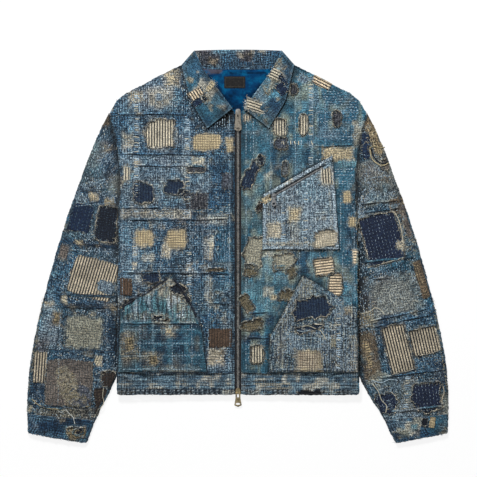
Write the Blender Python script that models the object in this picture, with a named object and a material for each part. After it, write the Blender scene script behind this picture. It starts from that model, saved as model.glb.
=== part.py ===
"""Patched boro jacket, zip closed, laid flat on its back with its sleeves drawn down beside the body.

The floor is z = 0, the collar points along +Y and the wearer's left side is +X. Lengths inside this file are
millimetres, turned into metres where an object is made. The body is one sheet of triangles: every panel, band,
pocket and patch on it is cut from those triangles and lifted, so that the layers lie on each other exactly.
"""

import math
from collections import namedtuple

import bmesh
import bpy
import numpy as np
from mathutils import Matrix, Vector

MM = 0.001
JACKET, HELPERS = "boro_jacket", "helpers"

# ---------------------------------------------------------------- cloth
CLOTH = 2.2                 # layered and quilted cloth
FACING = 1.0                # single cloth: neck lining, patches
SEAM = 0.3                  # between pieces that are sewn edge to edge, or that lie on each other
LOFT = 3.2                  # air between the front and the back, away from the seams
TAPER = 45.0                # the air closes over this width towards a side seam
SHOULDER_TAPER = 36.0       # and over this width towards a shoulder seam

# ---------------------------------------------------------------- body outline, wearer's left half
HEM_Y, HEM_X = -289.0, 235.0
BAND_TOP_Y = -246.0         # seam between the hem band and the panels
UNDERARM_Y, UNDERARM_X = 76.0, 230.0
SHOULDER_X, SHOULDER_Y = 250.5, 259.0       # shoulder point, top of the armhole
ARMHOLE_BOW = 10.0          # how far the armhole curves in from its chord
NECK_X, NECK_Y = 92.0, 361.5                # where the shoulder seam meets the collar
NAPE_Y = 345.0              # centre back of the neck seam
NECK_CURVE = 6.0            # power of the neck seam's curve: straight behind the neck, then rising
FRONT_NECK_Y = 262.0        # top of the front edges
FRONT_EDGE_X = 6.5          # front edges stop here, either side of the zip
FRONT_NECK_X = 104.0        # the front's neck edge ends this far out, under the collar

ShoulderPoint = namedtuple("ShoulderPoint", "x y")
SHOULDER = (
    ShoulderPoint(NECK_X, NECK_Y),
    ShoulderPoint(150.0, 333.0),
    ShoulderPoint(218.0, 297.5),
    ShoulderPoint(236.0, 283.0),
    ShoulderPoint(SHOULDER_X, SHOULDER_Y),
)
SHEET_COLUMNS = 11          # across half the body
NECK_COLUMNS = 4            # those of them that end at the neck
SHEET_ROWS = 22             # hem to shoulder
ARMHOLE_ROWS = 8            # the uppermost of those rows run along the armhole

# ---------------------------------------------------------------- sleeve
# Each row is a flattened ring: its inner and outer ends in plan, how far its middle bows, how high its inner end
# is held off the floor, and its thickness at the ends and in the middle.
SleeveRow = namedtuple("SleeveRow", "inner_x inner_y outer_x outer_y bow raised edge middle")
SLEEVE = (
    SleeveRow(231.5, 60.0, 263.5, 238.0, -4.0, 0.8, 5.2, 6.6),
    SleeveRow(226.5, 38.0, 288.5, 180.0, 0.0, 0.0, 5.4, 7.2),
    SleeveRow(220.0, 6.0, 305.0, 133.0, 0.0, 0.0, 5.5, 7.8),
    SleeveRow(213.0, -26.0, 323.0, 86.0, 0.0, 0.0, 5.6, 8.0),
    SleeveRow(207.0, -55.0, 338.5, 39.0, 0.0, 0.0, 5.6, 8.2),
    SleeveRow(203.0, -86.0, 353.0, -8.0, 0.0, 0.0, 5.6, 8.2),
    SleeveRow(202.0, -119.0, 366.5, -55.0, 0.0, 0.0, 5.6, 8.2),
    SleeveRow(204.0, -153.0, 378.5, -101.0, 0.0, 0.0, 5.6, 8.2),
    SleeveRow(210.0, -188.0, 390.0, -148.0, 0.0, 0.0, 5.6, 8.2),
    SleeveRow(221.0, -222.0, 400.0, -195.0, 0.0, 0.0, 5.6, 8.2),
    SleeveRow(237.0, -255.0, 407.0, -242.0, 0.0, 0.0, 5.6, 8.0),
    SleeveRow(254.0, -289.0, 410.0, -286.0, 0.0, 0.0, 5.6, 7.8),
    SleeveRow(270.0, -316.0, 410.5, -309.0, 0.0, 0.0, 5.6, 7.4),
    SleeveRow(283.0, -340.0, 410.5, -327.0, 0.0, 0.0, 5.6, 7.2),
)
CUFF = (
    SleeveRow(283.3, -340.5, 410.5, -327.5, 0.0, 0.0, 6.2, 8.0),
    SleeveRow(292.0, -362.0, 410.0, -346.0, 0.0, 0.0, 6.2, 8.2),
    SleeveRow(302.0, -384.0, 409.0, -365.0, 0.0, 0.0, 6.2, 7.8),
)
SLEEVE_ACROSS = 8           # facets across a sleeve, the same as the rows along the armhole
SLEEVE_SKEW = 6.0           # at the wrist the wearer's left sleeve is this much farther out than the mean
SKEW_TOP_Y, SKEW_LOW_Y = -270.0, -380.0
RAISE = 8.8                 # the body's sides lie on the sleeves, this far off the floor
RAISE_REACH = 60.0          # and come down to the floor over this width
RAISE_TOP_Y = 215.0         # the raise fades out up the armhole

# ---------------------------------------------------------------- folds
# A soft ridge from one end to the other: its half width and its height, fading out at its ends.
Fold = namedtuple("Fold", "x0 y0 x1 y1 width height")
FRONT_FOLDS = (
    Fold(40.0, 190.0, 205.0, 215.0, 30.0, 0.9),
    Fold(-40.0, 205.0, -200.0, 180.0, 34.0, 1.0),
    Fold(-60.0, 60.0, -190.0, 38.0, 30.0, 0.9),
    Fold(55.0, -30.0, 190.0, -45.0, 26.0, 0.8),
    Fold(-30.0, -90.0, -55.0, -225.0, 26.0, 0.9),
    Fold(34.0, -70.0, 50.0, -220.0, 26.0, 0.8),
    Fold(150.0, -120.0, 160.0, -235.0, 30.0, 0.8),
    Fold(-150.0, -110.0, -165.0, -235.0, 30.0, 0.8),
)
SLEEVE_FOLDS = (
    Fold(238.0, 224.0, 274.0, 92.0, 12.0, 2.0),
    Fold(300.0, 70.0, 262.0, -20.0, 15.0, 1.6),
    Fold(345.0, -20.0, 258.0, -70.0, 14.0, 1.5),
    Fold(368.0, -95.0, 262.0, -118.0, 14.0, 1.7),
    Fold(384.0, -165.0, 250.0, -150.0, 13.0, 1.5),
    Fold(392.0, -232.0, 268.0, -214.0, 13.0, 1.4),
    Fold(398.0, -290.0, 292.0, -268.0, 12.0, 1.3),
    Fold(352.0, -318.0, 344.0, -262.0, 12.0, 1.1),
)

# ---------------------------------------------------------------- collar, wearer's left leaf
ROLL_FRONT = (10.8, 269.0)          # lower end of the roll line, beside the zip
ROLL_BEND = (66.0, 342.5)           # bend of the roll line, at the neck seam
ROLL_BACK = (85.0, 382.0)           # where the roll line turns along the back
ROLL_BEND_AT = 0.68                 # its share of the roll line's length
LEAF_POINT = (60.5, 230.0)          # the collar's point
LEAF_HIP = (92.5, 283.0)            # bend of the outer edge
LEAF_SHOULDER = (110.2, 354.0)      # where the leaf turns over the shoulder
LEAF_HIP_AT = 0.44                  # the bend's share of the outer edge
COLLAR_CLOTH = 2.4
COLLAR_LIFT = 1.0                   # leaf over the front panel
ROLL_STEP = 3.6                     # the roll line stands this much higher than the leaf's outer edge
LEAF_SECTIONS = 10
COLLAR_BACK_X = 84.0                # half width of the back of the collar
COLLAR_TOP_Y = 384.0
FALL_Y = 318.0                      # lower edge of the back fall, under the body
FALL_REACH = 26.0                   # width over which the body comes down off the fall

# ---------------------------------------------------------------- pockets, lining, label
CHEST_POCKET = ((48.0, -6.5), (197.5, -6.5), (184.0, 177.0), (48.5, 100.5))
CHEST_ZIP = ((69.0, 98.5), (164.0, 153.5))      # from its closed end to its open end
CHEST_SLOT = 5.4                                # width of the opening that holds the zip
SLOT_PAST = 2.5                                 # the opening runs on past the zip's ends
POCKET_LIFT = 1.2                               # leaves room for the chest zip's tape below
# Corners of each hand pocket: lower inner, lower outer, opening's outer end, apex, then down the inner slope.
HAND_POCKETS = {
    1: ((60.5, -245.6), (234.0, -245.6), (232.0, -120.5), (127.0, -57.0), (62.5, -177.0)),
    -1: ((-61.5, -245.6), (-233.0, -245.6), (-229.0, -120.5), (-129.5, -57.0), (-106.0, -88.0), (-72.5, -155.0)),
}
HAND_POCKET_LIFT = 0.4
LINING_X, LINING_LOW_Y = 104.0, 236.0
LINING_CORNER = ((88.0, 341.0), (16.0, 32.0))   # a point on its cut corner, and how that cut runs
LABEL = ((-27.0, 308.5), (14.2, 308.5), (14.2, 331.5), (-27.0, 331.5))
LABEL_CLOTH = 0.6

# ---------------------------------------------------------------- patches that are sewn on top
# centre, half width, half height, turn in degrees; on the wearer's left (side 1) or right (side -1)
Patch = namedtuple("Patch", "name side x y half_width half_height turn")
SLEEVE_PATCHES = (
    Patch("navy_upper", -1, 308.0, 57.0, 19.0, 28.0, 12.0),
    Patch("striped_elbow", -1, 281.0, -62.0, 42.0, 38.0, 8.0),
    Patch("sage", -1, 300.0, -169.0, 42.0, 36.0, 4.0),
    Patch("grey_brown", -1, 335.0, -268.0, 47.0, 44.0, 5.0),
    Patch("navy_bicep", 1, 282.0, 14.0, 38.0, 47.0, 12.0),
    Patch("grey_elbow", 1, 300.0, -97.0, 46.0, 40.0, 10.0),
    Patch("striped_forearm", 1, 312.0, -204.0, 30.0, 47.0, 8.0),
    Patch("striped_outer", 1, 373.0, -186.0, 23.0, 27.0, 10.0),
    Patch("navy_wrist", 1, 372.0, -293.0, 29.0, 28.0, 4.0),
)
BODY_PATCHES = (
    Patch("striped_breast", 1, -154.0, 222.0, 27.0, 26.0, 0.0),
    Patch("navy_side", 1, -185.0, 103.0, 21.0, 20.0, 0.0),
    Patch("charcoal_square", 1, -80.0, 84.0, 21.0, 18.0, 0.0),
    Patch("sand_square", 1, -124.0, 8.0, 22.0, 25.0, 0.0),
    Patch("rust_block", 1, -36.0, -179.0, 23.0, 19.0, 0.0),
    Patch("striped_bar", 1, 166.0, -42.0, 19.0, 15.0, 4.0),
)
SHORT_CLEAR = 0.35          # a patch lies this far over its panel
PATCH_CLOTH_THICK = 1.0

# ---------------------------------------------------------------- zips
TAPE_CLOTH = 0.8
TAPE_INNER_X, TAPE_OUTER_X = 3.1, 16.0
ZIP_RIDGE, ZIP_RIDGE_WIDTH = 1.8, 22.0          # the zip makes a low ridge down the front
CHAIN_HALF_WIDTH, CHAIN_THICK = 2.8, 2.4
CHAIN_TOP_Y, CHAIN_LOW_Y = 258.0, -284.0
CHEST_CHAIN_HALF_WIDTH, CHEST_CHAIN_THICK = 1.7, 1.3
CHEST_TAPE_HALF_WIDTH = 9.0
CHEST_CHAIN_FROM = 5.0                          # the chest chain starts this far past its closed end
# A slider in its own frame: the chain runs along Y, its mid height is z = 0, and the mouth is at +Y. Plates, the
# room between plate and chain, the post between the plates, and the arch over the upper plate. "under" is 1 where
# it has a lower plate too.
Slider = namedtuple("Slider", "half_width length plate room chain post_half post_y0 post_y1 arch_half arch_reach "
                              "arch_bar under")
FRONT_SLIDER = Slider(4.6, 11.6, 1.1, 0.3, CHAIN_THICK, 1.5, 1.7, 5.2, 0.9, 4.6, 0.6, 1)
CHEST_SLIDER = Slider(3.5, 8.4, 0.9, 1.1, CHEST_CHAIN_THICK, 1.8, -3.0, 3.0, 0.45, 2.8, 0.4, 0)
# A pull tab from its hinge line down to its pointed foot: half widths at the head, the neck and the foot, the bar
# round the hinge line, the window below the bar that the arch passes through, the foot's slope, and its eye.
Tab = namedtuple("Tab", "length head neck foot thick bar window_half window_low slope eye_up eye_half_x eye_half_y")
TOP_TAB = Tab(38.0, 5.0, 5.0, 7.2, 1.4, 0.8, 1.9, 9.0, 4.0, 6.2, 3.4, 1.3)
LOW_TAB = Tab(29.5, 4.9, 5.0, 7.0, 1.4, 0.8, 1.9, 9.0, 3.4, 6.2, 4.5, 2.4)
CHEST_TAB = Tab(21.5, 4.3, 2.4, 4.9, 1.0, 0.45, 3.3, 2.6, 3.2, 5.2, 2.6, 2.5)
TAB_CLEAR = 1.2             # a tab's underside over the slider's upper plate
ARCH_CLEAR = 0.7            # the arch over the tab
TOP_SLIDER_Y, LOW_SLIDER_Y = 262.0, -283.0
LOW_HINGE = 2.7             # the lower tab hangs from the mouth end of its arch
TOP_TAB_DROP = 0.8          # degrees
LOW_TAB_DROP = 18.0         # degrees, down over the hem to the floor
EYE_SIDES = 16

# ---------------------------------------------------------------- materials
Finish = namedtuple("Finish", "red green blue rough metal")
FINISHES = {
    "indigo_cloth": Finish(0.10, 0.19, 0.30, 0.95, 0.0),
    "pocket_cloth": Finish(0.16, 0.24, 0.33, 0.95, 0.0),
    "lining_cloth": Finish(0.02, 0.15, 0.38, 0.85, 0.0),
    "navy_cloth": Finish(0.02, 0.03, 0.08, 0.95, 0.0),
    "striped_cloth": Finish(0.48, 0.40, 0.30, 0.95, 0.0),
    "grey_cloth": Finish(0.16, 0.17, 0.17, 0.95, 0.0),
    "brown_cloth": Finish(0.17, 0.10, 0.05, 0.95, 0.0),
    "label_cloth": Finish(0.01, 0.01, 0.01, 0.8, 0.0),
    "zip_tape": Finish(0.015, 0.015, 0.02, 0.9, 0.0),
    "zip_metal": Finish(0.32, 0.28, 0.24, 0.35, 1.0),
}
PATCH_CLOTH = {"navy": "navy_cloth", "striped": "striped_cloth", "sage": "grey_cloth", "grey": "grey_cloth",
               "charcoal": "grey_cloth", "sand": "striped_cloth", "rust": "brown_cloth"}


def smooth(t):
    """0 below 0, 1 above 1, and an S-curve between."""
    t = np.clip(t, 0.0, 1.0)
    return t * t * (3.0 - 2.0 * t)


# ================================================================ outline of the body
def armhole_x(y):
    """The armhole: a chord from the underarm to the shoulder point, bowed in as a parabola."""
    s = (y - UNDERARM_Y) / (SHOULDER_Y - UNDERARM_Y)
    return UNDERARM_X + (SHOULDER_X - UNDERARM_X) * s - ARMHOLE_BOW * 4.0 * s * (1.0 - s)


def side_x(y):
    """Half width of the body: the side seam up to the underarm, then the armhole."""
    seam = np.interp(y, (HEM_Y, UNDERARM_Y), (HEM_X, UNDERARM_X))
    return np.where(y > UNDERARM_Y, armhole_x(y), seam)


def shoulder_y(x):
    """Height of the shoulder seam over x, from the neck out to the shoulder point."""
    return np.interp(np.abs(x), [p.x for p in SHOULDER], [p.y for p in SHOULDER])


def side_stations():
    """Heights of the sheet's rows along its side edge: even from the hem to the underarm, and even again above it."""
    below = np.linspace(HEM_Y, UNDERARM_Y, SHEET_ROWS - ARMHOLE_ROWS + 1)
    above = np.linspace(UNDERARM_Y, SHOULDER_Y, ARMHOLE_ROWS + 1)
    return np.concatenate([below, above[1:]])


def neck_y(x):
    """Height of the neck seam over x, straight between the sheet's columns."""
    stations = np.linspace(0.0, NECK_X, NECK_COLUMNS + 1)
    heights = NAPE_Y + (NECK_Y - NAPE_Y) * (stations / NECK_X) ** NECK_CURVE
    return np.interp(np.abs(x), stations, heights)


def sheet_plan():
    """Plan points of the whole body's sheet, rows by columns: a Coons patch on its four edges, mirrored in x = 0."""
    u = np.linspace(0.0, 1.0, SHEET_COLUMNS + 1)
    side_y = side_stations()
    v = (side_y - HEM_Y) / (SHOULDER_Y - HEM_Y)
    top_x = np.interp(u, (0.0, NECK_COLUMNS / SHEET_COLUMNS, 1.0), (0.0, NECK_X, SHOULDER_X))
    top_y = np.where(top_x < NECK_X, neck_y(top_x), shoulder_y(top_x))
    u, v = u[None, :], v[:, None]
    x = (1 - v) * (HEM_X * u) + v * top_x + u * side_x(side_y)[:, None]
    x = x - ((1 - v) * u * HEM_X + v * u * SHOULDER_X)
    y = (1 - v) * HEM_Y + v * top_y + (1 - u) * (HEM_Y + v * (NAPE_Y - HEM_Y)) + u * side_y[:, None]
    y = y - ((1 - v) * HEM_Y + v * ((1 - u) * NAPE_Y + u * SHOULDER_Y))
    x = np.concatenate([-x[:, :0:-1], x], axis=1)
    y = np.concatenate([y[:, :0:-1], y], axis=1)
    return x, y


# ================================================================ heights
def fold_height(folds, x, y):
    """Sum of the ridges: a bell across each one and a smooth fade towards its two ends."""
    total = np.zeros_like(x)
    for f in folds:
        dx, dy = f.x1 - f.x0, f.y1 - f.y0
        length = math.hypot(dx, dy)
        along = ((x - f.x0) * dx + (y - f.y0) * dy) / length
        across = ((x - f.x0) * dy - (y - f.y0) * dx) / length
        ends = smooth(along / (0.35 * length)) * smooth((length - along) / (0.35 * length))
        total = total + f.height * np.exp(-((across / f.width) ** 2)) * ends
    return total


def sleeve_inner_x(y):
    """The sleeve's inner edge over y, which runs under the body's side."""
    rows = SLEEVE[::-1]
    return np.interp(y, [r.inner_y for r in rows], [r.inner_x for r in rows])


def back_low(x, y):
    """Underside of the back: on the floor, raised over the sleeves at its sides and over the collar's fall."""
    over_sleeve = smooth((np.abs(x) - sleeve_inner_x(y) + RAISE_REACH) / (RAISE_REACH - 4.0))
    fade = smooth((RAISE_TOP_Y - y) / (RAISE_TOP_Y - UNDERARM_Y - 20.0))
    over_fall = smooth((y - FALL_Y + FALL_REACH + 14.0) / FALL_REACH)
    over_fall = over_fall * smooth((COLLAR_BACK_X + 34.0 - np.abs(x)) / 30.0)
    return RAISE * over_sleeve * fade + (COLLAR_CLOTH + SEAM + 0.1) * over_fall


def loft(x, y):
    """Air between back and front: little at the side and shoulder seams, more inside, most under the zip."""
    inside = smooth((side_x(y) - np.abs(x)) / TAPER) * smooth((shoulder_y(x) - y) / SHOULDER_TAPER)
    ridge = ZIP_RIDGE * np.exp(-((x / ZIP_RIDGE_WIDTH) ** 2))
    return SEAM + inside * (LOFT - SEAM + fold_height(FRONT_FOLDS, x, y)) + ridge


def back_top(x, y):
    return back_low(x, y) + CLOTH


def front_low(x, y):
    return back_top(x, y) + loft(x, y)


def front_top(x, y):
    return front_low(x, y) + CLOTH


# ================================================================ mesh tools
def surface(points, merge=False):
    """An open surface through a grid of points, rows by columns. With merge, edges that coincide are joined."""
    rows, columns = points.shape[:2]
    bm = bmesh.new()
    bmesh.ops.create_grid(bm, x_segments=columns - 1, y_segments=rows - 1, size=1.0)
    for vertex, point in zip(bm.verts, points.reshape(-1, 3)):
        vertex.co = point
    if merge:
        bmesh.ops.remove_doubles(bm, verts=bm.verts[:], dist=1e-3)
    return bm


def body_layer(height):
    """The body's sheet, in triangles, at the height that a function of plan position gives."""
    x, y = sheet_plan()
    bm = surface(np.stack([x, y, height(x, y)], axis=-1))
    bmesh.ops.triangulate(bm, faces=bm.faces[:])
    return bm


def cut_away(bm, point, normal):
    """Removes what lies beyond an upright plane through point, on the side that normal points to."""
    geometry = bm.verts[:] + bm.edges[:] + bm.faces[:]
    bmesh.ops.bisect_plane(bm, geom=geometry, dist=1e-4, plane_co=(*point, 0.0), plane_no=(*normal, 0.0),
                           clear_outer=True)
    return bm


def cut_to(bm, outline):
    """Keeps what lies inside a convex outline."""
    turning = sum(a[0] * b[1] - a[1] * b[0] for a, b in zip(outline, outline[1:] + outline[:1]))
    way = 1.0 if turning > 0 else -1.0
    for (ax, ay), (bx, by) in zip(outline, outline[1:] + outline[:1]):
        cut_away(bm, (ax, ay), (way * (by - ay), way * (ax - bx)))
    return bm


def thicken(bm, thickness):
    """Gives an open surface a wall straight up."""
    made = bmesh.ops.extrude_face_region(bm, geom=bm.faces[:], use_keep_orig=True)
    raised = [g for g in made["geom"] if isinstance(g, bmesh.types.BMVert)]
    bmesh.ops.translate(bm, verts=raised, vec=(0.0, 0.0, thickness))
    bmesh.ops.recalc_face_normals(bm, faces=bm.faces[:])
    return bm


def material(name):
    """The named finish as a Principled material, made once."""
    found = bpy.data.materials.get(name)
    if found:
        return found
    finish = FINISHES[name]
    made = bpy.data.materials.new(name)
    made.use_nodes = True
    shader = made.node_tree.nodes["Principled BSDF"]
    shader.inputs["Base Color"].default_value = (finish.red, finish.green, finish.blue, 1.0)
    shader.inputs["Roughness"].default_value = finish.rough
    shader.inputs["Metallic"].default_value = finish.metal
    return made


def add_piece(name, bm, finish, smooth_shaded=True):
    """Makes one named object from millimetres, in the jacket's collection."""
    mesh = bpy.data.meshes.new(name)
    bmesh.ops.scale(bm, vec=(MM, MM, MM), verts=bm.verts[:])
    bm.to_mesh(mesh)
    bm.free()
    if smooth_shaded:
        mesh.shade_smooth()
        mesh.set_sharp_from_angle(angle=math.radians(40.0))
    mesh.materials.append(material(finish))
    made = bpy.data.objects.new(name, mesh)
    bpy.data.collections[JACKET].objects.link(made)
    return made


def mirrored(outline, side):
    """An outline of the wearer's left, or its mirror image for side -1."""
    return [(side * x, y) for x, y in outline]


# ================================================================ body
SIDE_NAME = {1: "left", -1: "right"}


def hem_and_panel(name, height, finish, cuts):
    """A panel and the hem band below it, cut from one layer along the band's seam."""
    for suffix, sign in (("", -1.0), ("_hem_band", 1.0)):
        bm = body_layer(height)
        for point, normal in cuts:
            cut_away(bm, point, normal)
        cut_away(bm, (0.0, BAND_TOP_Y - sign * SEAM / 2.0), (0.0, sign))
        add_piece(name + suffix, thicken(bm, CLOTH), finish)


def build_body():
    """Back, two fronts, their hem bands, the neck lining and the label."""
    hem_and_panel("back", back_low, "indigo_cloth", [])
    neck_run, neck_rise = FRONT_NECK_X - FRONT_EDGE_X, NECK_Y - FRONT_NECK_Y
    for side, word in SIDE_NAME.items():
        front_edge = ((side * FRONT_EDGE_X, 0.0), (-side, 0.0))
        neck = ((side * FRONT_EDGE_X, FRONT_NECK_Y), (-side * neck_rise, neck_run))
        hem_and_panel(f"front_{word}", front_low, "indigo_cloth", [front_edge, neck])
    bm = body_layer(lambda x, y: back_top(x, y) + SEAM)
    (corner_x, corner_y), (run_x, run_y) = LINING_CORNER
    for side in SIDE_NAME:
        cut_away(bm, (side * LINING_X, 0.0), (side, 0.0))
        cut_away(bm, (side * corner_x, corner_y), (side * run_y, run_x))
    cut_away(bm, (0.0, LINING_LOW_Y), (0.0, -1.0))
    add_piece("neck_lining", thicken(bm, FACING), "lining_cloth")
    bm = body_layer(lambda x, y: back_top(x, y) + SEAM + FACING + SEAM)
    add_piece("neck_label", thicken(cut_to(bm, list(LABEL)), LABEL_CLOTH), "label_cloth")


def strip_along(start, end, half_width, past=0.0):
    """Outline of a strip centred on a line, running past its ends."""
    run = Vector((end[0] - start[0], end[1] - start[1])).normalized()
    aside = Vector((-run.y, run.x)) * half_width
    a, b = Vector(start) - run * past, Vector(end) + run * past
    return [tuple(a - aside), tuple(b - aside), tuple(b + aside), tuple(a + aside)]


def prism(outline, low, high):
    """An upright prism on a plan outline."""
    bm = bmesh.new()
    bm.faces.new([bm.verts.new((x, y, low)) for x, y in outline])
    return thicken(bm, high - low)


def combine(base, others, operation):
    """Joins other bodies to a base or cuts them from it, as Booleans, and puts them with the helpers."""
    for other in others:
        step = base.modifiers.new(operation.lower(), "BOOLEAN")
        step.operation = operation
        step.solver = "EXACT"
        step.object = other
        other.hide_render = True
        other.display_type = "WIRE"
        bpy.data.collections[JACKET].objects.unlink(other)
        bpy.data.collections[HELPERS].objects.link(other)
    return base


def build_pockets():
    """Chest pocket with the opening for its zip, and the two hand pockets."""
    bm = body_layer(lambda x, y: front_top(x, y) + POCKET_LIFT)
    pocket = add_piece("chest_pocket", thicken(cut_to(bm, list(CHEST_POCKET)), CLOTH), "pocket_cloth",
                       smooth_shaded=False)
    opening = strip_along(*CHEST_ZIP, CHEST_SLOT / 2.0, SLOT_PAST)
    cutter = add_piece("chest_opening", prism(opening, 0.0, 10.0 * CLOTH), "pocket_cloth")
    combine(pocket, [cutter], "DIFFERENCE")
    for side, word in SIDE_NAME.items():
        bm = body_layer(lambda x, y: front_top(x, y) + HAND_POCKET_LIFT)
        cut_to(bm, list(HAND_POCKETS[side]))
        add_piece(f"hand_pocket_{word}", thicken(bm, CLOTH), "pocket_cloth")


# ================================================================ sleeves and cuffs
def plan_points(row, side):
    """Points across a sleeve row in plan, and the unit vector from its inner to its outer end."""
    skew = side * SLEEVE_SKEW * np.clip((SKEW_TOP_Y - row.inner_y) / (SKEW_TOP_Y - SKEW_LOW_Y), 0.0, 1.0)
    inner, outer = np.array([row.inner_x + skew, row.inner_y]), np.array([row.outer_x, row.outer_y])
    across = (outer - inner) / np.linalg.norm(outer - inner)
    inner, outer = inner + across * row.edge / 2.0, outer - across * row.edge / 2.0
    s = np.linspace(0.0, 1.0, SLEEVE_ACROSS + 1)[:, None]
    aside = np.array([-across[1], across[0]])
    return inner + (outer - inner) * s + aside * row.bow * 4.0 * s * (1.0 - s), across


def ring(row, side, inset):
    """One flattened ring of a sleeve as a closed loop of points, set in by the wall's thickness where inset is."""
    plan, across = plan_points(row, side)
    s = np.linspace(0.0, 1.0, SLEEVE_ACROSS + 1)
    low = row.raised * (1.0 - smooth(s / 0.5))
    high = low + row.edge + (row.middle - row.edge) * np.sin(np.pi * s)
    clear = smooth((plan[:, 0] - UNDERARM_X - 3.0) / 14.0) * smooth((1.0 - s) / 0.12)
    high = high + fold_height(SLEEVE_FOLDS, plan[:, 0], plan[:, 1]) * clear
    return closed_ring(plan, across, low, high, row.edge / 2.0, inset)


def armhole_ring(inset):
    """The sleeve's first ring, along the armhole edges of the body and at their height."""
    y = side_stations()[-ARMHOLE_ROWS - 1:]
    x = side_x(y)
    low = back_low(x, y)
    plan = np.stack([x + 2.0 * SEAM, y], axis=-1)
    return closed_ring(plan, np.array([0.12, 0.99]), low, front_top(x, y), 2.4, inset)


def closed_ring(plan, across, low, high, reach, inset):
    """Loop: the inner end, the top from inner to outer, the outer end, and the underside back again."""
    def end(index, way):
        flat = plan[index] + across * way * (reach - inset)
        return [[*flat, (low[index] + high[index]) / 2.0]]
    top = np.column_stack([plan, high - inset])
    under = np.column_stack([plan, low + inset])[::-1]
    loop = np.concatenate([end(0, -1.0), top, end(-1, 1.0), under])
    return np.concatenate([loop, loop[:1]])


def tube(outer, inner):
    """A closed wall between two stacks of rings, open at both ends of the tube."""
    rings = np.array([*outer, *inner[::-1], outer[0]])
    bm = surface(rings, merge=True)
    bmesh.ops.triangulate(bm, faces=bm.faces[:])
    bmesh.ops.recalc_face_normals(bm, faces=bm.faces[:])
    return bm


def build_sleeves():
    """Two sleeves, each a flattened tube from the armhole to the cuff seam, and their cuffs."""
    for side, word in SIDE_NAME.items():
        for name, rows, wall in (("sleeve", SLEEVE, CLOTH), ("cuff", CUFF, CLOTH + 0.3)):
            outer, inner = ([ring(row, side, inset) for row in rows] for inset in (0.0, wall))
            if name == "sleeve":
                outer, inner = [armhole_ring(0.0), *outer], [armhole_ring(wall), *inner]
            bm = tube(outer, inner)
            turn_to_side(bm, side)
            add_piece(f"{name}_{word}", bm, "indigo_cloth")


def turn_to_side(bm, side):
    """Leaves a mesh as it is for side 1 and mirrors it in x = 0 for side -1."""
    if side < 0:
        bmesh.ops.scale(bm, vec=(-1.0, 1.0, 1.0), verts=bm.verts[:])
        bmesh.ops.reverse_faces(bm, faces=bm.faces[:])


def sleeve_top(side, rise):
    """The sleeve's upper surface as an open sheet of the same triangles, lifted by rise."""
    tops = np.array([ring(row, side, 0.0)[1:SLEEVE_ACROSS + 2] for row in SLEEVE])
    bm = surface(tops + np.array([0.0, 0.0, rise]))
    bmesh.ops.triangulate(bm, faces=bm.faces[:])
    return bm


# ================================================================ patches
def patch_outline(patch):
    """A rectangle about the patch's centre, turned."""
    turn = math.radians(patch.turn)
    corners = []
    for a, b in ((-1, -1), (1, -1), (1, 1), (-1, 1)):
        dx, dy = a * patch.half_width, b * patch.half_height
        corners.append((patch.x + dx * math.cos(turn) - dy * math.sin(turn),
                        patch.y + dx * math.sin(turn) + dy * math.cos(turn)))
    return corners


def build_patches():
    """Patches sewn on top: each is cut from the triangles of the panel below it and moved up."""
    for patch in SLEEVE_PATCHES:
        bm = thicken(cut_to(sleeve_top(patch.side, SHORT_CLEAR), patch_outline(patch)), PATCH_CLOTH_THICK)
        turn_to_side(bm, patch.side)
        add_piece(f"patch_{patch.name}", bm, PATCH_CLOTH[patch.name.split("_")[0]])
    for patch in BODY_PATCHES:
        bm = body_layer(lambda x, y: front_top(x, y) + SHORT_CLEAR)
        bm = thicken(cut_to(bm, patch_outline(patch)), PATCH_CLOTH_THICK)
        add_piece(f"patch_{patch.name}", bm, PATCH_CLOTH[patch.name.split("_")[0]])


# ================================================================ collar
def loft_solid(sections):
    """A solid through closed sections, with its two ends filled."""
    loops = np.array([np.concatenate([s, s[:1]]) for s in sections])
    bm = surface(loops, merge=True)
    bmesh.ops.holes_fill(bm, edges=[e for e in bm.edges if e.is_boundary], sides=0)
    bmesh.ops.triangulate(bm, faces=bm.faces[:])
    bmesh.ops.recalc_face_normals(bm, faces=bm.faces[:])
    return bm


def at(a, b, t):
    """The point a share t of the way from a to b."""
    return np.asarray(a, float) + (np.asarray(b, float) - np.asarray(a, float)) * t


def bent(start, bend, end, bend_at, t):
    """The point a share t along a line with one bend."""
    return at(start, bend, t / bend_at) if t < bend_at else at(bend, end, (t - bend_at) / (1.0 - bend_at))


def leaf_height(x, y):
    """Underside of the leaf: over the front panel, and over the back of the collar past the shoulder seam."""
    on_body = front_top(np.abs(x), np.minimum(y, shoulder_y(x)))
    return on_body + COLLAR_LIFT


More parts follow.
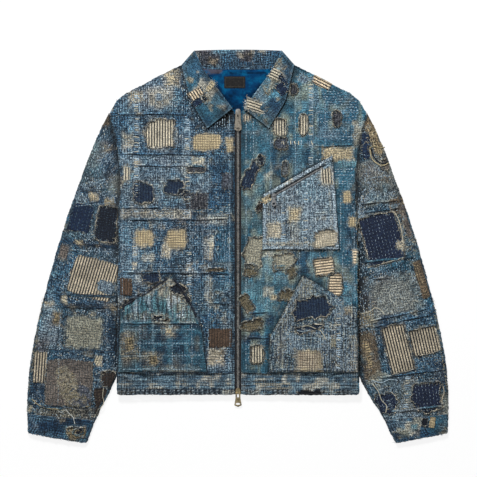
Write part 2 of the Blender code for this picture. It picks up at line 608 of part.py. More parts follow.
def leaf_section(t, across=7, turn_under=11.0):
    """Section of the leaf at a share t of its length: under ply from the neck seam out to the roll, round it, and
    the upper ply from the roll to the outer edge. Both plies lie in one upright plane."""
    roll = bent(ROLL_FRONT, ROLL_BEND, ROLL_BACK, ROLL_BEND_AT, t)
    edge = bent(LEAF_POINT, LEAF_HIP, LEAF_SHOULDER, LEAF_HIP_AT, t)
    width = float(np.linalg.norm(edge - roll))
    direction = (edge - roll) / width
    reach = np.concatenate([[1.6], np.linspace(6.0, width, across)])
    upper = roll + direction * reach[:, None]
    step = ROLL_STEP * (1.0 - smooth((reach - 4.0) / 34.0))
    low = leaf_height(upper[:, 0], upper[:, 1]) + step
    under = roll + direction * np.array([[1.6], [turn_under]])
    under_low = leaf_height(under[:, 0], under[:, 1])
    ply = COLLAR_CLOTH - 0.6
    nose_low, nose_high = under_low[0] + 0.2, low[0] + COLLAR_CLOTH - 0.2
    top_skin = np.column_stack([upper, low + COLLAR_CLOTH])
    low_skin = np.column_stack([upper[:0:-1], low[:0:-1]])
    fold_inner = [[*(roll + direction * 3.4), (under_low[0] + ply + low[1]) / 2.0]]
    under_top = [[*under[1], under_low[1] + ply]]
    under_base = [[*under[1], under_low[1]], [*under[0], under_low[0]]]
    nose = [[*roll, nose_low + 1.2], [*roll, nose_high - 1.2]]
    return np.concatenate([top_skin, low_skin, fold_inner, under_top, under_base, nose])


def collar_back_section(x):
    """Section of the collar's back over x: the stand from the neck seam up to the roll, and the fall that turns
    under and lies below the body."""
    share = abs(x) / COLLAR_BACK_X
    neck = float(neck_y(x)) + SEAM
    top = COLLAR_TOP_Y - 2.0 * share ** 2
    seam_low = float(back_low(np.float64(x), np.float64(neck)))
    roll_high = seam_low + CLOTH + 0.6
    fold = 3.0
    return np.array([[x, y, z] for y, z in (
        (neck, seam_low), (neck, seam_low + CLOTH), ((neck + top) / 2.0, roll_high), (top - fold, roll_high),
        (top, roll_high - 1.8), (top, 1.2), (top - fold, 0.0), ((FALL_Y + top) / 2.0, 0.0), (FALL_Y, 0.0),
        (FALL_Y, COLLAR_CLOTH - 0.2), ((FALL_Y + top) / 2.0, COLLAR_CLOTH - 0.2), (top - fold, COLLAR_CLOTH - 0.2),
        (top - fold, seam_low), ((neck + top) / 2.0, seam_low))])


def build_collar():
    """The back of the collar and its two leaves."""
    across_back = np.linspace(-COLLAR_BACK_X, COLLAR_BACK_X, 11)
    add_piece("collar_back", loft_solid([collar_back_section(x) for x in across_back]), "indigo_cloth")
    for side, word in SIDE_NAME.items():
        bm = loft_solid([leaf_section(t) for t in np.linspace(0.0, 1.0, LEAF_SECTIONS)])
        turn_to_side(bm, side)
        add_piece(f"collar_leaf_{word}", bm, "indigo_cloth")


# ================================================================ zips
def rectangle(half_x, y0, y1):
    return [(-half_x, y0), (half_x, y0), (half_x, y1), (-half_x, y1)]


def plate_outline(kind, share):
    """Plan outline of a slider plate: narrow where the chain leaves, wide in the middle, blunt at the mouth."""
    w, end = kind.half_width * share, kind.length / 2.0
    return [(-0.62 * w, -end), (0.62 * w, -end), (w, -0.35 * end), (w, 0.55 * end), (0.6 * w, end),
            (-0.6 * w, end), (-w, 0.55 * end), (-w, -0.35 * end)]


def hinge_height(kind, tab):
    """Height of a pull tab's hinge line over the chain's mid height."""
    return kind.chain / 2.0 + kind.room + kind.plate + TAB_CLEAR + tab.thick / 2.0


def slider(name, kind, tab, frame):
    """A slider as one body: its plates, the post and the arch, placed by a frame in metres."""
    inner = kind.chain / 2.0 + kind.room
    outer = inner + kind.plate
    ceiling = hinge_height(kind, tab) + tab.thick / 2.0 + ARCH_CLEAR
    post_low = -inner - 0.4 if kind.under else 0.1 - inner / 2.0
    parts = [
        prism(plate_outline(kind, 1.0), inner, outer),
        prism(rectangle(kind.post_half, kind.post_y0, kind.post_y1), post_low, inner + 0.4),
    ]
    if kind.under:
        parts.append(prism(plate_outline(kind, 0.96), -outer, -inner))
    reach, bar = kind.arch_reach, kind.arch_bar
    parts.append(prism(rectangle(kind.arch_half, -reach - bar, -reach + bar), outer - 0.4, ceiling + 2.0 * bar))
    parts.append(prism(rectangle(kind.arch_half, reach - bar, reach + bar), outer - 0.4, ceiling + 2.0 * bar))
    parts.append(prism(rectangle(0.96 * kind.arch_half, -reach, reach), ceiling, ceiling + 1.9 * bar))
    made = [add_piece(f"{name}_{i}" if i else name, bm, "zip_metal", smooth_shaded=False)
            for i, bm in enumerate(parts)]
    for piece in made:
        piece.matrix_world = frame
    return combine(made[0], made[1:], "UNION")


def pull_tab(name, tab, frame):
    """A flat tab as a filled outline with a window and an eye, its origin on its hinge line."""
    foot, shoulder = -tab.length, -tab.window_low - tab.bar - 1.4
    shape = [(-tab.head, tab.bar), (tab.head, tab.bar), (tab.head, shoulder), (tab.neck, shoulder - 1.5),
             (tab.foot, foot + tab.slope + 2.0), (tab.foot, foot + tab.slope), (0.0, foot),
             (-tab.foot, foot + tab.slope), (-tab.foot, foot + tab.slope + 2.0), (-tab.neck, shoulder - 1.5),
             (-tab.head, shoulder)]
    window = rectangle(tab.window_half, -tab.bar - tab.window_low, -tab.bar)
    turns = np.linspace(0.0, 2.0 * math.pi, EYE_SIDES + 1)[:-1]
    eye = [(tab.eye_half_x * math.cos(a), foot + tab.eye_up + tab.eye_half_y * math.sin(a)) for a in turns]
    curve = bpy.data.curves.new(name, "CURVE")
    curve.dimensions = "2D"
    curve.fill_mode = "BOTH"
    curve.extrude = tab.thick / 2.0 * MM
    for outline in (shape, window, eye):
        line = curve.splines.new("POLY")
        line.points.add(len(outline) - 1)
        for point, (x, y) in zip(line.points, outline):
            point.co = (x * MM, y * MM, 0.0, 1.0)
        line.use_cyclic_u = True
    curve.materials.append(material("zip_metal"))
    made = bpy.data.objects.new(name, curve)
    made.matrix_world = frame
    bpy.data.collections[JACKET].objects.link(made)


def tape_low(x, y):
    """Underside of the front zip's tapes, which lie just under the front edges."""
    return front_low(x, y) - SEAM - TAPE_CLOTH


def build_front_zip():
    """Two tapes under the front edges, the chain between them, and a slider with its tab at each end."""
    for side, word in SIDE_NAME.items():
        bm = body_layer(tape_low)
        cut_to(bm, mirrored([(TAPE_INNER_X, HEM_Y), (TAPE_OUTER_X, HEM_Y), (TAPE_OUTER_X, CHAIN_TOP_Y),
                             (TAPE_INNER_X, CHAIN_TOP_Y)], side))
        add_piece(f"zip_tape_{word}", thicken(bm, TAPE_CLOTH), "zip_tape")
    bm = body_layer(lambda x, y: tape_low(x, y) + TAPE_CLOTH / 2.0 - CHAIN_THICK / 2.0)
    cut_to(bm, rectangle(CHAIN_HALF_WIDTH, CHAIN_LOW_Y, CHAIN_TOP_Y))
    add_piece("zip_chain", thicken(bm, CHAIN_THICK), "zip_metal", smooth_shaded=False)
    for word, y, tab, turn, hinge_y, drop in (("top", TOP_SLIDER_Y, TOP_TAB, 0.0, 0.0, TOP_TAB_DROP),
                                              ("low", LOW_SLIDER_Y, LOW_TAB, math.pi, -LOW_HINGE, LOW_TAB_DROP)):
        middle = float(tape_low(np.float64(FRONT_EDGE_X), np.float64(y))) + TAPE_CLOTH / 2.0
        frame = Matrix.Translation(Vector((0.0, y, middle)) * MM)
        slider(f"zip_slider_{word}", FRONT_SLIDER, tab, frame @ Matrix.Rotation(turn, 4, "Z"))
        hinge = Matrix.Translation(Vector((0.0, hinge_y, hinge_height(FRONT_SLIDER, tab))) * MM)
        pull_tab(f"zip_pull_{word}", tab, frame @ hinge @ Matrix.Rotation(math.radians(drop), 4, "X"))


def build_chest_zip():
    """The chest pocket's zip: its tape under the pocket, its chain in the opening, its slider and its tab."""
    start, end = (Vector(p) for p in CHEST_ZIP)
    run = (end - start).normalized()
    bm = body_layer(lambda x, y: front_top(x, y) + SEAM)
    cut_to(bm, strip_along(start, end, CHEST_TAPE_HALF_WIDTH, SLOT_PAST))
    add_piece("chest_zip_tape", thicken(bm, POCKET_LIFT - 2.0 * SEAM), "zip_tape")
    bm = body_layer(lambda x, y: front_top(x, y) + POCKET_LIFT)
    cut_to(bm, strip_along(start + run * CHEST_CHAIN_FROM, end, CHEST_CHAIN_HALF_WIDTH))
    add_piece("chest_zip_chain", thicken(bm, CHEST_CHAIN_THICK), "zip_metal", smooth_shaded=False)
    spot = start + run * 1.0
    below = float(front_top(np.float64(spot.x), np.float64(spot.y)))
    middle = below + POCKET_LIFT + CLOTH + 2.0 * SEAM - CHEST_CHAIN_THICK / 2.0 - CHEST_SLIDER.room
    frame = Matrix.Translation(Vector((*spot, middle)) * MM)
    along = Matrix.Rotation(math.atan2(run.y, run.x) + math.pi / 2.0, 4, "Z")
    slider("chest_slider", CHEST_SLIDER, CHEST_TAB, frame @ along)
    hinge = Matrix.Translation(Vector((0.0, 0.0, hinge_height(CHEST_SLIDER, CHEST_TAB))) * MM)
    pull_tab("chest_pull", CHEST_TAB, frame @ hinge)


def main():
    for old in list(bpy.data.objects):
        bpy.data.objects.remove(old)
    for name in (JACKET, HELPERS):
        bpy.context.scene.collection.children.link(bpy.data.collections.new(name))
    build_body()
    build_pockets()
    build_sleeves()
    build_patches()
    build_collar()
    build_front_zip()
    build_chest_zip()


main()
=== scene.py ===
"""Looks of a patched boro jacket laid flat: cloth shells, patches, running stitches, loose yarns and its
zips.

Everything is worked out in millimetres in the part's own frame (+Y to the collar, +X to the wearer's left)
and turned into metres where a mesh is made. Cloth surfaces are heights over the plan. What is sewn on a
panel reads its height there and is laid on it."""
import math
from collections import namedtuple

import bpy
import numpy as np
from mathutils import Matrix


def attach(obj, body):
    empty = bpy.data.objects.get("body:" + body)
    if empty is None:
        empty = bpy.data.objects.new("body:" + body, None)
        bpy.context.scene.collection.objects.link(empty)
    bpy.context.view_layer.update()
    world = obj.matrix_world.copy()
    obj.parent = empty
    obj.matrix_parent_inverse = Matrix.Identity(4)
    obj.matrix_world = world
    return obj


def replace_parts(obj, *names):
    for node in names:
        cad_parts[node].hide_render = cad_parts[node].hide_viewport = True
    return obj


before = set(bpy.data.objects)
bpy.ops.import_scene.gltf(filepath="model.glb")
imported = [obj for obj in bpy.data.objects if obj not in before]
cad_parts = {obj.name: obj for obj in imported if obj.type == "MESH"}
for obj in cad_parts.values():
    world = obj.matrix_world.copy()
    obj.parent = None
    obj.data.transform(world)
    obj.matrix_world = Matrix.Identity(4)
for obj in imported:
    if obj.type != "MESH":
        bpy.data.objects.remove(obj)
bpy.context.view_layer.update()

MM = 0.001
TURN = 2.0 * math.pi

# ---------------------------------------------------------------- sizes shared with the part
CLOTH, LOFT, SEAM = 2.2, 3.2, 0.3
HEM_Y, HEM_X, BAND_TOP_Y = -289.0, 235.0, -246.0
UNDERARM_X, UNDERARM_Y = 230.0, 76.0
SHOULDER_X, SHOULDER_Y = 250.5, 259.0
NECK_X, NECK_Y, NAPE_Y = 92.0, 361.5, 345.0
FRONT_EDGE_X, FRONT_NECK_Y = 6.5, 262.0
SHOULDER_LINE = ((92.0, 361.5), (150.0, 333.0), (218.0, 297.5), (236.0, 283.0), (250.5, 259.0))
FRONT_NECK_CORNER = (100.1, 357.5)      # where the front's neck edge meets the shoulder seam
GRID = 3.0                              # spacing of a panel's points
LATTICE = 61                            # cells of noise before it repeats
SPREAD = 40                             # how many cells a height spreads over a gap



def cell(word):
    """A table's word as what it says: a whole number, a number, names joined by commas, or a name."""
    if "," in word:
        return tuple(word.split(","))
    if word.strip("-.0123456789"):
        return word
    return float(word) if "." in word else int(word)


def rows(kind, text):
    """Rows of a table with the kind's named columns. A semicolon ends each row."""
    return tuple(kind(*map(cell, row.split())) for row in text.split(";") if row.strip())


# Rings of a sleeve from armhole to cuff: its inner and outer point, how far it bows, how far it is raised,
# and its thickness at the edge and in the middle.
Row = namedtuple("Row", "inner_x inner_y outer_x outer_y bow raised edge middle")
SLEEVE = rows(Row, """
    231.5 60 263.5 238 -4 .8 5.2 6.6; 226.5 38 288.5 180 0 0 5.4 7.2; 220 6 305 133 0 0 5.5 7.8;
    213 -26 323 86 0 0 5.6 8.0; 207 -55 338.5 39 0 0 5.6 8.2; 203 -86 353 -8 0 0 5.6 8.2;
    202 -119 366.5 -55 0 0 5.6 8.2; 204 -153 378.5 -101 0 0 5.6 8.2; 210 -188 390 -148 0 0 5.6 8.2;
    221 -222 400 -195 0 0 5.6 8.2; 237 -255 407 -242 0 0 5.6 8.0; 254 -289 410 -286 0 0 5.6 7.8;
    270 -316 410.5 -309 0 0 5.6 7.4; 283 -340 410.5 -327 0 0 5.6 7.2;""")
CUFF = rows(Row, """
    283.3 -340.5 410.5 -327.5 0 0 6.2 8.0; 292 -362 410 -346 0 0 6.2 8.2; 302 -384 409 -365 0 0 6.2 7.8;""")

# A soft ridge, or a trough where its height is negative, from one end to the other.
Fold = namedtuple("Fold", "x0 y0 x1 y1 width height")
FRONT_FOLDS = rows(Fold, """
    40 190 205 215 30 .9; -40 205 -200 180 34 1.0; -60 60 -190 38 30 .9; 55 -30 190 -45 26 .8;
    -30 -90 -55 -225 26 .9; 34 -70 50 -220 26 .8; 150 -120 160 -235 30 .8; -150 -110 -165 -235 30 .8;""")
FRONT_CREASES = rows(Fold, """
    236 268 205 205 5 1.1; 228 262 212 190 4 -.9; 222 276 186 232 6 .9; 232 230 206 178 5 1.0;
    -236 262 -200 214 6 1.0; -228 240 -206 176 5 -.8; -222 200 -176 172 7 .8; -70 268 -30 232 5 .9;
    66 262 34 226 5 .9; -212 60 -130 36 6 .7; 208 40 140 2 6 -.7; -120 260 -104 190 7 .6;
    120 262 112 200 6 .6; -46 120 -30 40 6 .6; 60 90 34 20 5 -.6; 30 -40 26 -130 6 .6; -96 -20 -60 -110 7 .7;
    -214 -20 -190 -90 5 .8; 214 -70 196 -130 6 .8; 84 -180 110 -238 6 .6;""")
SLEEVE_FOLDS = rows(Fold, """
    238 224 274 92 12 2.0; 300 70 262 -20 15 1.6; 345 -20 258 -70 14 1.5; 368 -95 262 -118 14 1.7;
    384 -165 250 -150 13 1.5; 392 -232 268 -214 13 1.4; 398 -290 292 -268 12 1.3;
    352 -318 344 -262 12 1.1;""")
SLEEVE_CREASES = {
    1: rows(Fold, """
        244 222 258 160 4 1.4; 250 196 282 158 5 -1.2; 256 150 292 140 4 1.3; 238 140 262 60 5 -1.0;
        252 84 306 104 5 1.0; 318 70 286 58 4 1.0; 330 0 300 -44 5 1.0; 234 -60 296 -62 4 -1.0;
        344 -100 300 -140 5 1.2; 246 -128 372 -140 4 1.2; 262 -150 392 -160 4 -1.1; 378 -212 330 -250 6 .9;
        262 -246 330 -262 4 1.1; 300 -300 384 -262 4 -.9; 296 -322 396 -318 4 1.2;"""),
    -1: rows(Fold, """
        238 220 252 166 4 -1.4; 244 196 262 130 4 1.5; 262 186 276 118 5 1.2; 250 150 256 104 4 -1.5;
        236 112 300 124 5 1.1; 240 82 322 104 4 1.2; 230 14 330 24 4 1.2; 236 -6 342 8 4 -1.0;
        310 -30 352 -60 6 .9; 226 -114 366 -108 4 1.4; 232 -128 350 -122 4 -1.1; 346 -130 372 -206 5 1.0;
        262 -206 386 -212 5 1.0; 360 -214 384 -300 5 -.9; 292 -322 404 -312 4 1.3;"""),
}


# ================================================================ numbers
def smooth(t):
    """0 below 0, 1 above 1, and an S-curve between."""
    t = np.clip(t, 0.0, 1.0)
    return t * t * (3.0 - 2.0 * t)


def blend(a, b, share):
    """One value passing into another: the first less a share, and that share of the second."""
    return a * (1 - share) + b * share


def bell(distance, width):
    """1 in the middle, falling off on both sides: e to the minus square of the distance in widths."""
    return np.exp(-((distance / width) ** 2))


def turned(x, y, degrees):
    """Plan distances measured along axes turned by that angle: x cos + y sin, and y cos - x sin."""
    turn = math.radians(degrees)
    return x * math.cos(turn) + y * math.sin(turn), y * math.cos(turn) - x * math.sin(turn)


def placed(shape, a, b):
    """Plan points at distances a and b from a table row's centre along its own, turned axes."""
    turn = math.radians(shape.turn)
    cos, sin = math.cos(turn), math.sin(turn)
    return shape.x + a * cos - b * sin, shape.y + a * sin + b * cos


def noise(x, y, cell, seed):
    """Smooth noise from -1 to 1: random heights on a square lattice of that cell size, blended by
    S-curves."""
    lattice = np.random.default_rng(seed).uniform(-1.0, 1.0, (LATTICE, LATTICE))
    gx, gy = np.asarray(x, float) / cell, np.asarray(y, float) / cell
    ix, iy = np.floor(gx).astype(int), np.floor(gy).astype(int)
    fx, fy = smooth(gx - ix), smooth(gy - iy)
    x0, x1, y0, y1 = ix % LATTICE, (ix + 1) % LATTICE, iy % LATTICE, (iy + 1) % LATTICE
    return blend(blend(lattice[y0, x0], lattice[y0, x1], fx), blend(lattice[y1, x0], lattice[y1, x1], fx), fy)


def ripple(run, cell, seed):
    """The same noise along a line."""
    return noise(run, 0 * run, cell, seed)


def fold_height(folds, x, y):
    """Sum of folds: a bell across each one, an S-curve fade over a third of its length at either end."""
    total = np.zeros_like(x)
    for f in folds:
        dx, dy = f.x1 - f.x0, f.y1 - f.y0
        length = math.hypot(dx, dy)
        run = ((x - f.x0) * dx + (y - f.y0) * dy) / length
        across = ((x - f.x0) * dy - (y - f.y0) * dx) / length
        ends = smooth(run / (0.35 * length)) * smooth((length - run) / (0.35 * length))
        total = total + f.height * bell(across, f.width) * ends
    return total


# ================================================================ the body's heights
def side_x(y):
    """Half width of the body: the side seam, and above the underarm the armhole, a chord bowed in."""
    s = (y - UNDERARM_Y) / (SHOULDER_Y - UNDERARM_Y)
    armhole = UNDERARM_X + (SHOULDER_X - UNDERARM_X) * s - 40.0 * s * (1.0 - s)
    return np.where(y > UNDERARM_Y, armhole, np.interp(y, (HEM_Y, UNDERARM_Y), (HEM_X, UNDERARM_X)))


def shoulder_y(x):
    """Height of the shoulder line over x, straight between its points."""
    return np.interp(np.abs(x), *zip(*SHOULDER_LINE))


def neck_y(x):
    """Neck seam: straight behind the neck, then rising with the sixth power of its distance from the
    middle."""
    return NAPE_Y + (NECK_Y - NAPE_Y) * (np.clip(np.abs(x) / NECK_X, 0, 1)) ** 6


def sleeve_edge(y, which, rings=SLEEVE):
    """How far out a sleeve's inner or outer edge is at y, straight between its rings."""
    return np.interp(y, *([getattr(r, f"{which}_{axis}") for r in rings[::-1]] for axis in "yx"))


def back_low(x, y):
    """Underside of the back: on the floor, raised over the sleeves at its sides and over the collar's
    fall."""
    over_sleeve = smooth((np.abs(x) - sleeve_edge(y, "inner") + 60.0) / 56.0) * smooth((215.0 - y) / 119.0)
    over_fall = smooth((y - 278.0) / 26.0) * smooth((118.0 - np.abs(x)) / 30.0)
    return 8.8 * over_sleeve + 2.8 * over_fall


def front_top(x, y):
    """Upper face of the fronts: both cloths, the air between them, the broad folds and the ridge of the
    zip."""
    inside = smooth((side_x(y) - np.abs(x)) / 45.0) * smooth((shoulder_y(x) - y) / 36.0)
    air = SEAM + inside * (LOFT - SEAM + fold_height(FRONT_FOLDS, x, y)) + 1.8 * bell(x, 22.0)
    return back_low(x, y) + 2 * CLOTH + air


def worn_front(x, y):
    """The front with its creases, the puckers of its quilting and the softness of old cloth."""
    calm = smooth((side_x(y) - np.abs(x)) / 8.0) * smooth((np.abs(x) - 7.0) / 8.0)
    puckers = 0.6 * noise(x, y, 9.0, 3) + 0.4 * noise(x + 0.4 * y, y, 5.0, 5) + 0.6 * noise(x, y, 34.0, 7)
    return front_top(x, y) + calm * (puckers + 1.5 * fold_height(FRONT_CREASES, x, y))


class Skin:
    """Upper surface of an area of cloth as heights on a 1 mm raster. Patches laid on it raise it."""

    def __init__(self, x0, x1, y0, y1):
        self.x0, self.y0 = x0, y0
        self.x, self.y = np.meshgrid(np.arange(x0, x1 + 1.0), np.arange(y0, y1 + 1.0))
        self.z = np.full(self.x.shape, np.nan)

    def fill_from(self, x, y, z):
        """Takes the highest sample in each cell, then spreads heights into the cells that have none: each
        takes the mean of its known neighbours, ring after ring, and what is far from any sample the lowest
        height."""
        column = np.clip(np.rint(x - self.x0).astype(int), 0, self.x.shape[1] - 1)
        row = np.clip(np.rint(y - self.y0).astype(int), 0, self.x.shape[0] - 1)
        highest = np.full(self.x.shape, -np.inf)
        np.maximum.at(highest, (row.ravel(), column.ravel()), z.ravel())
        self.z = np.where(np.isfinite(highest), highest, np.nan)
        for _ in range(SPREAD):
            padded = np.pad(self.z, 1, constant_values=np.nan)
            around = np.stack([padded[:-2, 1:-1], padded[2:, 1:-1], padded[1:-1, :-2], padded[1:-1, 2:]])
            count = (~np.isnan(around)).sum(axis=0)
            total = np.nansum(around, axis=0)
            self.z = np.where(np.isnan(self.z) & (count > 0), total / np.maximum(count, 1), self.z)
        self.z = np.where(np.isnan(self.z), np.nanmin(self.z), self.z)
        return self

    def at(self, x, y):
        """Height at plan points, bilinear between the raster's cells."""
        gx = np.clip(np.asarray(x, float) - self.x0, 0, self.x.shape[1] - 1.001)
        gy = np.clip(np.asarray(y, float) - self.y0, 0, self.x.shape[0] - 1.001)
        ix, iy = gx.astype(int), gy.astype(int)
        fx = gx - ix
        return blend(blend(self.z[iy, ix], self.z[iy, ix + 1], fx),
                     blend(self.z[iy + 1, ix], self.z[iy + 1, ix + 1], fx), gy - iy)


# ================================================================ mesh tools
def grid_faces(rows, columns, start=0, wrap=False):
    """Quads of a grid of points, rows by columns. With wrap the last column joins the first."""
    index = np.arange(rows * columns).reshape(rows, columns) + start
    if wrap:
        index = np.concatenate([index, index[:, :1]], axis=1)
    return np.stack([index[:-1, :-1], index[:-1, 1:], index[1:, 1:], index[1:, :-1]], axis=-1).reshape(-1, 4)


def reach_along(points):
    """Distance along a line of points at each of them."""
    steps = np.linalg.norm(np.diff(np.asarray(points, float), axis=0), axis=1)
    return np.concatenate([[0.0], np.cumsum(steps)])


class Batch:
    """Collects surfaces with their cloth coordinates and colours, and makes them one piece."""

    def __init__(self):
        self.points, self.faces, self.uv = [], [], []
        self.colours = {"tint": [], "second": [], "figure": []}
        self.count = 0

    def add(self, points, faces, uv, tint, second=None, figure=(0.0, 0.0, 0.0)):
        """Points with their faces, cloth coordinates and colours. A plain thing has no second colour or
        figure."""
        points = np.asarray(points, float).reshape(-1, 3)
        n = len(points)
        self.points.append(points)
        self.faces.append(np.asarray(faces) + self.count)
        self.uv.append(np.asarray(uv, float).reshape(-1, 2))
        second = tint if second is None else second
        for key, value in zip(self.colours, (tint, second, figure)):
            self.colours[key].append(np.broadcast_to(np.asarray(value, float).reshape(-1, 3), (n, 3)))
        self.count += n

    def add_grid(self, x, y, z, uv, *colours, wrap=False, flip=False):
        """A surface given by grids of x, y and z. With wrap the last column joins the first, flip turns the
        faces."""
        faces = grid_faces(*x.shape, wrap=wrap)
        uv = np.stack([np.broadcast_to(part, x.shape) for part in uv], axis=-1)
        self.add(np.stack([x, y, z], axis=-1), faces[:, ::-1] if flip else faces, uv, *colours)

    def make(self, name, finish, slot, body="jacket", sharp=50.0):
        """One mesh object in metres, with its uv map, its colour attributes, its finish and the body it
        rides."""
        points = np.concatenate(self.points) * MM
        size = self.faces[0].shape[1]
        faces = np.concatenate(self.faces)
        mesh = bpy.data.meshes.new(name)
        mesh.vertices.add(len(points))
        mesh.vertices.foreach_set("co", points.astype(np.float32).ravel())
        mesh.loops.add(faces.size)
        mesh.loops.foreach_set("vertex_index", faces.astype(np.int32).ravel())
        mesh.polygons.add(len(faces))
        mesh.polygons.foreach_set("loop_start", np.arange(0, faces.size, size, dtype=np.int32))
        mesh.update(calc_edges=True)
        uv = (np.concatenate(self.uv) * MM)[faces.ravel()]
        mesh.uv_layers.new(name="cloth").data.foreach_set("uv", uv.astype(np.float32).ravel())
        for key, parts in self.colours.items():
            values = np.column_stack([np.concatenate(parts), np.ones(len(points))])
            layer = mesh.attributes.new(key, "FLOAT_COLOR", "POINT")
            layer.data.foreach_set("color", values.astype(np.float32).ravel())
        mesh.shade_smooth()
        mesh.set_sharp_from_angle(angle=math.radians(sharp))
        mesh.materials.append(finish)
        made = bpy.data.objects.new(name, mesh)
        bpy.context.scene.collection.objects.link(made)
        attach(made, body)
        return made


def wall(top, thick):
    """A closed shell: the top grid, the same grid a cloth's thickness below it, and a rim between the two."""
    rows, columns = top.shape[:2]
    n = rows * columns
    below = top - np.array([0.0, 0.0, 1.0]) * np.broadcast_to(thick, (rows, columns))[..., None]
    index = np.arange(n).reshape(rows, columns)
    loop = np.concatenate([index[0, :-1], index[:-1, -1], index[-1, :0:-1], index[:0:-1, 0]])
    after = np.roll(loop, -1)
    rim = np.stack([loop, loop + n, after + n, after], axis=-1)
    under = grid_faces(rows, columns, n)[:, ::-1]
    return np.concatenate([top.reshape(-1, 3), below.reshape(-1, 3)]), np.concatenate(
        [grid_faces(rows, columns), under, rim])


def along(points, count):
    """That many points spaced evenly along a line of straight stretches."""
    points, reach = np.asarray(points, float), reach_along(points)
    at = np.linspace(0.0, reach[-1], count)
    return np.column_stack([np.interp(at, reach, points[:, 0]), np.interp(at, reach, points[:, 1])])


def line_length(points):
    """Length of a line of straight stretches."""
    return float(np.linalg.norm(np.diff(np.asarray(points, float), axis=0), axis=1).sum())


def coons(low, right, high, left, step=GRID):
    """Plan grid between four edges: low and high run with +x, left and right run with +y. Each point is the
    mean of the two ruled surfaces less the flat one through the corners."""
    columns, rows = (max(3, int(max(line_length(a), line_length(b)) / step) + 1)
                     for a, b in ((low, high), (left, right)))
    low, high, left, right = along(low, columns), along(high, columns), along(left, rows), along(right, rows)
    u, v = np.linspace(0, 1, columns)[None, :, None], np.linspace(0, 1, rows)[:, None, None]
    ruled = (1 - v) * low[None] + v * high[None] + (1 - u) * left[:, None] + u * right[:, None]
    flat = (1 - u) * (1 - v) * low[0] + u * (1 - v) * low[-1] + (1 - u) * v * high[0] + u * v * high[-1]
    return ruled - flat


# ================================================================ the sleeves' surfaces
def sleeve_rings(rings, side, s, armhole=True):
    """Plan points, underside and thickness of each ring at shares s across it. The ring along the armhole
    comes first and takes the body's height."""
    plans, lows, highs = [], [], []
    if armhole:
        y = UNDERARM_Y + (SHOULDER_Y - UNDERARM_Y) * s
        plans.append(np.stack([side_x(y) + 0.6, y], axis=-1))
        lows.append(back_low(side_x(y), y))
        highs.append(front_top(side_x(y), y))
    for row in rings:
        skew = side * 6.0 * np.clip((-270.0 - row.inner_y) / 110.0, 0.0, 1.0)
        inner = np.array([row.inner_x + skew, row.inner_y])
        outer = np.array([row.outer_x, row.outer_y])
        run = (outer - inner) / np.linalg.norm(outer - inner)
        inner, outer = inner + run * row.edge / 2, outer - run * row.edge / 2
        bow = row.bow * 4.0 * s * (1.0 - s)
        plans.append(inner + (outer - inner) * s[:, None] + np.array([-run[1], run[0]]) * bow[:, None])
        low = row.raised * (1.0 - smooth(s / 0.5))
        lows.append(low)
        highs.append(low + row.edge + (row.middle - row.edge) * np.sin(math.pi * s))
    return np.array(plans), np.array(lows), np.array(highs)


def between(values, t):
    """Values of a stack of rows at row numbers t, straight between the rows."""
    k = np.clip(t.astype(int), 0, len(values) - 2)
    return blend(values[k], values[k + 1], (t - k).reshape((-1,) + (1,) * (values.ndim - 1)))


def sleeve_surface(rows, side, s, t, armhole=True):
    """Upper surface of a sleeve, t by s: the rings' heights, the broad folds, the creases and the puckers.
    Gives its plan (on the wearer's left), its height and its underside."""
    plans, lows, highs = sleeve_rings(rows, side, s, armhole)
    plan, low, high = between(plans, t), between(lows, t), between(highs, t)
    x, y = plan[..., 0], plan[..., 1]
    ends = smooth((1.0 - s) / 0.12) * np.ones_like(x)
    clear = smooth((x - 233.0) / 14.0) * ends
    calm = smooth(t / 0.8)[:, None] if armhole else 1.0
    broad = fold_height(SLEEVE_FOLDS, x, y) * clear
    creases = fold_height(SLEEVE_CREASES[side], x, y) * clear * ends * calm
    puckers = 0.55 * noise(x, y, 9.0, 11 + side) + 0.3 * noise(x, y, 5.0, 13)
    puckers = puckers + 0.6 * noise(x, y, 30.0, 17 + side)
    return x, y, high + broad + creases + puckers * calm * smooth((1.0 - s) / 0.06) * smooth(s / 0.06), low


# ================================================================ cloths
def linear(red, green, blue):
    """A colour given in display values, 0 to 255, as linear light."""
    c = np.array([red, green, blue]) / 255.0
    return np.where(c <= 0.04045, c / 12.92, ((c + 0.055) / 1.055) ** 2.4)


Colour = namedtuple("Colour", "name red green blue")
COLOURS = {c.name: linear(c.red, c.green, c.blue) for c in rows(Colour, """
    mid 42 82 110; pale 108 136 152; deep 24 53 80; teal 44 92 114; sky 94 140 160; steel 78 100 112;
    navy 18 37 64; ink 18 26 38; tan 182 168 134; cream 207 200 178; white 218 220 214; brown 114 102 84;
    umber 54 46 41; rust 90 73 59; grey 98 102 104; sage 134 140 131; taupe 107 101 95;
    charcoal 54 58 68; linen 160 164 150; olive 141 131 104; plum 68 72 84; aqua 86 134 146;
    sand 238 220 188; oat 194 184 162; smoke 52 84 104; ash 118 140 156; chalk 182 202 214;
    fog 132 140 138; shell 156 158 144; wheat 197 182 146; moss 146 156 138; bark 110 104 84;
    dune 160 144 114; slate 84 92 106; night 27 39 64;""")}

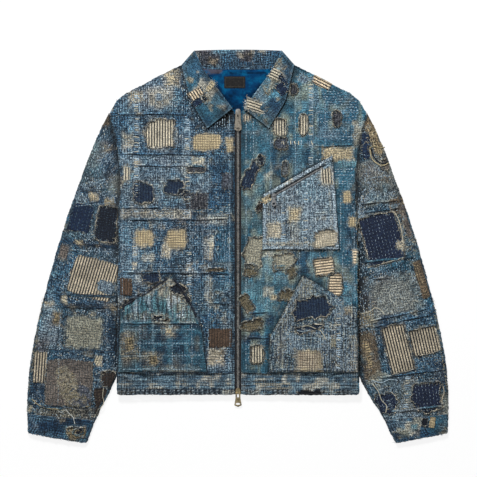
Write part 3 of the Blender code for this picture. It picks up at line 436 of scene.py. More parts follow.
# ground and second colour, shares of stripes, checks and light slubs, and its running stitches: distance
# between rows, stitch, gap (all mm) and thread
Cloth = namedtuple("Cloth", "name ground second stripes checks slubs rows stitch gap thread")
CLOTHS = {c.name: c for c in rows(Cloth, """
    mid mid pale 0.0 .35 .7 5.0 3.6 2.6 chalk; smoke smoke pale 0.0 .12 .75 4.6 3.0 2.4 chalk;
    ash ash pale 0.0 .15 .6 4.4 2.4 2.6 chalk; dune dune brown 0.0 .3 .55 5.0 3.0 3.0 tan;
    slate slate grey 0.0 .1 .6 5.0 2.2 2.6 grey; fog fog shell 0.0 .15 .5 4.4 2.4 2.6 chalk;
    shell shell tan 0.0 .3 .15 0 0 0 cream; gather aqua navy .75 0.0 .9 0 0 0 chalk;
    darned night deep .15 0.0 .12 6.6 4.2 2.6 chalk; bar sand umber .95 0.0 .1 0 0 0 cream;
    pale pale chalk 0.0 .3 .55 4.4 3.6 2.0 chalk; deep deep mid 0.0 .2 .5 6.0 3.4 3.0 pale;
    teal teal sky 0.0 .15 .22 0 0 0 white; steel steel pale 0.0 .3 .7 4.2 3.0 2.2 chalk;
    navy navy deep .15 0.0 .12 8.0 3.4 3.6 steel; ink ink navy 0.0 .2 .12 5.6 2.2 2.6 pale;
    hole navy steel .22 0.0 .15 6.0 3.0 3.4 steel; ticking cream ink .95 0.0 .15 0 0 0 cream;
    ticking_dark oat ink 1.1 0.0 .1 0 0 0 cream; tan_check wheat brown 0.0 .6 .25 0 0 0 cream;
    tan tan cream 0.0 .4 .35 4.6 3.0 2.4 cream; cream cream tan 0.0 .4 .3 4.0 3.4 2.0 white;
    bark bark umber 0.0 .15 .25 0 0 0 tan; milk cream brown 0.0 .55 .2 0 0 0 cream;
    tweed charcoal taupe 0.0 .2 .7 0 0 0 cream; russet oat rust 0.0 .75 .4 0 0 0 cream;
    linen linen taupe 0.0 .3 .3 0 0 0 cream; brown brown umber .35 .2 .4 6.0 3.0 3.0 tan;
    umber umber ink .3 .1 .2 7.0 3.0 3.0 brown; rust rust umber .75 .1 .4 0 0 0 tan;
    sage sage tan 0.0 .2 .38 4.2 2.6 2.4 tan; taupe taupe grey 0.0 .15 .4 5.0 2.4 3.0 grey;
    grey grey steel 0.0 .2 .6 4.0 2.6 2.2 pale; charcoal charcoal grey .4 0.0 .8 6.0 3.0 3.0 grey;
    plum plum steel .3 .2 .5 0 0 0 pale; olive olive brown 0.0 .3 .6 4.6 2.6 2.4 tan;
    sky sky pale 0.0 .1 .5 0 0 0 white; aqua aqua chalk 0.0 .3 .3 0 0 0 chalk;""")}


def look_of(cloth, shade=1.0):
    """Tint, second colour and figure of a cloth."""
    c = CLOTHS[cloth]
    return COLOURS[c.ground] * shade, COLOURS[c.second] * shade, np.array([c.stripes, c.checks, c.slubs])


# A block of the pieced ground: centre, half sizes, turn in degrees, cloth, how strongly it shows and how
# softly it ends in mm.
Block = namedtuple("Block", "x y wide high turn cloth share soft")
BLOCKS = {
    "front_right": rows(Block, """
        -172 300 60 40 0 pale .35 16; -129 329 15 17 0 tan .8 14; -152 290 24 18 0 cream .6 16;
        -198 294 14 11 0 tan .65 10; -150 222 46 42 0 mid .6 4; -100 195 9 52 0 pale .55 4;
        -209 220 6 60 0 pale .4 4; -214 207 12 13 0 cream .75 7; -62 232 34 24 0 mid .6 5;
        -16 199 8 15 0 tan_check .8 5; -150 168 84 9 0 pale .5 5; -78 168 13 6 0 cream .95 3;
        -197 163 7 5 0 cream .9 4; -45 110 38 50 0 deep .4 8; -150 118 80 40 0 pale .3 10;
        -160 63 70 9 0 cream .5 5; -40 62 40 14 0 steel .5 8; -212 100 16 30 0 steel .5 8;
        -50 52 30 10 0 cream .35 8; -64 124 14 20 0 pale .5 7; -138 -6 9 18 -20 cream .9 6;
        -175 -22 11 9 0 cream .7 7; -57 -4 9 23 0 cream .85 6; -58 -85 7 25 0 cream .85 5;
        -200 -10 30 60 0 pale .35 10; -24 -20 14 60 0 teal .5 6; -82 -30 26 60 0 mid .5 6;
        -201 -38 5 8 0 cream .9 4; -201 -10 5 8 0 cream .5 4; -95 -40 5 8 0 cream .8 4;
        -43 -216 16 18 0 cream .85 7; -25 -130 22 36 0 mid .5 8; -20 -150 14 18 0 pale .5 8;
        -46 -100 36 30 0 steel .5 10; -100 240 70 10 0 deep .4 5; -30 -238 30 8 0 pale .6 4;
        -120 40 60 16 0 deep .35 8; -170 44 40 14 0 mid .4 8;"""),
    "front_left": rows(Block, """
        112 300 40 60 0 teal .6 10; 150 290 9 16 0 pale .8 4; 128 326 12 9 -28 pale .7 3;
        196 250 46 46 0 mid .45 8; 40 215 34 46 0 teal .7 6; 104 160 40 44 0 deep .55 8;
        118 172 12 34 0 sky .45 10; 52 240 18 22 0 sky .35 10; 58 135 8 7 10 cream .7 5;
        24 90 18 50 0 aqua .5 10; 48 110 12 30 -20 aqua .5 9; 195 180 32 14 0 tan .95 4;
        212 160 20 7 0 aqua .8 5; 206 134 28 20 0 teal .7 5; 220 70 14 40 0 mid .5 6;
        223 24 12 14 0 deep .7 5; 222 -4 12 14 0 mid .7 5; 60 22 24 34 0 aqua .5 8;
        60 -40 52 34 0 sky .45 10; 40 -100 34 34 0 sky .4 14; 76 -14 28 6 0 cream .6 6;
        120 -30 20 24 0 deep .7 6; 88 -66 22 10 0 sky .6 8; 30 -90 22 18 0 aqua .5 8;
        64 -120 10 40 0 aqua .6 6; 210 -60 22 20 0 teal .6 6; 210 -92 18 12 0 sky .8 6;
        36 -140 38 12 -8 deep .85 6; 30 -182 34 9 0 deep .85 4; 38 -214 30 24 0 teal .6 5;
        66 -205 5 34 0 linen .8 3; 100 -92 14 12 0 linen .4 6; 60 -88 10 10 0 cream .6 6;
        160 270 16 10 0 sky .5 6; 176 222 20 14 0 pale .35 8; 236 220 12 26 0 tan .5 6;
        150 240 8 90 0 steel .45 4; 236 90 6 60 0 tan .4 4;"""),
    "pocket_right": rows(Block, """
        -150 -122 90 24 0 gather .85 8; -160 -104 40 22 -40 teal .5 8; -130 -86 26 20 0 linen .75 8;
        -118 -106 20 18 -60 cream .6 8; -150 -142 16 12 0 cream .5 6; -135 -165 15 12 0 tan .95 6;
        -212 -196 19 30 10 olive .9 10; -166 -224 21 19 0 olive .9 8; -216 -182 10 12 0 cream .6 8;
        -172 -214 10 8 0 cream .6 6; -118 -240 34 8 0 cream .75 6; -112 -200 14 40 0 deep .6 6;
        -148 -205 10 40 0 deep .5 6; -176 -176 18 22 0 deep .7 7; -92 -170 14 40 0 teal .7 6;
        -84 -226 18 18 0 teal .6 7; -214 -234 18 12 0 sky .5 7; -100 -136 16 14 0 cream .35 6;
        -190 -136 30 6 0 cream .4 4;"""),
    "pocket_left": rows(Block, """
        134 -84 17 20 0 linen .9 6; 166 -96 26 18 -36 steel .6 6; 196 -124 30 24 -30 pale .5 8;
        150 -196 70 26 0 pale .55 8; 106 -140 26 30 0 grey .6 8; 84 -190 10 50 0 linen .7 4;
        136 -224 30 22 0 tan_check .95 6; 186 -187 6 12 0 tan .9 3; 224 -186 8 11 0 cream .8 4;
        216 -127 8 8 0 tan .9 4; 204 -210 26 30 0 steel .7 6; 104 -224 16 20 0 steel .7 5;
        160 -168 40 6 0 deep .7 5; 230 -220 8 30 0 cream .5 6;"""),
    "pocket_chest": rows(Block, """
        71 32 15 15 0 cream .95 5; 111 66 14 14 0 tan .7 8; 94 34 9 18 0 charcoal .7 4;
        111 30 10 30 0 cream .45 6; 72 78 20 16 0 grey .7 8; 176 80 16 40 0 pale .6 8;
        150 30 10 30 0 sky .35 8; 120 4 70 5 0 cream .6 4; 140 110 24 20 30 sky .35 8;
        98 126 11 6 30 tan 1.0 3;"""),
    "sleeve_right": rows(Block, """
        -254 246 8 14 -30 brown .9 5; -262 190 20 40 -20 mid .7 8; -290 168 22 44 -24 fog .6 8;
        -282 128 40 24 -14 steel .8 8; -246 160 12 40 -6 deep .7 8; -240 120 14 20 0 linen .5 6;
        -285 96 52 12 -8 deep .7 5; -281 96 9 8 0 tan 1.0 3; -250 86 10 7 0 tan .9 3;
        -306 92 12 8 0 pale .7 4; -292 18 60 7 -6 steel .8 4; -290 4 60 8 -6 deep .85 4;
        -309 7 7 6 0 tan 1.0 3; -325 -30 40 16 -8 mid .8 6; -350 -80 22 26 -8 mid .8 8;
        -290 -112 60 10 -6 deep .6 5; -368 -114 10 8 0 tan .9 4; -368 -156 18 40 -8 pale .75 6;
        -354 -140 9 15 -8 brown .85 4; -339 -104 6 6 0 cream 1.0 3; -245 -165 16 50 -4 deep .7 6;
        -242 -123 7 10 0 tan .7 3; -300 -216 60 10 -4 deep .5 5; -266 -232 16 40 -2 mid .7 6;
        -272 -225 7 10 0 cream 1.0 4; -390 -286 14 26 0 deep .8 6; -330 -326 66 10 2 olive .6 5;
        -380 -196 14 14 0 grey .6 5; -262 -262 60 10 0 steel .3 10;"""),
    # on the sleeve of the wearer's left, the ink blocks beside the body (at 240 30 and 244 -104) are painted
    # shadow where the body's edge lies over the sleeve
    "sleeve_left": rows(Block, """
        264 220 14 40 18 dune .95 5; 278 128 42 44 14 fog .85 8; 286 150 8 26 10 brown .6 6;
        300 160 18 22 16 fog .6 6; 312 80 16 17 16 brown .95 5; 262 96 30 8 12 pale .6 5;
        318 2 13 11 16 cream .85 5; 240 30 12 70 0 ink .6 6; 340 0 14 20 18 steel .8 5;
        310 -30 60 14 10 teal .6 6; 300 -100 60 44 10 fog .7 8; 244 -104 12 44 4 ink .85 5;
        250 -142 16 16 0 tan .5 6; 340 -140 60 14 10 mid .85 5; 258 -212 18 48 10 brown .9 6;
        290 -190 12 50 10 deep .6 5; 350 -236 46 16 8 mid .8 6; 280 -262 24 16 -20 linen .7 6;
        330 -292 24 34 6 fog .8 8; 300 -270 20 16 0 mid .6 6; 394 -250 14 30 6 deep .7 5;
        402 -310 10 24 4 linen .7 5; 310 -328 50 10 4 pale .6 5;"""),
}


def paint(x, y, base, blocks, seed=1, rough=1.0):
    """Tint, second colour and figure over the plan: the base cloth, then each block with a soft uneven
    edge, then worn and dark places, and slow fading all over. Rough is how strongly it is worn."""
    x, y = np.asarray(x, float), np.asarray(y, float)
    looks = [np.broadcast_to(v, x.shape + (3,)) for v in look_of(base)]
    wx = x + 3.0 * noise(x, y, 8.0, seed) + 1.6 * noise(x, y, 3.2, seed + 1)
    wy = y + 3.0 * noise(x, y, 8.0, seed + 2) + 1.6 * noise(x, y, 3.2, seed + 3)
    for b in blocks:
        across, length = turned(wx - b.x, wy - b.y, b.turn)
        inside = smooth((b.wide - np.abs(across)) / b.soft + 0.5)
        inside = (inside * smooth((b.high - np.abs(length)) / b.soft + 0.5) * b.share)[..., None]
        looks = [blend(one, other, inside) for one, other in zip(looks, look_of(b.cloth))]
    tint, second, figure = looks

    def places(wide, narrow, k, less):
        """Uneven places from 0 to 0.6: two sizes of noise together, past a level."""
        level = 1.3 * noise(x, y, wide, seed + k) + 0.9 * noise(x, y, narrow, seed + k + 1) - less
        return (smooth(level) * 0.6 * rough)[..., None]

    warm = smooth(1.6 * noise(x, y, 19.0, seed + 12) + 0.1)[..., None]
    tint = blend(tint, blend(COLOURS["pale"], COLOURS["tan"] * 0.8, warm), places(13.0, 5.0, 6, 0.25))
    tint = blend(tint, COLOURS["deep"] * 0.4, places(17.0, 6.0, 8, 0.3))
    if rough < 1.0:
        streak = (smooth(1.5 * noise(x, y * 0.26, 8.0, seed + 20) - 0.15) * 0.6)[..., None]
        pale = smooth(1.6 * noise(x, y, 21.0, seed + 21) + 0.4)[..., None]
        tint = blend(tint, blend(COLOURS["sky"], COLOURS["moss"] * 0.9, pale), streak)
    hue = (0.8 * noise(x, y, 36.0, seed + 10) + 0.45 * noise(x, y, 13.0, seed + 11))[..., None]
    cool = smooth((tint[..., 2:] - tint[..., :1]) / (0.5 * tint[..., 2:]))
    drift = hue * np.array([-0.36, 0.04, 0.13]) * (0.12 + 0.88 * cool) * (0.5 + 0.5 * (rough == 1.0))
    fade = 1.0 + 0.26 * noise(x, y, 26.0, seed + 4) + 0.26 * noise(x, y, 11.0, seed + 5)
    return tint * fade[..., None] * (1.0 + drift), second, figure


def over(tint, name, share, shade=1.0):
    """A tint with a share of a named colour laid over it."""
    return blend(tint, COLOURS[name] * shade, np.clip(share, 0.0, 1.0)[..., None])


# ================================================================ finishes
def operator(operation, flip=False):
    """A method of Value that adds that Math node. Flipped, the other value comes first."""
    return lambda self, other=None: self.math(operation, other, flip)


class Value:
    """A shader socket that takes part in Python arithmetic: each operation adds its Math node."""

    def __init__(self, tree, socket):
        self.tree, self.socket = tree, socket

    def math(self, operation, other, flip):
        node = self.tree.nodes.new("ShaderNodeMath")
        node.operation = operation
        for place, value in zip((1, 0) if flip else (0, 1), (self, other)):
            if isinstance(value, Value):
                self.tree.links.new(value.socket, node.inputs[place])
            elif value is not None:
                node.inputs[place].default_value = value
        return Value(self.tree, node.outputs[0])

    __add__ = __radd__ = operator("ADD")
    __mul__ = __rmul__ = operator("MULTIPLY")
    __sub__, __rsub__ = operator("SUBTRACT"), operator("SUBTRACT", flip=True)
    __truediv__, __rtruediv__ = operator("DIVIDE"), operator("DIVIDE", flip=True)
    highest, sine = operator("MAXIMUM"), operator("SINE")

    def step(self, low, high):
        """0 below low, 1 above high, and an S-curve between."""
        node = self.tree.nodes.new("ShaderNodeMapRange")
        node.interpolation_type = "SMOOTHSTEP"
        self.tree.links.new(self.socket, node.inputs["Value"])
        node.inputs["From Min"].default_value = low
        node.inputs["From Max"].default_value = high
        return Value(self.tree, node.outputs["Result"])


class Finish:
    """A Principled material, built node by node."""

    def __init__(self, name, **constants):
        self.material = bpy.data.materials.new(name)
        self.material.use_nodes = True
        self.tree = self.material.node_tree
        self.shader = self.tree.nodes["Principled BSDF"]
        for key, value in constants.items():
            self.shader.inputs[key.replace("_", " ")].default_value = value

    def node(self, kind, settings=None, inputs=None, output=0):
        """A node of that type: its settings first, then its sockets by name or number, as values or links."""
        node = self.tree.nodes.new(kind)
        for key, value in (settings or {}).items():
            setattr(node, key, value)
        for key, value in (inputs or {}).items():
            if isinstance(value, Value):
                self.tree.links.new(value.socket, node.inputs[key])
            else:
                node.inputs[key].default_value = value
        return Value(self.tree, node.outputs[output])

    def cloth_map(self):
        return self.node("ShaderNodeUVMap", {"uv_map": "cloth"})

    def attribute(self, name):
        return self.node("ShaderNodeAttribute", {"attribute_name": name}, output="Color")

    def parts(self, vector):
        """The three numbers of a vector."""
        node = self.tree.nodes.new("ShaderNodeSeparateXYZ")
        self.tree.links.new(vector.socket, node.inputs[0])
        return [Value(self.tree, out) for out in node.outputs]

    def noise(self, vector, scale, detail=2.0, rough=0.55, move=(0.0, 0.0, 0.0)):
        """Noise with that many cells to a metre, or with a number of cells for each axis, and moved."""
        if isinstance(scale, tuple):
            scale, stretch = 1.0, (*scale, 1.0)[:3]
            vector = self.node("ShaderNodeVectorMath", {"operation": "MULTIPLY_ADD"},
                               {0: vector, 1: stretch, 2: move})
        return self.node("ShaderNodeTexNoise", {}, {"Vector": vector, "Scale": scale, "Detail": detail,
                                                    "Roughness": rough}, output="Fac")

    def mix(self, a, b, share):
        return self.node("ShaderNodeMix", {"data_type": "RGBA"}, {0: share, 6: a, 7: b}, output=2)

    def scale(self, colour, by, operation="MULTIPLY"):
        """A colour times another, channel by channel, or another operation of the two."""
        return self.node("ShaderNodeVectorMath", {"operation": operation}, {0: colour, 1: by})

    def connect(self, name, value):
        self.tree.links.new(value.socket, self.shader.inputs[name])

    def finish(self, colour, roughness, height, distance, strength=1.0):
        """Joins the colour, the roughness and a bump of that height to the shader, and gives the material."""
        self.connect("Base Color", colour)
        self.connect("Roughness", roughness)
        self.connect("Normal", self.node("ShaderNodeBump", {}, {"Height": height, "Distance": distance,
                                                                "Strength": strength}))
        return self.material


def boro_cloth():
    """Old cotton under its attributes' colours: uneven warp and weft threads, dark gaps between them, light
    slubs, stripes or checks where the cloth has them, and slow fading. Stripes and checks are sines along
    the cloth, everything else is noise past a level."""
    f = Finish("boro_cloth", Roughness=0.92, Sheen_Weight=0.12, Sheen_Roughness=0.6, Specular_IOR_Level=0.18)
    uv = f.cloth_map()
    tint, second = f.attribute("tint"), f.attribute("second")
    stripes, checks, slubs = f.parts(f.attribute("figure"))
    across, length, _ = f.parts(uv)
    warp = f.noise(uv, (420.0, 90.0), 2.5, 0.65)
    weft = f.noise(uv, (90.0, 420.0), 2.5, 0.65, (7.0, 3.0, 5.0))
    fleck = f.noise(uv, (230.0, 230.0), 3.0, 0.7, (3.0, 9.0, 2.0))
    drift = f.noise(uv, (22.0, 22.0), 3.0, 0.6)
    wobble = (weft - 0.5) * 2.2
    stripe = (across * (TURN / 0.0053) + wobble * 0.25).sine().step(0.05, 0.5)
    check = (across * (TURN / 0.0046) + wobble * 0.4).sine().step(0.3, 0.9).highest(
        (length * (TURN / 0.0046) + wobble * 0.4).sine().step(0.3, 0.9))
    figure = (stripe * stripes).highest(check * checks) * (0.8 + 0.4 * weft)
    colour = f.mix(tint, second, figure)
    crisp = 1.0 - stripes.highest(checks).step(0.4, 0.6) * 0.6
    rich = 0.36 + 0.64 * slubs.step(0.1, 0.8)
    gaps = warp.step(0.475, 0.425).highest(weft.step(0.465, 0.415)).highest(fleck.step(0.43, 0.38) * 0.6)
    gaps = gaps * crisp * rich
    sway = (f.noise(uv, (45.0, 45.0), 1.0, move=(2.0, 4.0, 6.0)) - 0.5) * 7.0
    lean = f.noise(uv, (26.0, 26.0), 1.0, move=(9.0, 2.0, 6.0)).step(0.42, 0.58) * 0.7 + 0.15
    lattice = (across * (TURN / 0.0050) + sway).sine() * lean
    lattice = lattice + (length * (TURN / 0.0050) + sway).sine() * (1.0 - lean)
    speck = f.noise(uv, (400.0, 400.0), 1.0, 0.5, (11.0, 5.0, 3.0))
    grain = (lattice * (0.10 + 0.65 * checks) + 2.8 * speck - 0.9).step(0.14, 0.86)
    colour = f.mix(colour, f.scale(colour, (0.13, 0.15, 0.19)), gaps)
    light = warp.step(0.54, 0.58).highest(weft.step(0.55, 0.59)) * fleck.step(0.48, 0.55) * slubs
    bright = f.scale(f.scale(colour, (3.2, 2.6, 2.3)), (0.60, 0.62, 0.58), "MINIMUM")
    colour = f.mix(colour, f.mix(second, bright, 0.6), light * 0.9)
    grain = 0.5 + (grain - 0.5) * (0.35 + 0.65 * crisp) * (0.66 + 0.34 * slubs.step(0.1, 0.7))
    colour = f.mix(f.scale(colour, (0.28, 0.31, 0.36)), f.scale(colour, (1.82, 1.74, 1.66)), grain)
    fade = f.node("ShaderNodeCombineXYZ", {},
                  {0: 0.62 + 0.76 * drift, 1: 0.64 + 0.72 * drift, 2: 0.68 + 0.64 * drift})
    return f.finish(f.scale(colour, fade), 0.82 + 0.2 * fleck, warp + weft + fleck + figure * 0.4, 0.0022)


def thread():
    """Cotton thread and loose yarn: the piece's own colours, twisted and a little dirty."""
    f = Finish("thread", Roughness=0.85, Sheen_Weight=0.1, Specular_IOR_Level=0.2)
    uv = f.cloth_map()
    dirt = f.noise(uv, (260.0, 260.0))
    ply = f.noise(uv, (1500.0, 900.0), 1.0)
    colour = f.scale(f.attribute("tint"), (0.5, 0.58, 0.66))
    colour = f.mix(colour, f.attribute("tint"), dirt.step(0.35, 0.55))
    return f.finish(colour, 0.75 + 0.2 * ply, ply, 0.0003)


def lining_cloth():
    """Bright indigo lining: smooth, mottled by washing, with a fine weave."""
    f = Finish("lining_cloth", Roughness=0.75, Sheen_Weight=0.0, Specular_IOR_Level=0.08)
    uv = f.cloth_map()
    blotch = f.noise(uv, (48.0, 60.0), 4.0, 0.65)
    weave = f.noise(uv, (900.0, 300.0))
    tint = f.attribute("tint")
    pale = f.mix(tint, f.attribute("second"), blotch.step(0.46, 0.68))
    colour = f.mix(pale, f.scale(tint, (0.45, 0.45, 0.45)), blotch.step(0.46, 0.30))
    return f.finish(colour, 0.62 + 0.3 * weave, weave + blotch, 0.0006)


def woven_tape():
    """Black zip tape, ribbed across, with dust in its ribs. Also the bare neck label."""
    f = Finish("woven_tape", Roughness=0.8, Specular_IOR_Level=0.3)
    uv = f.cloth_map()
    _, length, _ = f.parts(uv)
    ribs = (length * (TURN / 0.0011)).sine()
    dust = f.noise(uv, (380.0, 380.0), 3.0, 0.7)
    colour = f.mix(f.attribute("tint"), f.attribute("second"), dust.step(0.52, 0.72) * 0.6)
    return f.finish(colour, 0.66 + 0.26 * dust, ribs * 0.5 + dust, 0.0003)


def zip_metal(name, colour, dark, rough):
    """Cast zip metal: rubbed bright where hands touch it, dark in its hollows, with fine scratches."""
    f = Finish(name, Metallic=1.0, Roughness=rough)
    place = f.node("ShaderNodeTexCoord", {}, output="Object")
    cloud = f.noise(place, 170.0, 3.0, 0.6)
    grain = f.noise(place, (2600.0, 500.0, 900.0))
    return f.finish(f.mix((*dark, 1.0), (*colour, 1.0), cloud.step(0.34, 0.62)),
                    rough + 0.34 * (1.0 - cloud.step(0.3, 0.7)) * grain + 0.06 * grain,
                    cloud + grain * 0.4, 0.00016, 0.7)


# ================================================================ patches
# Centre, half sizes, turn in degrees, roundness (0 a square, 1 an oval), cloth, how its edge is, how its
# stripes turn, and how far its edge strays in mm. Edges: "sewn" lies on top with stitches round it, "torn"
# is a hole with a raised rim that shows the cloth below, "worn" lies flush and ends in threads.
Patch = namedtuple("Patch", "x y wide high turn round cloth edge grain stray")
PATCHES = {
    "front_right": rows(Patch, """
        -152 220 28 27 0 .35 ticking torn 0 5.6; -61 203 31 19 0 .75 tan_check worn 0 3.4;
        -17 198 8 15 0 .3 tan_check worn 0 2.0; -217 141 8 16 0 .2 ticking worn 0 1.5;
        -82 151 18 8 0 .15 charcoal torn 0 1.8; -78 163 12 5 0 .2 cream worn 0 2.0;
        -185 104 21 20 0 .5 hole torn 0 4.4; -124 115 20 15 -8 .6 hole torn 0 2.6;
        -104 101 13 9 -20 .4 ink torn 0 3.0; -80 88 22 16 0 .08 charcoal sewn 0 1.6;
        -21 127 11 16 0 .1 plum sewn 0 1.0; -183 16 24 23 0 .9 tan_check faded 0 2.2;
        -119 14 25 24 0 .9 tan_check faded 0 2.4; -170 -60 18 11 0 .25 hole torn 0 2.0;
        -218 -79 12 17 0 .08 rust sewn 0 1.2; -43 -46 17 3.5 4 .5 brown torn 90 1.6;
        -212 -114 13 8 -14 .6 ink torn 0 3.6; -35 -179 23 19 0 .12 rust sewn 0 1.6;
        -129 329 7 9 20 .5 tan worn 0 2.0; -154 291 9 9 0 .5 ash worn 0 2.4;
        -100 316 4 11 -24 .4 ink worn 0 1.4;"""),
    "front_left": rows(Patch, """
        82 232 13 17 0 .45 ticking torn 0 1.6; 128 237 9 21 0 .75 ticking torn 0 1.2;
        84 201 11 13 0 .4 plum torn 0 3.4; 163 319 20 8 -27 .15 bar sewn 90 1.2;
        128 325 10 7 -26 .15 ash worn 0 1.2; 109 306 7 11 0 .6 charcoal torn 0 2.0;
        193 249 9 16 0 .8 charcoal torn 0 1.6; 92 151 6.5 15 0 .8 grey torn 0 1.2;
        25 139 11.5 30 -20 .75 hole torn 0 5.5; 44 167 7 11 -20 .7 ink torn 0 2.4;
        43 77 6 10 -24 .5 umber torn 0 2.2; 213 96 10 14 0 .25 tan_check worn 0 1.6;
        223 47 10 12 0 .45 tan_check worn 0 2.2; 195 180 29 12 0 .15 tan worn 0 1.8;
        31 -13 15 32 -8 .3 shell torn 0 5.5; 25 -47 13 11 0 .3 bark torn 0 3.2;
        89 -30 21 16 8 .5 shell torn 0 5.5; 82 -42 11 6 0 .4 bark worn 0 1.2;
        104 -50 9 10 30 .3 bark torn 0 3.0; 168 -40 19 17 7 .12 bar torn 90 1.8;
        190 -75 14 23 0 .55 bar torn 90 1.6; 228 -21 7 17 0 .2 bar worn 90 1.2;
        94 -96 14 11 -10 .4 bark torn 0 5.0; 70 -100 9 7 0 .6 tan worn 0 2.0;
        17 -112 10 18 36 .25 bark torn 0 3.0; 28 -154 20 11 6 .5 bark torn 0 4.0;
        37 -211 14 18 0 .55 ticking torn 0 1.8; 18 250 9 9 0 .2 ticking_dark worn 0 1.2;
        88 -7 16 5 0 .3 tan worn 0 1.6;"""),
    "pocket_right": rows(Patch, """
        -116 -85 17 9 -14 .5 ink torn 0 4.4; -101 -99 7 11 24 .6 ink torn 0 3.4;
        -156 -141 9 7 0 .6 ink torn 0 2.8; -143 -146 9 5 0 .6 umber torn 0 2.4;
        -135 -166 8 7 0 .5 tan worn 0 2.4; -211 -190 10 17 8 .5 olive worn 0 2.8;
        -166 -222 11 12 0 .5 olive worn 0 2.8;"""),
    "pocket_left": rows(Patch, """
        145 -121 35 22 4 .6 hole torn 0 8.0; 136 -224 27 21 0 .3 russet faded 0 3.0;
        138 -160 27 6.5 8 .7 hole torn 0 4.5; 186 -187 5 10 0 .2 sage sewn 0 1.2;
        213 -106 10 12 0 .3 sky worn 0 2.0;"""),
    "pocket_chest": rows(Patch, """
        171 15 23 16 6 .25 milk torn 0 4.0; 173 137 14 19 4 .2 ticking worn 0 1.8;
        71 32 14 14 0 .3 cream faded 0 1.8; 109 62 15 18 0 .35 tan faded 0 2.4;"""),
    "sleeve_right": rows(Patch, """
        -307 55 22 28 -13 .2 navy sewn 0 1.4; -256 43 21 35 -8 .15 ink torn 0 2.2;
        -340 -11 12 16 -10 .2 taupe worn 0 1.8; -283 -62 44 39 -17 .18 ticking_dark sewn 0 2.4;
        -257 -80 17 13 -16 .5 ash worn 0 2.4; -300 -168 41 37 -4 .3 sage faded 0 1.6;
        -387 -236 13 31 -4 .12 ticking_dark sewn 0 1.4; -330 -267 47 46 -3 .2 taupe sewn 0 2.0;
        -309 -293 21 23 0 .7 slate sewn 0 2.0; -252 -259 15 17 0 .6 umber torn 0 1.8;
        -267 -300 14 24 6 .3 umber sewn 0 1.8; -281 96 7 7 0 .2 tan worn 0 1.4;
        -354 -140 7 13 -8 .2 olive worn 0 1.4;"""),
    "sleeve_left": rows(Patch, """
        281 15 37 48 14 .16 darned torn 0 2.4; 268 206 10 32 20 .35 dune worn 0 1.8;
        250 196 9 26 8 .3 navy sewn 0 1.8; 289 160 10 11 16 .6 taupe torn 0 2.4;
        330 50 12 36 19 .25 taupe worn 0 2.2; 361 -64 12 38 17 .2 brown sewn 0 1.6;
        303 -100 44 36 10 .3 fog faded 0 2.2; 312 -200 24 47 14 .14 ticking_dark torn 0 2.0;
        364 -185 28 26 13 .12 ticking_dark torn 0 1.6; 257 -214 16 44 10 .6 brown faded 0 2.4;
        368 -294 30 28 6 .5 darned torn 0 5.5; 290 -306 19 22 12 .6 darned torn 0 6.0;
        254 -212 12 32 8 .5 dune faded 0 2.4; 318 2 10 8 16 .4 cream worn 0 2.4;"""),
    "cuff_right": rows(Patch, """
        -315 -364 19 12 6 .5 olive torn 0 2.6; -312 -362 9 6 6 .4 ink torn 0 1.6;
        -372 -352 20 9 8 .3 deep worn 0 2.0;"""),
    "cuff_left": rows(Patch, """
        379 -344 6 11 -8 .2 tan_check sewn 0 1.0; 364 -343 6 7 -8 .2 ink torn 0 1.2;
        318 -360 12 7 -10 .4 sage worn 0 2.0; 344 -352 9 8 -8 .3 aqua worn 0 1.6;
        398 -352 7 8 -6 .2 steel worn 0 1.4;"""),
    "collar_right": rows(Patch, """
        -54 312 7 12 -40 .3 tan worn 0 2.0; -78 290 15 14 32 .12 navy sewn 0 1.8;
        -82 297 14.5 9.5 32 .12 bar sewn 0 1.2; -64 286 6 7 35 .6 ink torn 0 2.4;"""),
    "collar_left": rows(Patch, """
        72 334 11 12 -36 .12 ticking sewn 101 1.2; 65 312 6 15 -24 .3 linen worn 0 2.4;
        88 324 5 13 32 .12 navy sewn 0 1.0; 85 307 10 12 36 .15 navy sewn 0 1.2;
        35 273 21 13 -18 .15 ticking worn 90 1.4;"""),
}
TACKS = rows(Patch, "56 91.5 9.5 6.5 30 .1 tan sewn 0 1; 174 159.5 11 6.5 30 .1 pale sewn 0 1")
LIFT = {"sewn": 1.0, "torn": 0.45, "worn": 0.5, "faded": 0.5}
FADE_REACH = {"worn": 5.0, "faded": 12.0}       # over how many mm a patch passes into the ground


def unit_stations(half, cell=2.6):
    """Shares from -1 to 1 across a patch, with one more close to either edge so that the edge is steep."""
    count = max(5, int(2 * half / cell) + 1)
    inner = np.linspace(-1.0, 1.0, count) * (1.0 - 0.5 / max(half, 3.0))
    return np.concatenate([[-1.0], inner, [1.0]])


def wander(angle, seed, waves=(2, 3, 5, 8, 13, 21)):
    """An uneven outline from -1 to 1 round a patch: waves of falling size, each with its own place."""
    phase = np.random.default_rng(seed).uniform(0, 2 * math.pi, len(waves))
    total = sum(np.sin(k * angle + p) / k ** 0.4 for k, p in zip(waves, phase))
    return total / 2.2


def bend(patch, u, v):
    """Plan point of a patch at shares u, v: a square bent towards an oval, strayed near its edge, and
    turned. Then its distances from the patch's middle, before it is turned."""
    a = u * (1 - patch.round * (1 - np.sqrt(np.clip(1 - v * v / 2, 0, 1))))
    b = v * (1 - patch.round * (1 - np.sqrt(np.clip(1 - u * u / 2, 0, 1))))
    angle = np.arctan2(b, a)
    stray = patch.stray * wander(angle, seed_of(patch)) * np.maximum(np.abs(u), np.abs(v)) ** 5
    a, b = a * patch.wide + np.cos(angle) * stray, b * patch.high + np.sin(angle) * stray
    return (*placed(patch, a, b), a, b)


def outline_power(patch):
    """9 for a square patch, 2.2 for an oval one."""
    return 9.0 - 6.8 * patch.round


def how_far_out(patch, a, b):
    """Below 1 inside a patch's outline, above 1 outside: both distances in half sizes, to its power,
    added."""
    return np.abs(a / patch.wide) ** outline_power(patch) + np.abs(b / patch.high) ** outline_power(patch)


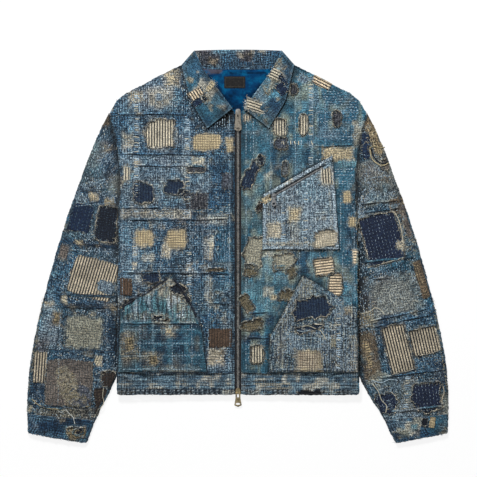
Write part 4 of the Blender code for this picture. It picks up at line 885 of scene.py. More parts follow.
def squeeze(value, limit, soft=4.0):
    """Values kept under a limit: as they are until a few millimetres before it, then ever closer to it."""
    beyond = np.maximum(value - (limit - soft), 0.0)
    return np.minimum(value, limit - soft) + soft * (1.0 - np.exp(-beyond / soft))


def hold_on(area, x, y):
    """Keeps what is laid on a sleeve or cuff between the body's side, or the sleeve's inner edge, and its
    outer edge."""
    if not area.startswith(("sleeve", "cuff")):
        return x, y
    side = side_of(area)
    outer = sleeve_edge(y, "outer", SLEEVE + CUFF) - 2.2
    inner = sleeve_edge(y, "inner", SLEEVE + CUFF) + 3.0
    inner = np.where(y > HEM_Y, np.maximum(side_x(np.clip(y, HEM_Y, SHOULDER_Y)) + 1.2, inner), inner)
    return side * -squeeze(-squeeze(x * side, outer), -inner), y


def seed_of(patch):
    """A seed for a patch's random draws, from its place and width."""
    return int(abs(patch.x * 7.0 + patch.y * 13.0 + patch.wide * 3.0)) + 1


def side_of(area):
    """1 on the wearer's left and -1 on the right, from the end of an area's name."""
    return 1 if area.endswith("left") else -1


def rim_of(patch, count):
    """Points on a patch's edge and the directions that leave it, evenly round."""
    angle = np.linspace(0, 2 * math.pi, count, endpoint=False)
    reach = np.maximum(np.abs(np.cos(angle)), np.abs(np.sin(angle)))
    x, y, _, _ = bend(patch, np.cos(angle) / reach, np.sin(angle) / reach)
    run_x, run_y = np.roll(x, -2) - np.roll(x, 2), np.roll(y, -2) - np.roll(y, 2)
    length = np.maximum(np.hypot(run_x, run_y), 1e-6)
    return x, y, run_y / length, -run_x / length


def lay_patch(batch, skin, patch, ground, area):
    """A patch as a grid laid on a skin: puffed by its stitches, its edge turned down, and its colours passing
    into the ground's where it is worn or faded. A torn or sewn one gets painted shadow along its edge, a torn
    one most just below its upper edge. A torn one also gets its raised rim. The skin is then raised."""
    seed = seed_of(patch)
    u, v = np.meshgrid(unit_stations(patch.wide), unit_stations(patch.high))
    x, y, a, b = bend(patch, u, v)
    x, y = hold_on(area, x, y)
    edge = np.maximum(np.abs(u), np.abs(v)) > 0.999
    puff = 0.30 * noise(x, y, 6.0, seed) + 0.2 * noise(x, y, 14.0, seed + 1)
    lift = LIFT[patch.edge]
    z = skin.at(x, y) + np.where(edge, -0.25, lift + puff * (1.0 if patch.edge == "sewn" else 0.4))
    tint, second, figure = look_of(patch.cloth)
    shade = 1.0 + 0.14 * noise(x, y, 12.0, seed + 2)
    inner = np.minimum((1 - np.abs(u)) * patch.wide, (1 - np.abs(v)) * patch.high)
    # painted shadow inside a torn patch's edge, darkest just below its upper edge, where the rim stands
    # between the hole and the key light
    if patch.edge == "torn":
        below_top = (1 - v * math.cos(math.radians(patch.turn))) * patch.high
        shade = shade * (0.45 + 0.55 * smooth(inner / 4.0)) * (0.4 + 0.6 * smooth(below_top / 9.0))
    # painted shadow along a sewn patch's edge
    if patch.edge == "sewn":
        shade = shade * (0.45 + 0.55 * smooth(inner / 3.0 + 0.4 * noise(x, y, 5.0, seed + 4)))
    looks = tint * shade[..., None], second, figure
    if patch.edge in FADE_REACH:
        share = smooth(inner / FADE_REACH[patch.edge] + 0.35 * noise(x, y, 4.0, seed + 3))[..., None]
        looks = [blend(below, own, share) for below, own in zip(ground(x, y), looks)]
    along_grain, across_grain = turned(a, b, patch.grain)
    batch.add_grid(x, y, z, (along_grain + 31.0 * (seed % 17), across_grain + 13.0 * (seed % 23)), *looks)
    if patch.edge == "torn":
        add_rim(batch, skin, patch, ground, area)
    raise_skin(skin, patch, lift if patch.edge == "sewn" else 0.1)


def raise_skin(skin, patch, thick):
    """Raises a skin inside a patch's outline, over an S-curve of 1.5 mm at its edge."""
    size = max(patch.wide, patch.high)
    near = np.ix_(np.abs(skin.y[:, 0] - patch.y) < 1.5 * size, np.abs(skin.x[0] - patch.x) < 1.5 * size)
    a, b = turned(skin.x[near] - patch.x, skin.y[near] - patch.y, patch.turn)
    out = how_far_out(patch, a, b) ** (1.0 / outline_power(patch))
    skin.z[near] = skin.z[near] + thick * smooth((1.02 - out) * size / 1.5)


def add_rim(batch, skin, patch, ground, area):
    """The torn edge round a hole: a ring that stands up at the hole and comes down to the cloth around it.
    Both its edges wander. It is frayed pale in places, and in others painted shade darkens its inner side
    next to the hole."""
    seed = seed_of(patch)
    count = max(28, int((patch.wide + patch.high) * 4 / 2.2))
    x, y, out_x, out_y = rim_of(patch, count)
    angle = np.linspace(0, TURN, count, endpoint=False)
    breadth = 2.6 + 1.5 * wander(angle, seed + 5, (3, 7, 11, 19))
    inward = 1.0 + 1.1 * wander(angle, seed + 6, (5, 9, 17, 29))
    shares = np.array([0.0, 0.05, 0.35, 0.7, 1.0])[:, None]
    heights = np.array([0.4, 1.7, 2.0, 0.9, -0.2])[:, None]
    reach = blend(-inward[None], breadth[None], shares)
    px, py = hold_on(area, x[None] + out_x[None] * reach, y[None] + out_y[None] * reach)
    z = skin.at(px, py) + heights * (1.0 + 0.35 * noise(px, py, 4.0, seed))
    tint, _, _ = ground(px, py)
    patchy = noise(px, py, 11.0, seed + 3)
    if area == "front_left":
        fray = smooth((shares - 0.4) / 0.3) * smooth(0.6 + 1.2 * patchy)
        hollow = 0.9 * smooth(1.4 - np.abs(shares - 0.2) / 0.3) * smooth(0.9 - patchy)
    else:
        fray = smooth(1.25 - shares * 2.0) * smooth(0.2 + 1.5 * patchy)
        hollow = 0.85 * smooth(1.0 - 2.4 * np.abs(shares - 0.05)) * smooth(0.3 - 1.5 * patchy)
    # painted shade on the rim's inner side next to the hole
    tint = over(tint, "linen" if area == "front_left" else "cream", fray, 0.85) * (1 - hollow)[..., None]
    batch.add_grid(px, py, z, (angle * (patch.wide + patch.high) / 1.6, shares * 6.0), tint, COLOURS["cream"],
                   (0.0, 0.2, 1.0), wrap=True, flip=True)


# ================================================================ stitches and yarns
def add_stitches(batch, skin, x, y, angle, length, width, colours, height=0.42):
    """Running stitches: each a low roof of six points on the skin, along its own direction."""
    n = len(x)
    if n == 0:
        return
    a = np.array([-0.5, 0.5, 0.5, -0.5, -0.26, 0.26])
    b = np.array([-0.5, -0.5, 0.5, 0.5, 0.0, 0.0])
    up = np.array([0.0, 0.0, 0.0, 0.0, 1.0, 1.0])
    length = np.broadcast_to(length, n)[:, None]
    along_x, along_y = np.cos(angle)[:, None], np.sin(angle)[:, None]
    px = x[:, None] + a * length * along_x - b * width * along_y
    py = y[:, None] + a * length * along_y + b * width * along_x
    pz = skin.at(px, py) + 0.06 + up * height
    faces = np.array([[0, 1, 5], [0, 5, 4], [3, 5, 2], [3, 4, 5], [0, 4, 3], [1, 2, 5]])
    faces = (faces[None] + 6 * np.arange(n)[:, None, None]).reshape(-1, 3)
    uv = np.stack([a * length + x[:, None], b * width + y[:, None]], axis=-1)
    batch.add(np.stack([px, py, pz], axis=-1), faces, uv, np.repeat(colours, 6, axis=0))


def thread_colours(rng, names, count, spread=0.16):
    """A colour for each thread, from a few names, each a little lighter or darker."""
    table = np.array([COLOURS[n] for n in names])
    picked = table[rng.integers(0, len(table), count)]
    return picked * (1.0 + rng.uniform(-spread * 1.8, spread, count))[:, None]


def stitch_patch(batch, skin, patch, inside):
    """Running stitches in rows over a patch, and the small stitches that hold a sewn one along its edge."""
    rng = np.random.default_rng(seed_of(patch))
    c = CLOTHS[patch.cloth]
    if c.rows:
        rows_at = np.arange(-patch.wide + c.rows / 2, patch.wide, c.rows)
        steps = np.arange(-patch.high + c.stitch / 2, patch.high, c.stitch + c.gap)
        a, b = (g.ravel() for g in np.meshgrid(rows_at, steps))
        sway = 0.6 * noise(a, b, 20.0, 4)
        a = a + rng.normal(0, 0.35, a.size) + sway
        b = b + (np.tile(rng.uniform(-2, 2, len(rows_at)), len(steps))) + rng.normal(0, 0.5, b.size)
        keep = (how_far_out(patch, a, b) < 0.86) & (rng.random(a.size) < 0.9)
        x, y = placed(patch, a[keep], b[keep])
        shown = inside(x, y)
        x, y = x[shown], y[shown]
        angle = math.radians(patch.turn) + math.pi / 2 + rng.normal(0, 0.09, len(x))
        add_stitches(batch, skin, x, y, angle, c.stitch * rng.uniform(0.75, 1.15, len(x)), 1.1,
                     thread_colours(rng, [c.thread], len(x)))
    if patch.edge == "sewn":
        count = int((patch.wide + patch.high) * 4 / 4.2)
        x, y, out_x, out_y = rim_of(patch, count)
        keep = (rng.random(count) < 0.85) & inside(x, y)
        add_stitches(batch, skin, (x - out_x * 0.6)[keep], (y - out_y * 0.6)[keep],
                     np.arctan2(out_y, out_x)[keep] + rng.normal(0, 0.3, keep.sum()), 3.0, 0.7,
                     thread_colours(rng, ("chalk", "ash", "navy", "cream", "ink"), int(keep.sum())))


def add_yarns(batch, skin, x, y, angle, length, colours, rng, curl=0.6, width=0.6, rise=0.9, low=0.12):
    """Loose yarns: thin roofed ribbons that leave a point, curl by random turns, rise as half a sine and
    come down again, and taper to half their width."""
    n, stations = len(x), 5
    if n == 0:
        return
    turns = rng.normal(0, curl, (n, stations - 1)).cumsum(axis=1) + angle[:, None]
    step = (np.broadcast_to(length, n) / (stations - 1))[:, None]
    cx = np.concatenate([x[:, None], x[:, None] + (np.cos(turns) * step).cumsum(axis=1)], axis=1)
    cy = np.concatenate([y[:, None], y[:, None] + (np.sin(turns) * step).cumsum(axis=1)], axis=1)
    heading = np.concatenate([turns[:, :1], turns], axis=1)
    share = np.linspace(0, 1, stations)
    lift = low + rise * rng.uniform(0.2, 1.0, n)[:, None] * np.sin(math.pi * share)[None] ** 0.7
    half = width / 2 * (1.0 - 0.5 * share)[None]
    ribs = []
    for side, up in ((-1.0, 0.0), (0.0, 0.45 * width), (1.0, 0.0)):
        px, py = cx - side * half * np.sin(heading), cy + side * half * np.cos(heading)
        ribs.append(np.stack([px, py, skin.at(px, py) + lift + up], axis=-1))
    points = np.stack(ribs, axis=2)
    quads = grid_faces(stations, 3)[:, ::-1]
    triangles = np.concatenate([quads[:, [0, 1, 2]], quads[:, [0, 2, 3]]])
    faces = (triangles[None] + stations * 3 * np.arange(n)[:, None, None]).reshape(-1, 3)
    batch.add(points, faces, points[..., :2], np.repeat(colours, stations * 3, axis=0))


FRAY_DENSITY = {"sewn": 0.10, "torn": 0.55, "worn": 0.5, "faded": 0.15}    # yarns to a millimetre of edge
FRAY_THREADS = {"ticking": ("cream", "tan", "white"), "ticking_dark": ("tan", "cream", "steel"),
                "brown": ("tan", "linen", "brown"), "linen": ("cream", "tan")}


def fray_patch(batch, skin, patch, inside):
    """Short yarns round a patch's edge, denser where it is torn or worn."""
    rng = np.random.default_rng(seed_of(patch) + 9)
    count = int((patch.wide + patch.high) * 4 * FRAY_DENSITY[patch.edge])
    x, y, out_x, out_y = rim_of(patch, max(count, 8))
    shown = inside(x, y)
    x, y, out_x, out_y = x[shown], y[shown], out_x[shown], out_y[shown]
    inward = rng.random(len(x)) < 0.45
    angle = np.arctan2(out_y, out_x) + np.where(inward, math.pi, 0.0) + rng.normal(0, 0.5, len(x))
    names = FRAY_THREADS.get(patch.cloth, ("cream", "ash", "chalk", "cream", "steel"))
    jitter = rng.normal(0, 0.8, (2, len(x)))
    add_yarns(batch, skin, x + jitter[0], y + jitter[1], angle, rng.uniform(2.5, 7.5, len(x)),
              thread_colours(rng, names, len(x)), rng)


# ================================================================ panels
def xy(plan):
    """The x and the y of plan points."""
    return plan[..., 0], plan[..., 1]


def declare(plan):
    """Turns a plan grid into metres and does nothing more with it: no sheet, box or area is declared."""
    plan = plan * MM


def mirrored(plan, side):
    """A plan grid of the wearer's left, or its mirror image with its columns turned round."""
    return plan if side > 0 else plan[:, ::-1] * np.array([-1.0, 1.0])


def side_edge(y0, y1, count=90):
    """Points up the body's side on the wearer's left."""
    y = np.linspace(y0, y1, count)
    return np.column_stack([side_x(y), y])


def sew_panel(name, node, plan, z, colours, rests_on=None, thick=CLOTH, turn_in=0.8, finish="boro_cloth",
              slot="indigo_cloth"):
    """A shell on a plan grid as a piece that stands for a node. Its outermost row of points is set a little
    lower, so that its edge is soft."""
    rim = np.ones(z.shape, bool)
    rim[1:-1, 1:-1] = False
    top = np.concatenate([plan, np.where(rim, z - turn_in, z)[..., None]], axis=-1)
    points, faces = wall(top, np.where(rim, thick - turn_in, thick))
    batch = Batch()
    batch.add(points, faces, points[:, :2], *both_faces(colours, z.shape))
    piece = batch.make(name, FINISHES[finish], slot)
    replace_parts(piece, node)
    if rests_on:
        declare(plan)
    return piece


def both_faces(colours, shape):
    """A shell's colours: the same on its upper and its lower grid."""
    return [np.concatenate([np.broadcast_to(c, shape + (3,)).reshape(-1, 3)] * 2) for c in colours]


def inside_outline(x, y, outline):
    """Distance inside a convex outline: the least distance to its sides, negative outside."""
    corners = np.asarray(outline, float)
    following = np.roll(corners, -1, axis=0)
    way = np.sign(np.sum(corners[:, 0] * following[:, 1] - corners[:, 1] * following[:, 0]))
    depth = np.full(np.shape(x), 1e9)
    for (ax, ay), (bx, by) in zip(corners, following):
        length = math.hypot(bx - ax, by - ay)
        depth = np.minimum(depth, way * ((bx - ax) * (y - ay) - (by - ay) * (x - ax)) / length)
    return depth


LEAF_OUTLINE = ((10.8, 269.0), (60.5, 230.0), (92.5, 283.0), (110.2, 354.0), (85.0, 382.0))
HAND_POCKETS = {
    1: ((60.5, -245.6), (234.0, -245.6), (232.0, -120.5), (127.0, -57.0), (62.5, -177.0)),
    -1: ((-61.5, -245.6), (-233.0, -245.6), (-229.0, -120.5), (-129.5, -57.0), (-106.0, -88.0),
         (-72.5, -155.0)),
}
CHEST_POCKET = ((48.0, -6.5), (197.5, -6.5), (184.0, 177.0), (48.5, 100.5))
ZIP_START, ZIP_END = np.array([69.0, 98.5]), np.array([164.0, 153.5])   # the chest pocket's zip
ZIP_LENGTH = float(np.linalg.norm(ZIP_END - ZIP_START))
ZIP_RUN = (ZIP_END - ZIP_START) / ZIP_LENGTH
ZIP_SIDE = np.array([-ZIP_RUN[1], ZIP_RUN[0]])
SIDES = {1: "left", -1: "right"}
BASE_CLOTH = {"front_right": "mid", "front_left": "teal", "pocket_right": "teal", "pocket_left": "steel",
              "pocket_chest": "pale", "sleeve_right": "smoke", "sleeve_left": "smoke"}


def plaid(x, y, tint):
    """The checked hand pocket: dark squares between pale lines below its seam, gathers of a pale cloth above
    it with painted shade in the folds between them, and painted shadow along its edges."""
    wx, wy = x + 1.6 * noise(x, y, 12.0, 511), y + 1.6 * noise(x, y, 12.0, 512)
    low = smooth((-149.0 - wy) / 2.0) * (0.75 + 0.5 * noise(x, y, 22.0, 513))
    square = smooth(1.3 * np.sin((wx + 133.0) * TURN / 33.0 - 1.57) + 0.9) * smooth(
        1.3 * np.sin((wy + 165.0) * TURN / 25.0 - 1.57) + 0.9)
    tint = over(tint, "teal", 0.6 * low, 0.65)
    tint = over(tint, "deep", 0.85 * square * low, 0.65)
    thin = np.maximum(smooth(7.0 * np.cos((wx + 133.0) * TURN / 33.0) - 5.6),
                      smooth(7.0 * np.cos((wy + 165.0) * TURN / 25.0) - 5.4))
    tint = over(tint, "sky", 0.55 * thin * low * (0.7 + 0.8 * noise(x, y, 14.0, 520)))
    tint = over(tint, "olive", low * smooth(2.0 * noise(x, y, 20.0, 518) - 0.7) * 0.4)
    high = smooth((wy + 149.0) / 3.0) * smooth((-88.0 - wy) / 10.0)
    # the gathers are painted, not shaped: pale cloth on their crests and painted shade in the folds between
    # them
    gather = smooth(2.2 * np.sin((x + 3.4 * noise(x, y * 0.4, 9.0, 514)) * TURN / 9.4) - 0.9)
    tint = over(tint, "aqua", 0.8 * high * (1 - gather) * (0.8 + 0.5 * noise(x, y * 0.5, 7.0, 524)), 1.1)
    tint = over(tint, "chalk", high * (1 - gather) * smooth(1.7 * noise(x, y * 0.6, 9.0, 515) - 0.1) * 0.8)
    tint = over(tint, "ink", high * gather * (0.9 + 0.4 * noise(x, y, 9.0, 516)), 0.6)
    peak = smooth((wy + 100.0) / 8.0)
    vein = smooth(1.3 - 4.5 * np.abs(noise(x, y * 0.6, 9.0, 517)))
    tint = over(tint, "cream", peak * smooth(1.5 * noise(x, y, 10.0, 519) + 0.5) * 0.7)
    tint = over(tint, "ink", peak * vein * 0.9)
    # painted shadow along the pocket's edges
    depth = inside_outline(x, y, HAND_POCKETS[-1])
    return over(tint, "ink", 0.9 * bell(depth, 2.2) * smooth((wy + 165.0) / 6.0))


def bound(x, y, tint):
    """The chest pocket: a pale rubbed edge and a dark row of stitching behind it."""
    depth = inside_outline(x, y, CHEST_POCKET)
    column = smooth(1.4 * np.sin((x + 1.5 * noise(x, y, 14.0, 522)) * TURN / 9.4) - 0.3)
    tint = over(tint, "chalk", 0.5 * column * (0.7 + 0.6 * noise(x, y, 15.0, 523)))
    tint = over(tint, "steel", 0.5 * (1 - column) * (0.6 + 0.8 * noise(x, y, 18.0, 525)))
    slit = smooth(1.6 - np.abs(x - 92.0) / 1.5) * smooth((82.0 - y) / 2.0) * smooth((y - 30.0) / 6.0)
    ledge = smooth(1.6 - np.abs(y - 81.0) / 1.3) * smooth((x - 90.0) / 2.0) * smooth((116.0 - x) / 3.0)
    tint = over(tint, "ink", 0.9 * np.maximum(slit, ledge), 0.7)
    tint = over(tint, "chalk", 0.9 * bell(depth - 3.4, 2.4) * (0.8 + 0.6 * noise(x, y, 8.0, 521)), 1.15)
    tint = over(tint, "ink", 0.9 * bell(depth - 7.8, 1.7))
    return over(tint, "shell", 0.7 * bell(depth - 11.4, 1.8), 1.1)


def dense(x, y, tint):
    """The other hand pocket: rows of close stitching that run down it."""
    column = smooth(1.4 * np.sin((x + 1.2 * noise(x, y, 14.0, 532)) * TURN / 7.8) - 0.2)
    tint = over(tint, "linen", 0.5 * column * (0.75 + 0.7 * noise(x, y, 15.0, 533)))
    return over(tint, "deep", 0.6 * (1 - column) * (0.6 + 0.9 * noise(x, y, 12.0, 534)))


def halo(area, x, y, tint):
    """A pale worn ring in the ground round each torn patch, stronger on one side."""
    name, most = ("moss", 0.6) if area == "front_left" else ("cream", 0.3)
    for p in PATCHES[area]:
        if p.edge == "torn":
            a, b = turned(x - p.x, y - p.y, p.turn)
            out = ((np.abs(a) / p.wide) ** 3 + (np.abs(b) / p.high) ** 3) ** (1 / 3)
            ring = bell((out - 1.0) * min(p.wide, p.high) - 3.0, 6.0)
            tint = over(tint, name, most * ring * smooth(0.1 + 1.7 * noise(x, y, 15.0, seed_of(p) + 9)), 1.1)
    return tint


FIGURED = {"pocket_right": plaid, "pocket_chest": bound, "pocket_left": dense}


def ground_of(area, seed):
    """The painting of an area over the plan, with light and shade painted in: lighter on its ridges and
    darker in its troughs, and painted shadow beside the body, the zip, the pockets and the collar."""
    side = side_of(area)
    sleeve, front = area.startswith("sleeve"), area.startswith("front")

    def ground(x, y):
        tint, second, figure = paint(x, y, BASE_CLOTH[area], BLOCKS[area], seed,
                                     0.5 if area == "front_left" else 1.0)
        if sleeve:
            relief = fold_height(SLEEVE_CREASES[side], x * side, y) + 1.1 * noise(x * side, y, 9.0, 11 + side)
            # painted shadow on the sleeve beside the body's edge, which lies over it
            beside = np.abs(x) - side_x(np.clip(y, HEM_Y, SHOULDER_Y))
            dark = 0.96 * np.exp(-(np.maximum(beside, 0.0) / 11.0) ** 1.4) * smooth((y - HEM_Y + 10.0) / 10.0)
        else:
            relief = 1.5 * fold_height(FRONT_CREASES, x, y) + 1.1 * noise(x, y, 9.0, 3)
            # painted shade beside the zip
            dark = 0.45 * bell(np.abs(x) - 10.0, 5.0)
            if side < 0:
                # painted shadow under the right collar leaf
                a, b = (x + 27.0) * 0.8 + (y - 250.0) * 0.6, (y - 250.0) * 0.8 - (x + 27.0) * 0.6
                dark = np.maximum(dark, 0.98 * np.exp(-((a / 23.0) ** 4) - (b / 15.0) ** 4))
            # painted shadow round the collar leaves, the hand pockets and the chest pocket
            near = [(LEAF_OUTLINE, np.abs(x), 0.85, 8.0)]
            if front:
                near += [(HAND_POCKETS[side], x, 0.9, 5.0)] + [(CHEST_POCKET, x, 0.75, 3.5)] * (side > 0)
            for outline, at_x, share, reach in near:
                depth = inside_outline(at_x, y, outline)
                dark = np.maximum(dark, share * np.exp(np.minimum(depth, 0.0) / reach) * (depth < 2.0))
        if front:
            tint = halo(area, x, y, tint)
        if area == "front_left":
            figure = figure * 0.75
        if area in FIGURED:
            tint = FIGURED[area](x, y, tint)
        # painted light and shade: lighter where the creases and puckers rise, darker in their troughs, and
        # darker in the painted shadow
        light = (1.0 - dark)[..., None]
        return tint * (1.0 + 0.24 * np.clip(relief, -1.6, 1.6))[..., None] * light, second * light, figure
    return ground


# A stitched line in the ground: "felled" is a raised seam with painted shade along one edge and a painted
# highlight on its crest, "ladder" has short bars across, "dash" is a line of running stitches.
Seam = namedtuple("Seam", "x0 y0 x1 y1 kind")
SEAMS = {
    "front_right": rows(Seam, """
        -236 259 -98 259 felled; -232 181 -60 180 felled; -203 158 -62 157 felled; -230 76 -150 76 felled;
        -214 52 -20 54 felled; -226 -50 -8 -52 felled; -198 300 -198 60 ladder; -193 290 -193 -46 dash;
        -99 250 -99 60 ladder; -94 330 -94 -100 dash; -201 40 -201 -48 ladder; -95 -10 -95 -106 ladder;
        -12 255 -12 -244 dash; -16 250 -16 -244 dash; -58 190 -58 -240 dash; -226 72 -226 -240 dash;
        -150 170 -150 -50 dash; -60 -110 -8 -112 felled;"""),
    "front_left": rows(Seam, """
        142 330 142 150 ladder; 146 326 146 140 dash; 112 290 112 124 dash; 64 250 64 90 dash;
        58 202 146 202 ladder; 150 196 226 198 felled; 30 250 30 176 dash; 57 -12 57 -128 dash;
        12 250 12 -244 dash; 16 250 16 -244 dash; 200 100 200 -6 dash; 204 -16 204 -110 dash;
        186 138 232 138 dash; 186 122 232 122 dash; 186 150 232 150 dash; 8 -132 60 -126 felled;
        8 -176 66 -178 felled; 160 -10 160 -50 dash; 66 -176 64 -242 ladder; 226 90 228 -110 dash;
        120 -12 120 -60 dash; 150 214 232 214 dash; 156 262 240 262 dash; 170 300 170 200 dash;"""),
    "pocket_right": rows(Seam, """
        -226 -148 -80 -150 felled; -224 -163 -84 -162 dash; -224 -188 -70 -190 dash; -224 -214 -70 -212 dash;
        -191 -100 -191 -240 dash; -166 -90 -166 -240 dash; -128 -110 -128 -240 dash; -90 -130 -90 -240 dash;
        -226 -128 -130 -66 dash; -224 -240 -66 -240 dash;"""),
    "pocket_left": rows(Seam, """
        72 -180 224 -180 dash; 70 -240 226 -240 dash; 84 -160 84 -240 felled; 130 -66 226 -126 dash;
        66 -178 128 -66 dash; 196 -130 196 -240 ladder;"""),
    "pocket_chest": rows(Seam, """
        54 0 192 0 dash; 53 4 53 88 dash; 190 4 181 160 dash; 52 98 180 170 dash; 88 80 88 0 ladder;
        132 110 132 0 ladder; 54 58 190 62 dash; 86 108 86 4 dash;"""),
    "sleeve_right": rows(Seam, """
        -244 190 -292 176 felled; -236 112 -316 104 felled; -232 86 -322 78 dash; -232 -2 -338 4 felled;
        -226 -12 -342 -6 dash; -208 -100 -366 -94 felled; -206 -120 -372 -118 felled;
        -256 -120 -256 -320 dash; -214 -206 -392 -204 felled; -346 -120 -352 -320 dash;
        -286 -320 -404 -312 felled;"""),
    "sleeve_left": rows(Seam, """
        240 180 286 168 dash; 246 130 300 140 dash; 240 82 318 92 felled; 244 66 320 76 felled;
        240 -32 346 -20 felled; 262 -64 300 -60 felled; 258 -146 374 -120 felled; 262 -158 376 -132 felled;
        280 -164 294 -260 dash; 276 -256 400 -240 felled; 296 -322 404 -312 felled; 354 -80 372 -130 dash;
        340 60 366 -30 dash; 332 -252 326 -320 ladder; 300 -120 360 -120 dash;"""),
}


# across a felled seam: where its points are, how high, how dark its painted shade is, and how light its
# painted highlight where there is no shade
SEAM_OFF = np.array([-3.6, -2.3, -0.9, 1.2, 2.6])
SEAM_RISE = np.array([-0.2, 1.3, 1.9, 1.0, -0.2])
SEAM_SHADE = np.array([1.0, 0.85, 0.05, 0.0, 0.4])
SEAM_HIGHLIGHT = np.array([1.0, 1.0, 1.3, 1.35, 1.0])


def add_seam(cloths, threads, skin, seam, ground, seed, inside):
    """A seam on the part of its line that shows: a felled one is a raised ribbon of the same cloth with
    painted shade along its steep edge and a painted highlight on its crest, the others are stitches across
    the line or along it."""
    rng = np.random.default_rng(seed)
    first, span = np.array([seam.x0, seam.y0], float), np.array([seam.x1 - seam.x0, seam.y1 - seam.y0], float)
    probe = np.linspace(0.0, 1.0, 120)
    shown = probe[inside(*(first[:, None] + span[:, None] * probe))]
    if not len(shown):
        return
    first, last = first + span * shown[0], first + span * shown[-1]
    length = max(math.hypot(*(last - first)), 1.0)
    way = (last - first) / length
    heading = math.atan2(way[1], way[0])

    def beside(run, off):
        """Points that far along the line and that far beside it."""
        return first[0] + way[0] * run - way[1] * off, first[1] + way[1] * run + way[0] * off

    if seam.kind == "felled":
        run = np.linspace(0.0, length, max(4, int(length / 3.0)))[:, None]
        drift = 1.1 * noise(run, 0 * run + seed, 22.0, seed) + 0.5 * noise(run, 0 * run + seed, 6.0, seed + 1)
        off = SEAM_OFF + drift
        x, y = beside(run, off)
        taper = smooth(run / 8.0) * smooth((length - run) / 8.0)
        z = skin.at(x, y) + (SEAM_RISE * (1 + 0.3 * noise(x, y, 5.0, seed + 2)) + 0.2) * taper - 0.2
        tint, second, figure = ground(x, y)
        # painted shade along the steep edge, painted highlight on the crest
        dark = SEAM_SHADE[:, None] * (0.6 + 0.4 * taper[..., None])
        tint = blend(tint, COLOURS["ink"], dark) * SEAM_HIGHLIGHT[:, None]
        cloths.add_grid(x, y, z, (run, off), tint, second, figure, flip=True)
    if seam.kind == "ladder":
        run = np.arange(2.0, length, 4.2)
        run = run[rng.random(len(run)) < 0.85]
        n = len(run)
        x, y = beside(run + rng.normal(0, 0.5, n), rng.normal(0, 0.5, n))
        angle = heading + math.pi / 2 + rng.normal(0, 0.14, n)
        add_stitches(threads, skin, x, y, angle, rng.uniform(6.5, 10.0, n), 1.6,
                     thread_colours(rng, ("chalk", "ash", "cream"), n))
    if seam.kind == "dash":
        run = np.arange(2.0, length, 5.4)
        n = len(run)
        run = run + rng.normal(0, 0.3, n)
        x, y = beside(run, 0.7 * ripple(run, 18.0, seed))
        add_stitches(threads, skin, x, y, heading + rng.normal(0, 0.06, n), 3.4, 1.0,
                     thread_colours(rng, ("chalk", "chalk", "ash"), n))


# Rows of running stitches over a part of the ground: its box, direction in degrees, distance between rows,
# stitch, gap, threads, and the share of the stitches that are left.
Field = namedtuple("Field", "x0 x1 y0 y1 way rows stitch gap threads left")
FIELDS = {
    "front_right": rows(Field, """
        -250 -98 262 345 90 4.6 3.4 2.4 chalk,ash,chalk .75;
        -250 -102 186 258 0 5.0 3.2 2.4 chalk,ash,chalk .7;
        -98 -8 186 330 90 4.6 3.2 2.2 chalk,ash,chalk .7;
        -232 -62 80 182 90 4.4 3.4 2.4 chalk,ash,chalk .75; -60 -8 60 180 0 4.6 3.0 2.4 ink,ash,navy .7;
        -230 -20 54 78 0 4.0 3.6 2.0 chalk,cream,ash .8;
        -232 -96 -50 50 0 4.6 3.2 2.2 chalk,ash,chalk .75;
        -94 -8 -50 50 90 4.4 3.2 2.2 chalk,ash,chalk .75;
        -232 -8 -244 -54 0 4.6 3.2 2.4 chalk,ash,chalk .7;
        -232 -8 -244 330 90 13.0 3.0 6.0 chalk,cream,ash .5;
        -232 -8 -244 330 0 12.0 2.6 6.0 ink,ash,navy .5;"""),
    "front_left": rows(Field, """
        150 250 206 320 0 5.6 3.4 2.8 chalk,ash,chalk .7; 66 140 206 340 90 15.0 3.4 3.6 chalk,ash,chalk .6;
        150 232 100 200 0 6.0 3.4 2.6 chalk,ash,chalk .65; 8 60 180 250 90 11.0 2.8 3.6 chalk,ash,chalk .6;
        200 234 -110 96 0 6.5 3.2 3.0 chalk,ash,chalk .6; 8 232 -130 330 0 17.0 2.6 7.0 ink,ash,navy .5;
        8 60 -244 -176 90 8.0 2.8 3.2 chalk,ash,chalk .6;
        8 46 -130 100 90 14.0 2.8 4.0 chalk,ash,chalk .5;"""),
    "pocket_right": rows(Field, """
        -232 -62 -244 -60 90 6.4 3.2 3.0 ash,pale .35; -232 -62 -244 -60 0 6.4 3.2 3.0 aqua,ash,sky .45;"""),
    "pocket_left": rows(Field, """
        62 232 -244 -60 90 4.0 3.4 2.0 chalk,ash,chalk .85;
        62 232 -244 -60 0 5.0 2.8 2.4 chalk,cream,ash .6;"""),
    "pocket_chest": rows(Field, """
        48 196 -6 175 90 3.9 3.8 1.9 chalk,ash,chalk .9; 48 196 -6 175 0 8.0 2.4 3.0 chalk,cream,ash .5;"""),
    "sleeve_right": rows(Field, """
        .02 .96 .6 14.0 90 4.4 3.0 2.2 chalk,ash,chalk .7; .02 .96 .6 14.0 0 6.0 2.6 3.0 chalk,cream,ash .5;
        .02 .96 .6 14.0 0 9.0 2.6 3.0 ink,ash,navy .6;"""),
    "sleeve_left": rows(Field, """
        .02 .96 .6 14.0 90 4.2 3.0 2.2 chalk,ash,chalk .7; .02 .96 .6 14.0 0 5.6 2.6 3.0 chalk,cream,ash .55;
        .02 .96 .6 14.0 0 8.0 2.6 3.0 ink,ash,navy .6;"""),
}


